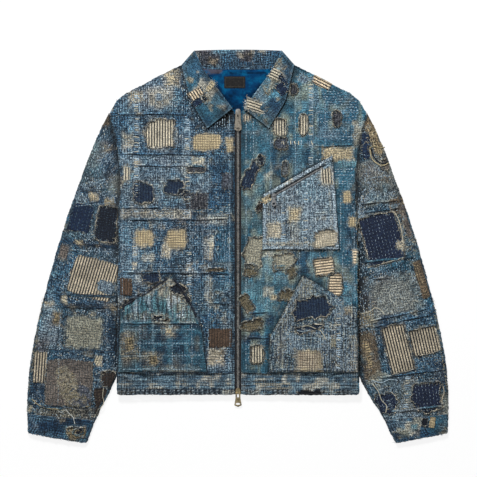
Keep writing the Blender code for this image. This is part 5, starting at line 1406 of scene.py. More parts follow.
def field_points(field, rng, wide, high):
    """Places of a field's stitches in a box that many mm wide and high, rows along its way."""
    rows_reach, steps_reach = (wide, high) if field.way == 90 else (high, wide)
    rows_at = np.arange(field.rows / 2, rows_reach, field.rows)
    steps = np.arange(field.stitch / 2, steps_reach, field.stitch + field.gap)
    a, b = (g.ravel() for g in np.meshgrid(rows_at, steps))
    sway = 1.2 * noise(a, b, 30.0, 21)
    shift = np.tile(rng.uniform(0, field.stitch + field.gap, len(rows_at)), len(steps))
    a = a + rng.normal(0, 0.4, a.size) + sway
    b = b + shift + rng.normal(0, 0.5, b.size)
    return (a, b) if field.way == 90 else (b, a)


def sew_field(batch, skin, field, rng, x, y, angle):
    """A field's stitches at those places, each turned a little and longer or shorter than the next."""
    add_stitches(batch, skin, x, y, angle + rng.normal(0, 0.11, len(x)),
                 field.stitch * rng.uniform(0.7, 1.15, len(x)), 1.0,
                 thread_colours(rng, field.threads, len(x)), 0.34)


def clear_of(x, y, patches, keep=0.97):
    """Whether points are outside all of the patches."""
    free = np.ones(len(x), bool)
    for p in patches:
        free &= how_far_out(p, *turned(x - p.x, y - p.y, p.turn)) > keep
    return free


def stitch_ground(batch, skin, area, inside):
    """The fields of stitches of an area, less those under a patch and those that have worn away in places."""
    rng = np.random.default_rng(len(area) * 31 + ord(area[-1]))
    for field in FIELDS[area]:
        x, y = field_points(field, rng, field.x1 - field.x0, field.y1 - field.y0)
        x, y = x + field.x0, y + field.y0
        worn = noise(x, y, 20.0, 41) * 0.6 - 0.2
        keep = (rng.random(len(x)) < field.left + worn) & inside(x, y) & clear_of(x, y, PATCHES[area])
        sew_field(batch, skin, field, rng, x[keep], y[keep], math.radians(field.way))


# ================================================================ building the body
SKINS, GROUNDS = {}, {}


def build_body():
    """Back, fronts, hem bands and the lining, as shells on the skin of the worn front."""
    skin = SKINS["body"] = Skin(-264, 264, -292, 366)
    skin.z = worn_front(skin.x, skin.y)
    for k, area in enumerate(("front_right", "front_left", "pocket_right", "pocket_left", "pocket_chest")):
        GROUNDS[area] = ground_of(area, 100 + 10 * k)
    neck = [(x, float(neck_y(x))) for x in np.linspace(-88, 88, 23)]
    top = [(-x, y) for x, y in SHOULDER_LINE[::-1]] + neck + [*SHOULDER_LINE]
    mirror = BLOCKS["front_left"] + BLOCKS["front_right"]
    for name, low_y, high_y, high in (("back", BAND_TOP_Y + SEAM / 2, SHOULDER_Y, top),
                                      ("back_hem_band", HEM_Y, BAND_TOP_Y - SEAM / 2, None)):
        right = side_edge(low_y, high_y)
        left = right * np.array([-1.0, 1.0])
        plan = coons([left[0], right[0]], right, high or [left[-1], right[-1]], left, 4.5)
        x, y = xy(plan)
        sew_panel(f"{name}_cloth", name, plan, back_low(x, y) + CLOTH, paint(-x, y, "mid", mirror, 60),
                  ["floor"], turn_in=0.3)
    for side, word in SIDES.items():
        edge = side_edge(BAND_TOP_Y + SEAM / 2, SHOULDER_Y)
        low = [(FRONT_EDGE_X, BAND_TOP_Y + SEAM / 2), tuple(edge[0])]
        high = [(FRONT_EDGE_X, FRONT_NECK_Y), FRONT_NECK_CORNER, *SHOULDER_LINE[1:]]
        plan = mirrored(coons(low, edge, high, [low[0], high[0]]), side)
        front = f"front_{word}"
        sew_panel(f"{front}_cloth", front, plan, skin.at(*xy(plan)), GROUNDS[front](*xy(plan)),
                  ["back_cloth"])
        build_hem_band(side, word, skin)
    build_lining()


def band_ground(x, y):
    """The hem bands: thin rows of blue, cream and dark cloth, broken up along their length."""
    tint, second, figure = paint(x, y, "mid", (), 150)
    rows = np.sin((y + 2.2 * noise(x, y, 17.0, 61)) * TURN / 8.2) + 1.3 * noise(x, y * 3.0, 15.0, 63)
    tint = over(tint, "pale", smooth(rows) * 0.85, 1.15)
    tint = over(tint, "tan", smooth(rows) * smooth(1.8 * noise(x, y, 19.0, 65) - 0.2) * 0.7)
    tint = over(tint, "ink", smooth(-rows - 0.2) * 0.95, 0.7)
    tint = over(tint, "cream", smooth(2.4 * noise(x, y, 13.0, 67) - 0.9) * 0.7)
    low = smooth((HEM_Y + 12.0 - y) / 2.5) * smooth(0.6 + 1.4 * noise(x, y, 26.0, 69) + 0.8 * (x < 0))
    dashes = smooth(2.0 * np.sin((x + 2.0 * noise(x, y, 9.0, 70)) * TURN / 9.0))
    tint = over(tint, "ink", low * 0.85, 0.8)
    tint = over(tint, "chalk", low * dashes * smooth(np.sin((y - HEM_Y) * TURN / 6.2) * 2.0) * 0.6)
    torn = smooth((HEM_Y + 9.0 + 2.5 * noise(x, y, 5.0, 72) - y) / 2.0)
    torn = torn * smooth((28.0 - np.abs(x - 140.0)) / 7.0)
    tint = over(tint, "ink", torn, 0.4)
    tint = over(tint, "ink", bell(y - BAND_TOP_Y + 2.0, 1.8) * 0.8)
    plain = (1.0 - np.maximum(torn, 0.6 * low))[..., None]
    return tint, second * plain, (figure + np.array([0.0, 0.2, 0.3])) * plain


def build_hem_band(side, word, skin):
    """A front's hem band, ribbed by its rows of stitching, with a swell along the hem."""
    top = BAND_TOP_Y - SEAM / 2
    edge = side_edge(HEM_Y, top, 20)
    low = [(FRONT_EDGE_X, HEM_Y), tuple(edge[0])]
    high = [(FRONT_EDGE_X, top), tuple(edge[-1])]
    plan = mirrored(coons(low, edge, high, [low[0], high[0]], 2.4), side)
    x, y = xy(plan)
    ribs = 0.55 * np.sin(y * TURN / 8.2) * smooth((y - HEM_Y) / 5.0) * smooth((BAND_TOP_Y - y) / 4.0)
    hem = 0.9 * bell(y - HEM_Y - 4.0, 3.0) + 0.35 * noise(x, y, 7.0, 71)
    sew_panel(f"front_{word}_band_cloth", f"front_{word}_hem_band", plan, skin.at(x, y) + ribs + hem,
              band_ground(x, y), ["back_hem_band_cloth"], turn_in=1.0)


LINING_FOLDS = rows(Fold, "-60 330 -20 250 9 .9; 50 336 24 262 8 .8; -30 300 30 262 7 .5")
LABEL = (-27.0, 14.2, 308.5, 331.5)     # the label's sides, lower and upper edge
NO_FIGURE = np.zeros(3)


def build_lining():
    """The lining inside the neck, with painted shade under the collar's leaves and towards the bottom of the
    V, with a facing seam, and its bare label.
    """
    corner_x, side_reach, low_y, gap = 79.0, 104.0, 236.0, 0.4
    right = [(side_reach, low_y), (side_reach, 309.0), (corner_x, float(neck_y(corner_x)) - gap)]
    left = [(-x, y) for x, y in right]
    high = [(x, float(neck_y(x)) - gap) for x in np.linspace(-corner_x, corner_x, 33)]
    plan = coons([left[0], right[0]], right, high, left, 2.6)
    x, y = xy(plan)
    calm = smooth((side_reach - np.abs(x)) / 10.0) * smooth((y - low_y) / 6.0)
    z = back_low(x, y) + CLOTH + SEAM + 1.0 + calm * (
        fold_height(LINING_FOLDS, x, y) + 0.2 * noise(x, y, 12.0, 81) + 0.15)
    seam = bell(y - neck_y(x) + 7.0, 1.1)
    blue, pale = linear(0, 52, 92), linear(0, 84, 126)
    tint = blue * (1.0 - 0.75 * seam[..., None]) * (1 + 0.1 * noise(x, y, 30, 82))[..., None]
    (roll_x, roll_y), (bend_x, bend_y) = LEAF_ROLL[:2]
    inside_roll = np.interp(y, (roll_y, bend_y), (roll_x, bend_x)) - np.abs(x)
    # painted shade: darker towards the bottom of the V and close to the collar's roll, where the leaves lie
    # over the lining
    tint = tint * (0.45 + 0.55 * smooth((y - 262.0) / 26.0))[..., None] * (
        0.4 + 0.6 * smooth(inside_roll / 12.0))[..., None]
    facing = smooth((y - 336.0) / 0.8) * smooth((-30.0 - x) / 1.0) * smooth((x + 70.0) / 1.0) * 0.9
    tint = blend(tint, linear(78, 74, 84), facing[..., None])
    lining = sew_panel("neck_lining_cloth", "neck_lining", plan, z, (tint, pale, NO_FIGURE), thick=1.0,
                       turn_in=0.2, finish="lining_cloth", slot="lining_cloth")
    skin = SKINS["lining"] = Skin(-110, 110, 230, 366).fill_from(x, y, z)
    x0, x1, y0, y1 = LABEL
    low_left, low_right, high_right, high_left = (x0, y0), (x1, y0), (x1, y1), (x0, y1)
    label_plan = coons([low_left, low_right], [low_right, high_right], [high_left, high_right],
                       [low_left, high_left], 1.4)
    x, y = xy(label_plan)
    inner = np.minimum(np.minimum(x - x0, x1 - x), np.minimum(y - y0, y1 - y))
    black, grey = linear(24, 23, 24), linear(70, 66, 58)
    tint = black * (1 + 0.2 * noise(x, y, 5.0, 83))[..., None]
    tint = blend(tint, grey, bell(inner - 2.6, 0.55)[..., None] * 0.6)
    z = skin.at(x, y) + 0.75 + 0.12 * np.sin(y * TURN / 2.8)
    sew_panel("neck_label_bare", "neck_label", label_plan, z, (tint, grey, NO_FIGURE), ["neck_lining_cloth"],
              0.6, 0.2, "woven_tape", "label_cloth")
    declare(plan)


POCKET_EDGES = {        # the outline's corners along the low, right, high and left edge
    1: ((0, 1), (1, 2), (4, 3, 2), (0, 4)),
    -1: ((1, 0), (0, 5), (2, 3, 4, 5), (1, 2)),
}


def over_zip(x, off):
    """The point over x on the line beside the chest zip at that distance from it."""
    base = ZIP_START + ZIP_SIDE * off
    return (x, float(base[1] + (x - base[0]) * ZIP_RUN[1] / ZIP_RUN[0]))


def build_pockets():
    """The two hand pockets, and the chest pocket as a bag below its zip and a welt above it. The body's
    skin is then raised to what lies on it."""
    skin = SKINS["body"]

    def hand_relief(x, y, outline):
        return 2.6 + 0.35 * noise(x, y, 10.0, 91) + 0.8 * bell(inside_outline(x, y, outline) - 5.0, 4.0)

    def within(outline):
        return smooth((inside_outline(skin.x, skin.y, outline) + 0.6) / 1.2)

    raised = np.zeros_like(skin.z)
    for side, word in SIDES.items():
        outline = HAND_POCKETS[side]
        plan = coons(*([outline[k] for k in edge] for edge in POCKET_EDGES[side]), 2.6)
        x, y = xy(plan)
        z = skin.at(x, y) + hand_relief(x, y, outline)
        sew_panel(f"hand_pocket_{word}_cloth", f"hand_pocket_{word}", plan, z,
                  GROUNDS[f"pocket_{word}"](x, y), [f"front_{word}_cloth"], turn_in=1.0, slot="pocket_cloth")
        raised = raised + within(outline) * hand_relief(skin.x, skin.y, outline)
    left_x, right_x, gap = 48.4, 185.2, 2.7
    low_left, low_right, high_right, high_left = CHEST_POCKET
    bag_left, bag_right = over_zip(left_x, -gap), over_zip(right_x, -gap)
    welt_left, welt_right = over_zip(left_x, gap), over_zip(right_x, gap)
    bag = coons([low_left, low_right], [low_right, bag_right], [bag_left, bag_right],
                [low_left, bag_left], 2.6)
    welt = coons([welt_left, welt_right], [welt_right, high_right], [high_left, high_right],
                 [welt_left, high_left], 1.8)
    for name, plan, puff in (("chest_pocket_bag", bag, 0.45), ("chest_pocket_welt", welt, 0.7)):
        x, y = xy(plan)
        z = skin.at(x, y) + 3.4 + 0.3 * noise(x, y, 9.0, 93)
        z[1:-1, 1:-1] += puff
        sew_panel(name, "chest_pocket", plan, z, GROUNDS["pocket_chest"](x, y), turn_in=1.0,
                              slot="pocket_cloth")
    declare(bag)
    off_zip = np.abs((skin.x - ZIP_START[0]) * ZIP_SIDE[0] + (skin.y - ZIP_START[1]) * ZIP_SIDE[1])
    beside_zip = np.maximum(smooth((off_zip - 2.0) / 1.2), ((skin.x < 60) | (skin.x > 170)) * 1.0)
    chest = within(CHEST_POCKET) * beside_zip * (3.85 + 0.3 * noise(skin.x, skin.y, 9.0, 93))
    skin.z = skin.z + raised + chest


# ================================================================ building the sleeves
def ring_grid(x, y, low, high, direction, reach):
    """Closed rings of a flattened tube: the top from inner to outer end, an arc down round the outer end, the
    underside back, and an arc up round the inner end."""
    arc = np.linspace(math.pi / 2, -math.pi / 2, 6)[1:-1]

    def end(column, way):
        middle, half = (low[:, column] + high[:, column]) / 2, (high[:, column] - low[:, column]) / 2
        out = way * np.cos(arc)[None] * reach[:, None]
        px, py = (g[:, column, None] + direction[:, k, None] * out for k, g in enumerate((x, y)))
        return np.stack([px, py, middle[:, None] + np.sin(arc)[None] * half[:, None]], axis=-1)

    top = np.stack([x, y, high], axis=-1)
    under = np.stack([x, y, low], axis=-1)[:, ::-1]
    return np.concatenate([top, end(-1, 1.0), under, end(0, -1.0)[:, ::-1]], axis=1)


def sleeve_steps(rings, side, armhole, step):
    """Row numbers of a sleeve's rings, about a step apart along its middle."""
    plans, _, _ = sleeve_rings(rings, side, np.array([0.5]), armhole)
    gaps = np.diff(reach_along(plans[:, 0]))
    stretches = [k + np.linspace(0, 1, max(2, int(gap / step)), endpoint=False) for k, gap in enumerate(gaps)]
    return np.concatenate(stretches + [[float(len(gaps))]])


def sleeve_points(side, s, t):
    """Plan points of a sleeve at shares s and row numbers t, one for each pair."""
    plans, _, _ = sleeve_rings(SLEEVE, side, s)
    k = np.clip(t.astype(int), 0, len(plans) - 2)
    at = np.arange(len(s))
    return blend(plans[k, at], plans[k + 1, at], (t - k)[:, None])


def round_reach(rings):
    """Distance round each ring at each of its points."""
    steps = np.linalg.norm(np.diff(rings, axis=1), axis=2)
    return np.cumsum(np.concatenate([np.zeros((len(rings), 1)), steps], axis=1), axis=1)


def build_sleeve(side, word):
    """A sleeve and its cuff as tubes from ring to ring, the cuff's end turned in, and the skin of both."""
    area, cuff = f"sleeve_{word}", f"cuff_{word}"
    GROUNDS[area] = ground_of(area, 200 + side * 20)
    GROUNDS[cuff] = lambda x, y: cuff_ground(x, y, side)

    def surface(rings, armhole, shares, step):
        t = sleeve_steps(rings, side, armhole, step)
        x, y, high, low = sleeve_surface(rings, side, shares, t, armhole)
        return t, x, y, high if armhole else high + cuff_relief(x, y, side), low

    samples = []
    for rings, armhole in ((SLEEVE, True), (CUFF, False)):
        _, x, y, z, _ = surface(rings, armhole, np.linspace(0, 1, 290), 0.7)
        samples.append((x.ravel() * side, y.ravel(), z.ravel()))
    reach_x = (190, 422) if side > 0 else (-422, -190)
    SKINS[area] = Skin(*reach_x, -392, 250).fill_from(*(np.concatenate(parts) for parts in zip(*samples)))
    shares = np.linspace(0, 1, 58)
    for name, table, armhole, step in ((area, SLEEVE, True, 3.0), (cuff, CUFF, False, 2.2)):
        t, x, y, high, low = surface(table, armhole, shares, step)
        reach = between(np.array([2.4] * armhole + [r.edge / 2 for r in table]), t)
        direction = np.stack([x[:, -1] - x[:, 0], y[:, -1] - y[:, 0]], axis=-1)
        direction = direction / np.linalg.norm(direction, axis=1, keepdims=True)
        rings = ring_grid(x, y, low, high, direction, reach)
        if not armhole:
            rings = np.concatenate([rings, turned_in(rings[-1], 9.0)], axis=0)
        rings[..., 0] *= side
        faces = grid_faces(*rings.shape[:2], wrap=True)
        v = np.broadcast_to(reach_along(rings.mean(axis=1))[:, None], rings.shape[:2])
        batch = Batch()
        batch.add(rings, faces if side > 0 else faces[:, ::-1], np.stack([round_reach(rings), v], axis=-1),
                  *paint_both(rings, shares.size + 2, GROUNDS[name], side))
        piece = batch.make(f"{name}_cloth", FINISHES["boro_cloth"], "indigo_cloth")
        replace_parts(piece, name)


def turned_in(ring, depth):
    """Two more rings: a smaller one that closes in a tube's end, and one that runs back up inside the
    tube."""
    middle = ring.mean(axis=0)
    inward = middle + (ring - middle) * np.array([0.965, 0.965, 0.4])
    return np.stack([inward, inward + np.array([0.0, depth, 0.0])])


def paint_both(rings, on_top, ground, side):
    """Colours of a tube: the area's own painting on its first points, and the shifted one underneath."""
    x, y = rings[..., 0], rings[..., 1]
    top = (np.arange(rings.shape[1]) < on_top)[None, :, None]
    shifted = ground(x + side * 7.0, y + 31.0)
    return [np.where(top, upper, lower) for upper, lower in zip(ground(x, y), shifted)]


def cuff_relief(x, y, side):
    """Rows of quilting along the cuff, and its uneven swell."""
    down = -340.0 - y + (x - 283.0) * 0.1
    return 0.35 * np.sin(down * TURN / 7.5) + 0.4 * noise(x, y, 8.0, 97 + side)


CUFF_BLOCKS = {
    1: rows(Block, """
        310 -352 20 16 -8 pale .8 5; 340 -356 14 12 -8 cream .7 4; 322 -366 12 8 -8 sage .9 4;
        298 -348 10 10 -8 mid .8 4; 350 -340 10 6 -8 shell .7 3; 412 -356 12 14 -8 fog .7 5;
        392 -350 20 20 -8 teal .8 6; 330 -374 40 4 -8 navy .7 3; 376 -370 30 8 -8 deep .7 5;
        302 -366 12 12 0 deep .6 5;"""),
    -1: rows(Block, """
        -350 -352 60 14 8 deep .9 6; -310 -364 26 16 8 aqua .6 7; -384 -362 26 9 8 mid .7 5;
        -350 -380 60 4 8 navy .7 3; -300 -350 16 14 0 deep .8 6;"""),
}


def cuff_ground(x, y, side):
    """Cuffs: deep blue with worn pale blocks on the wearer's right, small mixed blocks on the left."""
    return paint(x, y, "mid", CUFF_BLOCKS[side], 260 + side)


def lumpy_edge(batch, points, heights, ground, seed, radius=1.7, step=1.5):
    """A folded and frayed edge: a tube of six sides along a line, its thickness and its way uneven, thin
    ends."""
    length = line_length(points)
    line = along(points, max(8, int(length / step)))
    share = np.linspace(0, 1, len(line))
    run = share * length
    middle = np.interp(share, np.linspace(0, 1, len(heights)), heights)
    way = np.gradient(line, axis=0)
    way = way / np.linalg.norm(way, axis=1, keepdims=True)
    aside = np.stack([-way[:, 1], way[:, 0]], axis=-1)
    line = line + aside * (0.5 * ripple(run, 17.0, seed) + 0.3 * ripple(run, 3.0, seed + 1))[:, None]
    thick = radius * (1.0 + 0.25 * ripple(run, 9.0, seed + 2) + 0.3 * ripple(run, 2.4, seed + 3))
    thick = thick * np.sqrt(smooth(share * len(line) / 3.0) * smooth((1 - share) * len(line) / 3.0) + 0.01)
    angle = np.linspace(0, TURN, 6, endpoint=False)
    off, up = np.cos(angle)[None] * thick[:, None], np.sin(angle)[None] * thick[:, None]
    x, y = line[:, 0, None] + aside[:, 0, None] * off, line[:, 1, None] + aside[:, 1, None] * off
    tint, second, figure = ground(x, y)
    patchy = (1.0 + 0.5 * ripple(run, 5.0, seed + 4))[:, None, None]
    batch.add_grid(x, y, np.maximum(middle[:, None] + up, 0.05), (run[:, None], angle * 1.5), tint * patchy,
                   second, figure + np.array([0.0, 0.0, 0.3]), wrap=True)


def sew_armhole(batch, side, word):
    """The armhole seam: a strip that bridges the body's edge and the sleeve, with painted shade in its
    groove.
    """
    y = np.arange(48.0, 258.0, 2.5)[:, None]
    across = np.array([-3.2, -1.2, 0.3, 1.6, 3.4])
    px, py = (side_x(y) + across) * side, np.broadcast_to(y, (len(y), len(across)))
    edge_in, edge_out = SKINS["body"].at(px, py)[:, :1], SKINS[f"sleeve_{word}"].at(px, py)[:, -1:]
    rise = np.array([0.15, 0.5, -0.4, 0.3, -0.1])
    z = blend(edge_in, edge_out, np.linspace(0.0, 1.0, len(across))) + rise + 0.25 * noise(px, py, 5.0, 77)
    tint, second, figure = GROUNDS[f"front_{word}"](px, py)
    # painted shade, darkest in the groove
    dark = np.array([0.0, 0.2, 1.0, 0.95, 0.7])[:, None]
    tint = blend(tint, COLOURS["ink"] * 0.6, dark)
    batch.add_grid(px, py, z, (px, py), tint, second, figure, flip=side < 0)


def build_sleeves():
    """Both sleeves with their cuffs."""
    for side, word in SIDES.items():
        build_sleeve(side, word)


# ================================================================ building the collar
LEAF_ROLL = ((10.8, 269.0), (66.0, 342.5), (85.0, 382.0), 0.68)
LEAF_EDGE = ((60.5, 230.0), (92.5, 283.0), (110.2, 354.0), 0.44)
COLLAR_THICK = 2.4


def bent(line, t):
    """Points at shares t of a line with one bend, at the share that comes last in it."""
    start, corner, end, share = (np.asarray(p, float) for p in line)
    first = start + (corner - start) * (t / share)[:, None]
    second = corner + (end - corner) * ((t - share) / (1 - share))[:, None]
    return np.where((t < share)[:, None], first, second)


def leaf_plan(t, reach_share):
    """Plan of a collar leaf, t along it by shares from the roll to the outer edge, and the reach in mm."""
    roll, edge = bent(LEAF_ROLL, t), bent(LEAF_EDGE, t)
    width = np.linalg.norm(edge - roll, axis=1)
    direction = (edge - roll) / width[:, None]
    reach = width[:, None] * reach_share[None]
    return roll[:, None] + direction[:, None] * reach[..., None], reach


def leaf_height(x, y, reach):
    """Underside of the leaf: over the front, highest at the roll and coming down over 34 mm."""
    base = front_top(np.abs(x), np.minimum(y, shoulder_y(x))) + 1.0
    return base + 3.6 * (1.0 - smooth((reach - 4.0) / 34.0))


COLLAR_GROUND = {
    1: rows(Block, """
        74 336 14 22 35 tan .4 6; 58 308 20 24 36 sky .8 9; 44 294 18 10 -36 pale .8 6;
        78 264 9 24 32 deep .75 5; 52 246 16 8 -36 aqua .5 5; 96 330 8 26 20 deep .45 6;"""),
    -1: rows(Block, """
        -66 302 20 18 -38 cream .55 9; -96 316 14 26 -30 teal .6 8; -56 262 30 20 -34 teal .8 8;
        -80 346 14 20 -30 mid .6 8; -66 240 14 8 36 deep .6 5; -40 282 14 10 -36 sky .4 6;"""),
}


def paint_collar(x, y, blocks, side):
    """A leaf's cloth, rubbed pale along its edge, dark in the row of stitching behind the edge."""
    tint, second, figure = paint(x, y, "smoke", blocks, 310 + side)
    figure = figure * 0.4
    tint = tint * (1.15 if side > 0 else 1.02)
    depth = inside_outline(np.abs(x), y, LEAF_OUTLINE)
    pale = (0.35 * bell(depth, 2.2) * (1 + noise(x, y, 6.0, 311)))[..., None]
    dark = (0.6 * bell(depth - 6.5, 1.3) + 0.12 * smooth(0.7 * noise(x, y, 5.0, 313)))[..., None]
    return (tint * (1 - pale) + COLOURS["pale"] * pale) * (1 - dark), second, figure


LEAF_FOLDS = rows(Fold, "30 262 96 300 6 .7; 70 330 104 344 6 .8; 48 244 60 300 7 .5")
LEAF_WIDE = 45.0        # across a leaf, from the roll to its outer edge, as the hem's rows are measured


def build_leaf(side, word):
    """A leaf of the collar as a shell from the roll line to the outer edge, and its skin."""
    share = np.concatenate([[0.0, 0.012, 0.035], np.linspace(0.07, 0.985, 25), [1.0]])
    plan, reach = leaf_plan(np.linspace(0.0, 1.0, 72), share)
    x, y = xy(plan)
    from_edge = (1.0 - share[None]) * LEAF_WIDE
    puffs = 0.5 * noise(x, y, 8.0, 301 + side) + 0.3 * noise(x, y, 4.5, 303)
    hem = 0.45 * bell(from_edge - 5.0, 3.0) - 0.3 * bell(from_edge - 8.5, 1.2)
    z = leaf_height(x, y, reach) + COLLAR_THICK
    z = z + (puffs + hem + fold_height(LEAF_FOLDS, x, y)) * smooth(reach / 6.0)
    thick = np.full(z.shape, COLLAR_THICK)
    for column, drop, wall_there in ((0, 1.5, 0.9), (1, 0.5, 1.9), (-1, 0.8, 1.6)):
        z[:, column] -= drop
        thick[:, column] = wall_there
    plan = mirrored(plan, side)
    points, faces = wall(np.concatenate([plan, z[:, ::side, None]], axis=-1), thick[:, ::side])
    GROUNDS[f"collar_{word}"] = lambda px, py: paint_collar(px, py, COLLAR_GROUND[side], -1)
    batch = Batch()
    batch.add(points, faces, np.stack(turned(points[:, 0], points[:, 1], 36.0 * side), axis=-1),
              *both_faces(paint_collar(*xy(plan), COLLAR_GROUND[side], side), z.shape))
    leaf = batch.make(f"collar_leaf_{word}_cloth", FINISHES["boro_cloth"], "indigo_cloth")
    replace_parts(leaf, f"collar_leaf_{word}")
    declare(plan)
    dense, dense_reach = leaf_plan(np.linspace(0, 1, 260), np.linspace(0, 1, 110))
    x, y = xy(dense)
    z = leaf_height(x, y, dense_reach) + COLLAR_THICK + 0.3 * noise(x, y, 8.0, 301 + side)
    skin = Skin(*((0, 125) if side > 0 else (-125, 0)), 222, 390)
    SKINS[f"collar_{word}"] = skin.fill_from(x * side, y, z)


def build_collar():
    """The two leaves, and the back with its fall."""
    for side, word in SIDES.items():
        build_leaf(side, word)
    build_collar_back()


FALL_BLOCKS = rows(Block, """
    0 368 90 30 0 deep .4 5; -60 368 28 18 0 tweed .95 6; -50 362 8 6 0 olive .4 5;
    16 373 11 12 0 tweed .9 4; 4 376 6 8 0 cream .5 4; -20 370 18 12 0 mid .7 6; 50 368 22 14 0 mid .8 6;
    70 362 10 12 0 mid .6 5; -20 382 30 4 0 sky .5 3;""")


def fall_ground(x, y):
    """The painting of the collar's back and fall."""
    return paint(x, y, "mid", FALL_BLOCKS, 320)


def build_collar_back():
    """The back of the collar: up from the neck seam, over the roll, and the fall down below the body."""
    xs = np.linspace(-84.0, 84.0, 68)
    neck, top, fall_end = neck_y(xs) + 0.3, 384.0 - 2.0 * (xs / 84.0) ** 2, 318.0
    seam = back_low(xs, neck)

    def line(y, z):
        return np.stack([xs, y, z + 0 * xs], axis=-1)

    shares = np.linspace(0.0, 1.0, 12)
    lines = [line(neck + (top - 2.0 - neck) * share,
                  seam + CLOTH + 0.6 * smooth(share * 2.0) - 1.2 * smooth((share - 0.85) / 0.15))
             for share in np.linspace(0.0, 1.0, 16)]
    lines += [line(top, 2.4), line(top - 0.6, 1.0)]
    lines += [line(top - 3.0 + (fall_end - top + 3.0) * share, 0.0) for share in shares]
    lines += [line(fall_end + (top - 5.0 - fall_end) * share, 2.2) for share in shares] + [line(neck, seam)]
    rings = np.stack(lines, axis=1)
    rings[:, 1:16, 2] += 0.3 * noise(rings[:, 1:16, 0], rings[:, 1:16, 1], 7.0, 331)
    ends = rings.mean(axis=1, keepdims=True)
    rings = np.concatenate([np.broadcast_to(ends[:1], rings[:1].shape), rings,
                            np.broadcast_to(ends[-1:], rings[:1].shape)])
    batch = Batch()
    uv = np.stack([rings[..., 0], round_reach(rings)], axis=-1)
    batch.add(rings, grid_faces(*rings.shape[:2], wrap=True)[:, ::-1], uv, *fall_ground(*xy(rings)))
    back = batch.make("collar_back_cloth", FINISHES["boro_cloth"], "indigo_cloth")
    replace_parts(back, "collar_back")
    skin = SKINS["collar_back"] = Skin(-90, 90, 340, 390)
    skin.z = back_low(skin.x, np.minimum(skin.y, 365.0)) + CLOTH + 0.6


# ================================================================ dressing an area
def dress(area, skin, inside, sew_on=None, patches=None):
    """Patches with their torn rims, seams, running stitches and loose yarns of one area, and what else is
    sewn on it, as up to three pieces."""
    ground = GROUNDS[area]
    patches = PATCHES[area] if patches is None else patches
    cloths, threads, yarns = Batch(), Batch(), Batch()
    for patch in patches:
        lay_patch(cloths, skin, patch, ground, area)
    for k, seam in enumerate(SEAMS.get(area, ())):
        add_seam(cloths, threads, skin, seam, ground, 400 + 7 * k + len(area), inside)
    if area.startswith("sleeve"):
        stitch_sleeve(threads, skin, area)
    elif area in FIELDS:
        stitch_ground(threads, skin, area, inside)
    for patch in patches:
        stitch_patch(threads, skin, patch, inside)
        fray_patch(yarns, skin, patch, inside)
    nap(yarns, skin, area, inside)
    add_fringes(area, skin, yarns)
    add_tangles(area, skin, yarns, inside)
    if sew_on:
        sew_on(cloths)
    made = cloths.make(f"{area}_patches", FINISHES["boro_cloth"], "navy_cloth")
    if area in PATCH_NODES:
        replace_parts(made, *PATCH_NODES[area])
    for batch, word in ((threads, "stitches"), (yarns, "yarns")):
        if batch.count:
            batch.make(f"{area}_{word}", FINISHES["thread"], "striped_cloth")


PATCH_NODES = {
    "front_right": ("patch_charcoal_square", "patch_navy_side", "patch_rust_block", "patch_sand_square",
                    "patch_striped_breast"),
    "front_left": ("patch_striped_bar",),
    "sleeve_right": ("patch_grey_brown", "patch_navy_upper", "patch_sage", "patch_striped_elbow"),
    "sleeve_left": ("patch_grey_elbow", "patch_navy_bicep", "patch_navy_wrist", "patch_striped_forearm",
                    "patch_striped_outer"),
}


def stitch_sleeve(batch, skin, area):
    """Rows of stitches that run along a sleeve or across it, following its taper."""
    side = side_of(area)
    rng = np.random.default_rng(77 + side)
    plans, _, _ = sleeve_rings(SLEEVE, side, np.array([0.5]))
    reach = reach_along(plans[:, 0])
    wide, high = 150.0, float(reach[-1])
    for field in FIELDS[area]:
        a, b = field_points(field, rng, wide, high)
        s, t = a / wide, np.interp(b, reach, np.arange(len(reach)))
        keep = (s > field.x0) & (s < field.x1) & (t > field.y0) & (t < field.y1 - 0.1)
        s, t = s[keep], t[keep]
        here = sleeve_points(side, s, t)
        ahead = sleeve_points(side, s, t + 0.05) if field.way == 90 else sleeve_points(side, s + 0.02, t)
        x, y = here[:, 0] * side, here[:, 1]
        way = np.arctan2(ahead[:, 1] - here[:, 1], (ahead[:, 0] - here[:, 0]) * side)
        worn = noise(x, y, 20.0, 43) * 0.6 - 0.2
        keep = (rng.random(len(x)) < field.left + worn) & clear_of(x, y, PATCHES[area])
        keep &= np.abs(x) > side_x(y) + 2.0
        x, y, way = x[keep], y[keep], way[keep]
        add_stitches(batch, skin, x, y, way + rng.normal(0, 0.11, len(x)),
                     field.stitch * rng.uniform(0.7, 1.15, len(x)), 1.0,
                     thread_colours(rng, field.threads, len(x)), 0.34)


NAP = {"front_right": 700, "front_left": 420, "pocket_right": 240, "pocket_left": 300, "pocket_chest": 220,
       "sleeve_right": 800, "sleeve_left": 800}


def nap(batch, skin, area, inside):
    """Short loose yarns all over an area's ground."""
    if area not in NAP:
        return
    rng = np.random.default_rng(len(area) * 53 + 5)
    count = NAP[area] * 4
    x = rng.uniform(skin.x.min(), skin.x.max(), count)
    y = rng.uniform(skin.y.min(), skin.y.max(), count)
    keep = inside(x, y) & clear_of(x, y, PATCHES[area])
    x, y = x[keep][:NAP[area]], y[keep][:NAP[area]]
    n = len(x)
    add_yarns(batch, skin, x, y, rng.uniform(0, 2 * math.pi, n), rng.uniform(2.0, 6.0, n),
              thread_colours(rng, ["ash", "pale", "ink", "chalk", "cream", "navy"], n), rng, 0.9, 0.6, 0.5)


def under_collar(x, y):
    """Whether plan points are under a collar leaf or inside the V of the neck."""
    ax = np.abs(x)
    edge = np.interp(y, (230.0, 283.0, 354.0), (60.5, 92.5, 110.2)) - 3.0
    low_edge = 230.0 + (60.5 - ax) * (269.0 - 230.0) / (60.5 - 10.8)
    return (ax < edge) & (y > low_edge - 3.0) & (y > 229.0)


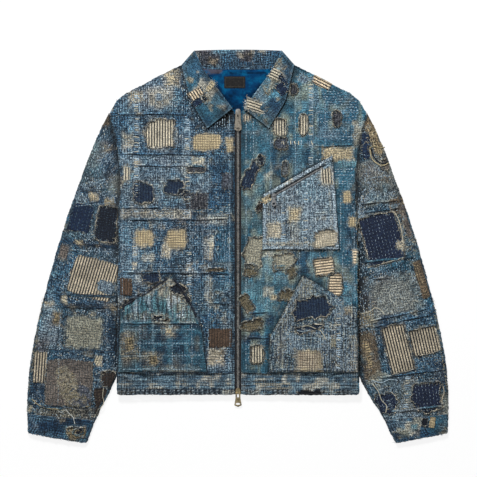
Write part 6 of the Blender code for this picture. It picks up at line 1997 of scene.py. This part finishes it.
def on_front(side):
    """Test for the part of a front that shows: clear of the zip, the seams, the pockets and the collar."""
    def test(x, y):
        inside = (x * side > 15.0) & (np.abs(x) < side_x(y) - 3.5) & (y < shoulder_y(x) - 4.0)
        inside &= (y > BAND_TOP_Y + 3.0) & ~under_collar(x, y)
        inside &= inside_outline(x, y, HAND_POCKETS[side]) < -2.0
        if side > 0:
            inside &= inside_outline(x, y, CHEST_POCKET) < -2.0
        return inside
    return test


def in_pocket(outline):
    """Test for the part of a hand pocket inside its hems."""
    return lambda x, y: inside_outline(x, y, outline) > 3.0


def on_sleeve(side):
    """Test for the part of a sleeve that shows beside the body."""
    def test(x, y):
        inner = np.maximum(sleeve_edge(y, "inner") + 6.0, side_x(y) + 3.0)
        return (x * side > inner) & (x * side < sleeve_edge(y, "outer") - 6.0) & (y > -322.0) & (y < 236.0)
    return test


def in_chest_pocket(x, y):
    """Whether plan points are on the chest pocket, clear of its edges and its zip."""
    off = np.abs((y - ZIP_START[1]) * ZIP_RUN[0] - (x - ZIP_START[0]) * ZIP_RUN[1])
    return (inside_outline(x, y, CHEST_POCKET) > 3.0) & (off > 4.6)


# ================================================================ zips
def build_zips():
    """Tapes and teeth of the centre zip, and of the chest pocket's zip."""
    black, dust = linear(30, 30, 34), linear(92, 92, 92)

    def weave(name, node, plan, z, rests_on, thick, turn_in):
        colours = [np.broadcast_to(colour, z.shape + (3,)) for colour in (black, dust, NO_FIGURE)]
        sew_panel(name, node, plan, z, colours, rests_on, thick, turn_in, "woven_tape", "zip_tape")

    px, py = np.meshgrid([3.1, 3.9, 6.0, 9.0, 12.0, 15.2, 16.0], np.arange(-289.0, 258.1, 2.4))
    z = front_top(px, py) - CLOTH - SEAM - 0.8 + 0.8 + 0.8 * bell(px - 3.4, 0.8) * 0.6
    for side, word in SIDES.items():
        plan = mirrored(np.stack([px, py], axis=-1), side)
        weave(f"zip_tape_{word}_woven", f"zip_tape_{word}", plan, z[:, ::side], [f"front_{word}_cloth"],
              0.8, 0.15)
    add_teeth("zip_teeth", "zip_chain", np.array([0.0, -283.6]), np.array([0.0, 258.0]), 2.25, 2.3, 1.0, 2.1,
              lambda x, y: front_top(np.full_like(y, 6.5), y) - CLOTH - SEAM - 0.4, "zip_steel")
    reach = np.linspace(-2.5, ZIP_LENGTH + 2.5, 62)
    off = np.array([-9.0, -6.0, -3.0, -1.6, 0.0, 1.6, 3.0, 6.0, 9.0])
    plan = ZIP_START + ZIP_RUN * reach[None, :, None] + ZIP_SIDE * off[:, None, None]
    weave("chest_zip_tape_woven", "chest_zip_tape", plan, front_top(*xy(plan)) + 0.9, ["front_left_cloth"],
          0.6, 0.1)
    start, end = (ZIP_START + ZIP_RUN * reach for reach in (5.0, ZIP_LENGTH))
    add_teeth("chest_zip_teeth", "chest_zip_chain", start, end, 1.9, 1.7, 0.9, 1.3,
              lambda x, y: front_top(x, y) + 1.2 + 0.65, "chest_steel")


def add_teeth(name, node, start, end, pitch, half, thick, high, middle, finish):
    """Two rows of teeth that mesh: each a bevelled block from the tape's edge to just past the middle, the
    rows half a pitch apart, on a corded edge either side."""
    length = float(np.linalg.norm(end - start))
    run = (end - start) / length
    side = np.array([-run[1], run[0]])
    one = np.concatenate([grid_faces(3, 4, wrap=True)[:, ::-1], [[1, 2, 3, 0], [11, 10, 9, 8]]])
    batch = Batch()
    for way, first in ((-1.0, 0.5), (1.0, 1.0)):
        at = np.arange(pitch * first, length, pitch)
        base = middle(start[0] + run[0] * at, start[1] + run[1] * at)[:, None]
        rings = []
        for off, wide, tall in ((1.0, 0.5, 0.5), (0.35, 0.5, 0.5), (-0.12, 0.36, 0.36)):
            forward = at[:, None] + np.array([-1, 1, 1, -1]) * wide * thick
            x, y = (start[k] + run[k] * forward + side[k] * way * off * half for k in (0, 1))
            rings.append(np.stack([x, y, base + np.array([-1, -1, 1, 1]) * high * tall], axis=-1))
        points = np.stack(rings, axis=1)
        faces = (one[None] + 12 * np.arange(len(at))[:, None, None]).reshape(-1, 4)
        batch.add(points, faces if way < 0 else faces[:, ::-1], points[..., :2], (0.5, 0.5, 0.5))
    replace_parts(batch.make(name, FINISHES[finish], "zip_metal", sharp=30.0), node)


# ================================================================ fringes
def fringe(batch, skin, points, way, count, length, colours, seed, curl=0.5, width=0.55, rise=0.8, low=0.12):
    """Loose yarns that leave a line of cloth edge in about one direction."""
    rng = np.random.default_rng(seed)
    line = along(points, 200)
    pick = rng.integers(0, 200, count)
    x, y = line[pick, 0] + rng.normal(0, 0.8, count), line[pick, 1] + rng.normal(0, 0.8, count)
    angle = math.radians(way) + rng.normal(0, 0.5, count)
    add_yarns(batch, skin, x, y, angle, rng.uniform(0.5, 1.0, count) * length,
              thread_colours(rng, colours, count), rng, curl, width, rise, low)


Fringe = namedtuple("Fringe", "x0 y0 x1 y1 way count length colours curl")
FRINGES = {
    "front_left": rows(Fringe, """
        112 -286 166 -286 -90 90 5 ink,navy,charcoal .5; 12 -287 110 -287 -90 50 4 ash,chalk,navy .6;
        168 -287 232 -287 -90 40 4 ash,steel,navy .6; 84 -8 196 -8 -90 60 4 cream,chalk,steel .6;
        103 345 238 281 60 46 5 steel,navy,ash .6; 232 -236 232 60 0 60 4 steel,tan,cream .7;"""),
    "front_right": rows(Fringe, """
        -230 -287 -14 -287 -90 90 4 ash,chalk,steel .6; -238 281 -103 345 120 50 5 steel,navy,ash .6;
        -233 -236 -231 60 180 60 4 steel,ash,navy .7;"""),
    "pocket_left": rows(Fringe, """
        124 -158 171 -180 -70 60 7 cream,chalk,ash .5; 62 -180 127 -60 120 26 4 steel,cream .6;
        127 -58 231 -121 60 40 4 steel,ash,navy .6;"""),
    "pocket_right": rows(Fringe, """
        -229 -121 -130 -58 120 50 4 tan,cream,steel .6; -73 -156 -106 -89 40 20 4 steel,cream .6;"""),
    "pocket_chest": rows(Fringe, """
        52 0 194 0 -90 50 4 cream,chalk,steel .6; 50 104 182 178 110 46 3.5 ash,steel,navy .6;"""),
    "sleeve_right": rows(Fringe, """
        -404 -312 -410 -322 -100 26 9 cream,tan,white .9; -302 132 -366 -60 200 80 5 steel,ash,navy .7;
        -380 -100 -408 -280 190 80 5 steel,cream,tan .7; -286 -318 -402 -312 -90 50 5 tan,cream,steel .8;"""),
    "sleeve_left": rows(Fringe, """
        318 -32 322 60 30 46 5 cream,chalk .6; 302 132 366 -60 -20 80 5 steel,ash,navy .7;
        380 -100 408 -280 -10 80 5 steel,cream,tan .7; 286 -318 402 -312 -90 50 5 tan,cream,steel .8;
        344 -268 400 -268 60 30 5 cream,steel .8;"""),
    "cuff_right": rows(Fringe, """
        -304 -382 -408 -364 -100 46 4 steel,ash,navy .6; -334 -358 -300 -372 -80 26 6 cream,chalk .8;"""),
    "cuff_left": rows(Fringe, """
        304 -382 408 -364 -80 46 4 steel,ash,navy .6; 300 -362 334 -356 -90 22 5 cream,chalk .8;"""),
}


Tangle = namedtuple("Tangle", "x y wide high turn count length colours curl")
TANGLES = {
    "sleeve_right": rows(Tangle, """
        -334 -268 20 36 20 420 9 cream,oat,cream,tan 1.3; -318 -300 24 14 0 110 10 tan,cream,olive 1.2;
        -345 -318 60 7 2 120 8 cream,pale,tan,ink 1.0; -286 150 26 46 -20 160 6 ash,ink,chalk 1.1;
        -306 -168 40 38 -4 120 4 tan,cream,charcoal 1.0;"""),
    "sleeve_left": rows(Tangle, """
        268 200 20 30 16 160 7 tan,cream,umber 1.2; 334 30 22 44 18 120 7 tan,cream,umber 1.1;
        300 -300 30 30 0 160 9 ash,chalk,ink 1.2; 280 128 40 44 14 160 5 ash,ink,chalk 1.1;
        300 -100 44 40 10 140 5 ash,ink,chalk 1.1; 345 -322 60 7 2 120 8 cream,pale,tan,ink 1.0;"""),
}


def add_tangles(area, skin, batch, inside):
    """Loose yarns scattered and curled over oval places."""
    for k, g in enumerate(TANGLES.get(area, ())):
        rng = np.random.default_rng(700 + 17 * k + len(area))
        reach, angle = np.sqrt(rng.random(g.count)), rng.uniform(0, TURN, g.count)
        x, y = placed(g, reach * np.cos(angle) * g.wide, reach * np.sin(angle) * g.high)
        shown = inside(x, y)
        n = int(shown.sum())
        angle, length = rng.uniform(0, TURN, n), rng.uniform(0.5, 1.0, n) * g.length
        add_yarns(batch, skin, x[shown], y[shown], angle, length, thread_colours(rng, g.colours, n), rng,
                  g.curl, 0.7, 1.0)


def add_fringes(area, skin, batch):
    """The frayed edges of an area, from its table."""
    for k, f in enumerate(FRINGES.get(area, ())):
        fringe(batch, skin, [(f.x0, f.y0), (f.x1, f.y1)], f.way, 2 * f.count, f.length, f.colours,
               900 + 13 * k + len(area), f.curl)


def long_yarn(name, skin, points, wide, colour, lift=0.7):
    """One long loose yarn, a tube of six sides, in the curve through the given points: at share f between
    two of them, p1 and p2, half of 2 p1 + (p2 - p0) f + (2 p0 - 5 p1 + 4 p2 - p3) f f + (3 p1 - p0 - 3 p2 +
    p3) f f f."""
    points, count = np.asarray(points, float), 44
    t = np.linspace(0, len(points) - 1, count)
    k = np.clip(t.astype(int), 0, len(points) - 2)
    padded = np.concatenate([[2 * points[0] - points[1]], points, [2 * points[-1] - points[-2]]])
    f = (t - k)[:, None]
    p0, p1, p2, p3 = (padded[k + ahead] for ahead in range(4))
    plan = 0.5 * (2 * p1 + (p2 - p0) * f + (2 * p0 - 5 * p1 + 4 * p2 - p3) * f ** 2
                  + (3 * p1 - p0 - 3 * p2 + p3) * f ** 3)
    way = np.gradient(plan, axis=0)
    way = way / np.linalg.norm(way, axis=1, keepdims=True)
    angle = np.linspace(0, TURN, 6, endpoint=False)
    thick = np.full((count, 1), wide / 2)
    thick[[0, -1]] = 0.0
    off, up = np.cos(angle) * thick, np.sin(angle) * thick
    batch = Batch()
    x, y = (plan[:, k, None] + aside * off for k, aside in enumerate((-way[:, 1:], way[:, :1])))
    z = skin.at(*xy(plan))[:, None] + lift + up
    batch.add_grid(x, y, z, (angle, reach_along(plan)[:, None]), colour, wrap=True)
    return batch.make(name, FINISHES["thread"], "striped_cloth")


# ================================================================ the scene
def build_stage():
    """A floor that keeps the jacket's shadow: seen straight on it passes into plain white light."""
    half, low = 4.0, -0.0004
    mesh = bpy.data.meshes.new("floor")
    corners = [(-half, -half, low), (half, -half, low), (half, half, low), (-half, half, low)]
    mesh.from_pydata(corners, [], [(0, 1, 2, 3)])
    floor = bpy.data.objects.new("floor", mesh)
    bpy.context.scene.collection.objects.link(floor)
    f = Finish("floor_white", Roughness=0.9, Specular_IOR_Level=0.0)
    fine = f.noise(f.node("ShaderNodeTexCoord", {}, output="Object"), 90.0)
    f.connect("Base Color", f.mix((0.86, 0.86, 0.86, 1.0), (0.9, 0.9, 0.9, 1.0), fine))
    rays = f.tree.nodes.new("ShaderNodeLightPath").outputs
    kinds = ("Camera", "Glossy", "Transmission")
    camera, glossy, through = (Value(f.tree, rays[f"Is {kind} Ray"]) for kind in kinds)
    seen = camera.highest(glossy).highest(through)
    white = f.node("ShaderNodeEmission", {}, {"Color": (1.0, 1.0, 1.0, 1.0), "Strength": 1.06})
    both = f.node("ShaderNodeMixShader", {}, {0: seen * 0.8, 1: Value(f.tree, f.shader.outputs[0]), 2: white})
    f.tree.links.new(both.socket, f.tree.nodes["Material Output"].inputs["Surface"])
    mesh.materials.append(f.material)


def add_area_light(name, place, aim, size, power, colour=(1.0, 1.0, 1.0)):
    """A round light that faces a point: tilted by the angle whose tangent is flat distance over drop."""
    lamp = bpy.data.lights.new(name, "AREA")
    lamp.shape, lamp.size, lamp.energy, lamp.color = "DISK", size, power, colour
    made = bpy.data.objects.new(name, lamp)
    made.location = place
    way = np.array(aim, float) - np.array(place, float)
    flat = math.hypot(way[0], way[1])
    made.rotation_euler = (math.atan2(flat, -way[2]), 0.0, math.atan2(way[1], way[0]) - math.pi / 2)
    bpy.context.scene.collection.objects.link(made)


def build_lights():
    """A pale room, a key light from beyond the collar and a weak, wide fill from the hem's side."""
    world = bpy.data.worlds.new("studio")
    world.use_nodes = True
    world.node_tree.nodes["Background"].inputs["Color"].default_value = (1.0, 1.0, 1.0, 1.0)
    world.node_tree.nodes["Background"].inputs["Strength"].default_value = 0.22
    bpy.context.scene.world = world
    add_area_light("key", (-0.7, 2.5, 2.0), (0.0, 0.0, 0.0), 0.6, 122.0)
    add_area_light("fill", (0.9, -1.6, 2.6), (0.0, 0.0, 0.0), 2.0, 10.0)


def build_camera():
    """A long lens, looking straight down on the jacket."""
    camera = bpy.data.cameras.new("camera")
    camera.sensor_width, camera.lens, camera.clip_end = 36.0, 231.8, 30.0
    made = bpy.data.objects.new("camera", camera)
    made.location = (0.000975, 0.0151, 6.0)
    bpy.context.scene.collection.objects.link(made)
    bpy.context.scene.camera = made


METALS = {              # colour, worn colour and roughness
    "zip_steel": ((0.74, 0.72, 0.68), (0.3, 0.29, 0.27), 0.36),
    "chest_steel": ((0.62, 0.63, 0.64), (0.26, 0.27, 0.28), 0.3),
    "zip_warm": ((0.55, 0.50, 0.42), (0.22, 0.20, 0.17), 0.36),
    "zip_brass": ((0.56, 0.46, 0.28), (0.22, 0.18, 0.10), 0.36),
}
FINISHES = {"boro_cloth": boro_cloth(), "thread": thread(), "lining_cloth": lining_cloth(),
            "woven_tape": woven_tape()}
FINISHES.update((name, zip_metal(name, *look)) for name, look in METALS.items())

def fold_front_edges(cloths, side, word):
    """A front's folded edges: up its side, along the shoulder, at the hem and at the hem band's seam."""
    ground = GROUNDS[f"front_{word}"]
    shoulder = [(side * x, y - 0.4) for x, y in SHOULDER_LINE]
    hem = [(side * 8.0, HEM_Y + 0.6), (side * (HEM_X - 1.0), HEM_Y + 0.6)]
    band = [(side * 8.0, BAND_TOP_Y - 0.6), (side * (HEM_X - 2.0), BAND_TOP_Y - 0.6)]
    for k, (edge, sunk, colours, radius) in enumerate((
            (side_edge(HEM_Y, 252.0) * np.array([side, 1.0]), 1.2, ground, 1.7), (shoulder, 2.2, ground, 1.7),
            (hem, 1.6, band_ground, 1.7), (band, 0.4, ground, 1.2))):
        edge = np.asarray(edge, float)
        lumpy_edge(cloths, edge, SKINS["body"].at(*edge.T) - sunk, colours, 540 + 5 * k + side, radius)


Pucker = namedtuple("Pucker", "radius line")
PUCKERS = rows(Pucker, """
    1.9 -226,-119,-206,-107,-180,-91,-156,-75,-136,-62;
    2.2 -128,-62,-116,-76,-105,-92,-94,-112,-84,-132,-74,-152; 2.4 -216,-108,-202,-100,-190,-94;""")


def gather_pocket(cloths):
    """The dark gathered edges of the checked pocket, on the wearer's right: dark cloth that also stands in
    for the shadow along its openings.
    """
    for k, pucker in enumerate(PUCKERS):
        line = np.array(pucker.line, float).reshape(-1, 2)
        # ink tubes along the openings, partly painted shadow
        lumpy_edge(cloths, line, SKINS["body"].at(*line.T) + 0.3, lambda x, y: paint(x, y, "ink", (), 570),
                   560 + k, pucker.radius)


def fold_sleeve_edges(cloths, side, word):
    """The armhole's seam, and a sleeve's folded edges: down its outer side, down its inner side beside the
    body, and at the cuff's end."""
    sew_armhole(cloths, side, word)
    outer = [(side * (r.outer_x - 1.0), r.outer_y) for r in SLEEVE + CUFF[1:]]
    lumpy_edge(cloths, outer, [r.edge / 2 + 0.8 for r in SLEEVE], GROUNDS[f"sleeve_{word}"], 510 + side)
    inner = [(side * (r.inner_x + 1.2) + 6.0 * min(max((-270.0 - r.inner_y) / 110.0, 0.0), 1.0), r.inner_y)
             for r in SLEEVE[10:] + CUFF[1:]]
    lumpy_edge(cloths, inner, [3.4, 3.4], GROUNDS[f"sleeve_{word}"], 520 + side)
    last = CUFF[2]
    end = [(side * (last.inner_x + 2) + 6.0, last.inner_y + 1.0),
           (side * (last.outer_x - 2), last.outer_y + 1.0)]
    lumpy_edge(cloths, end, [4.4, 4.4], GROUNDS[f"cuff_{word}"], 530 + side, 1.9)


LongYarn = namedtuple("LongYarn", "name area wide colour line")
# the ink yarn beside the tan shoulder loop is painted shadow, a dark yarn where the loop's shadow falls
LONG_YARNS = rows(LongYarn, """
    slit_yarn body 1.5 cream 124,-158,136,-155,150,-160,160,-164,166,-172,172,-182;
    slit_yarn_low body 1.0 chalk 112,-163,124,-166,140,-165,154,-171;
    shoulder_loop sleeve_left 2.6 tan 257,190,261,172,272,161,284,158,294,163;
    shoulder_loop_dark sleeve_left 2.6 ink 261,190,265,175,274,165,285,161,294,166;
    shoulder_loop_high sleeve_left 2.4 olive 256,190,264,195,276,192,287,193;
    bicep_edge sleeve_left 2.2 oat 306,66,314,50,319,30,322,8,321,-10;
    bicep_low sleeve_left 1.3 cream 252,-42,268,-38,286,-33,304,-27;
    elbow_yarn sleeve_left 1.4 cream 240,-132,256,-128,268,-120,280,-126,286,-134;
    wrist_yarn sleeve_left 1.6 cream 262,-268,274,-284,280,-300,290,-312,288,-326;
    wrist_yarn_high sleeve_left 1.4 chalk 262,-262,280,-266,296,-260,312,-262;
    wrist_edge sleeve_left 1.7 oat 400,-272,402,-286,398,-300,400,-314;
    cuff_yarn sleeve_right 1.3 white -336,-318,-330,-326,-322,-334,-318,-348;
    cuff_yarn_side sleeve_right 1.1 white -336,-318,-344,-324,-352,-321;
    cuff_edge sleeve_right 1.6 tan -402,-298,-390,-309,-372,-316,-350,-318;
    inner_yarn sleeve_right 1.4 oat -262,-276,-264,-292,-262,-306,-270,-318;""")
PULL_FINISHES = {"chest_pull": "chest_steel", "chest_slider": "chest_steel", "zip_pull_low": "zip_brass",
                 "zip_pull_top": "zip_warm", "zip_slider_low": "zip_brass", "zip_slider_top": "zip_steel"}

build_camera()
build_lights()
build_stage()
build_body()
for side, word in SIDES.items():
    dress(f"front_{word}", SKINS["body"], on_front(side), lambda cloths: fold_front_edges(cloths, side, word))
build_pockets()
for side, word in SIDES.items():
    dress(f"pocket_{word}", SKINS["body"], in_pocket(HAND_POCKETS[side]), gather_pocket if side < 0 else None)
dress("pocket_chest", SKINS["body"], in_chest_pocket, patches=PATCHES["pocket_chest"] + TACKS)
build_sleeves()
for side, word in SIDES.items():
    sleeve = SKINS[f"sleeve_{word}"]
    dress(f"sleeve_{word}", sleeve, on_sleeve(side), lambda cloths: fold_sleeve_edges(cloths, side, word))
    dress(f"cuff_{word}", sleeve, on_sleeve(side))
for yarn in LONG_YARNS:
    line = np.array(yarn.line, float).reshape(-1, 2)
    long_yarn(yarn.name, SKINS[yarn.area], line, yarn.wide, COLOURS[yarn.colour])
build_collar()
for word in SIDES.values():
    dress(f"collar_{word}", SKINS[f"collar_{word}"], lambda x, y: np.ones(len(x), bool))
build_zips()
for node, finish in PULL_FINISHES.items():
    for slot in bpy.data.objects[node].material_slots:
        slot.material = FINISHES[finish]
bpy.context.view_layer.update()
scene = bpy.context.scene
scene.view_settings.view_transform = "Standard"
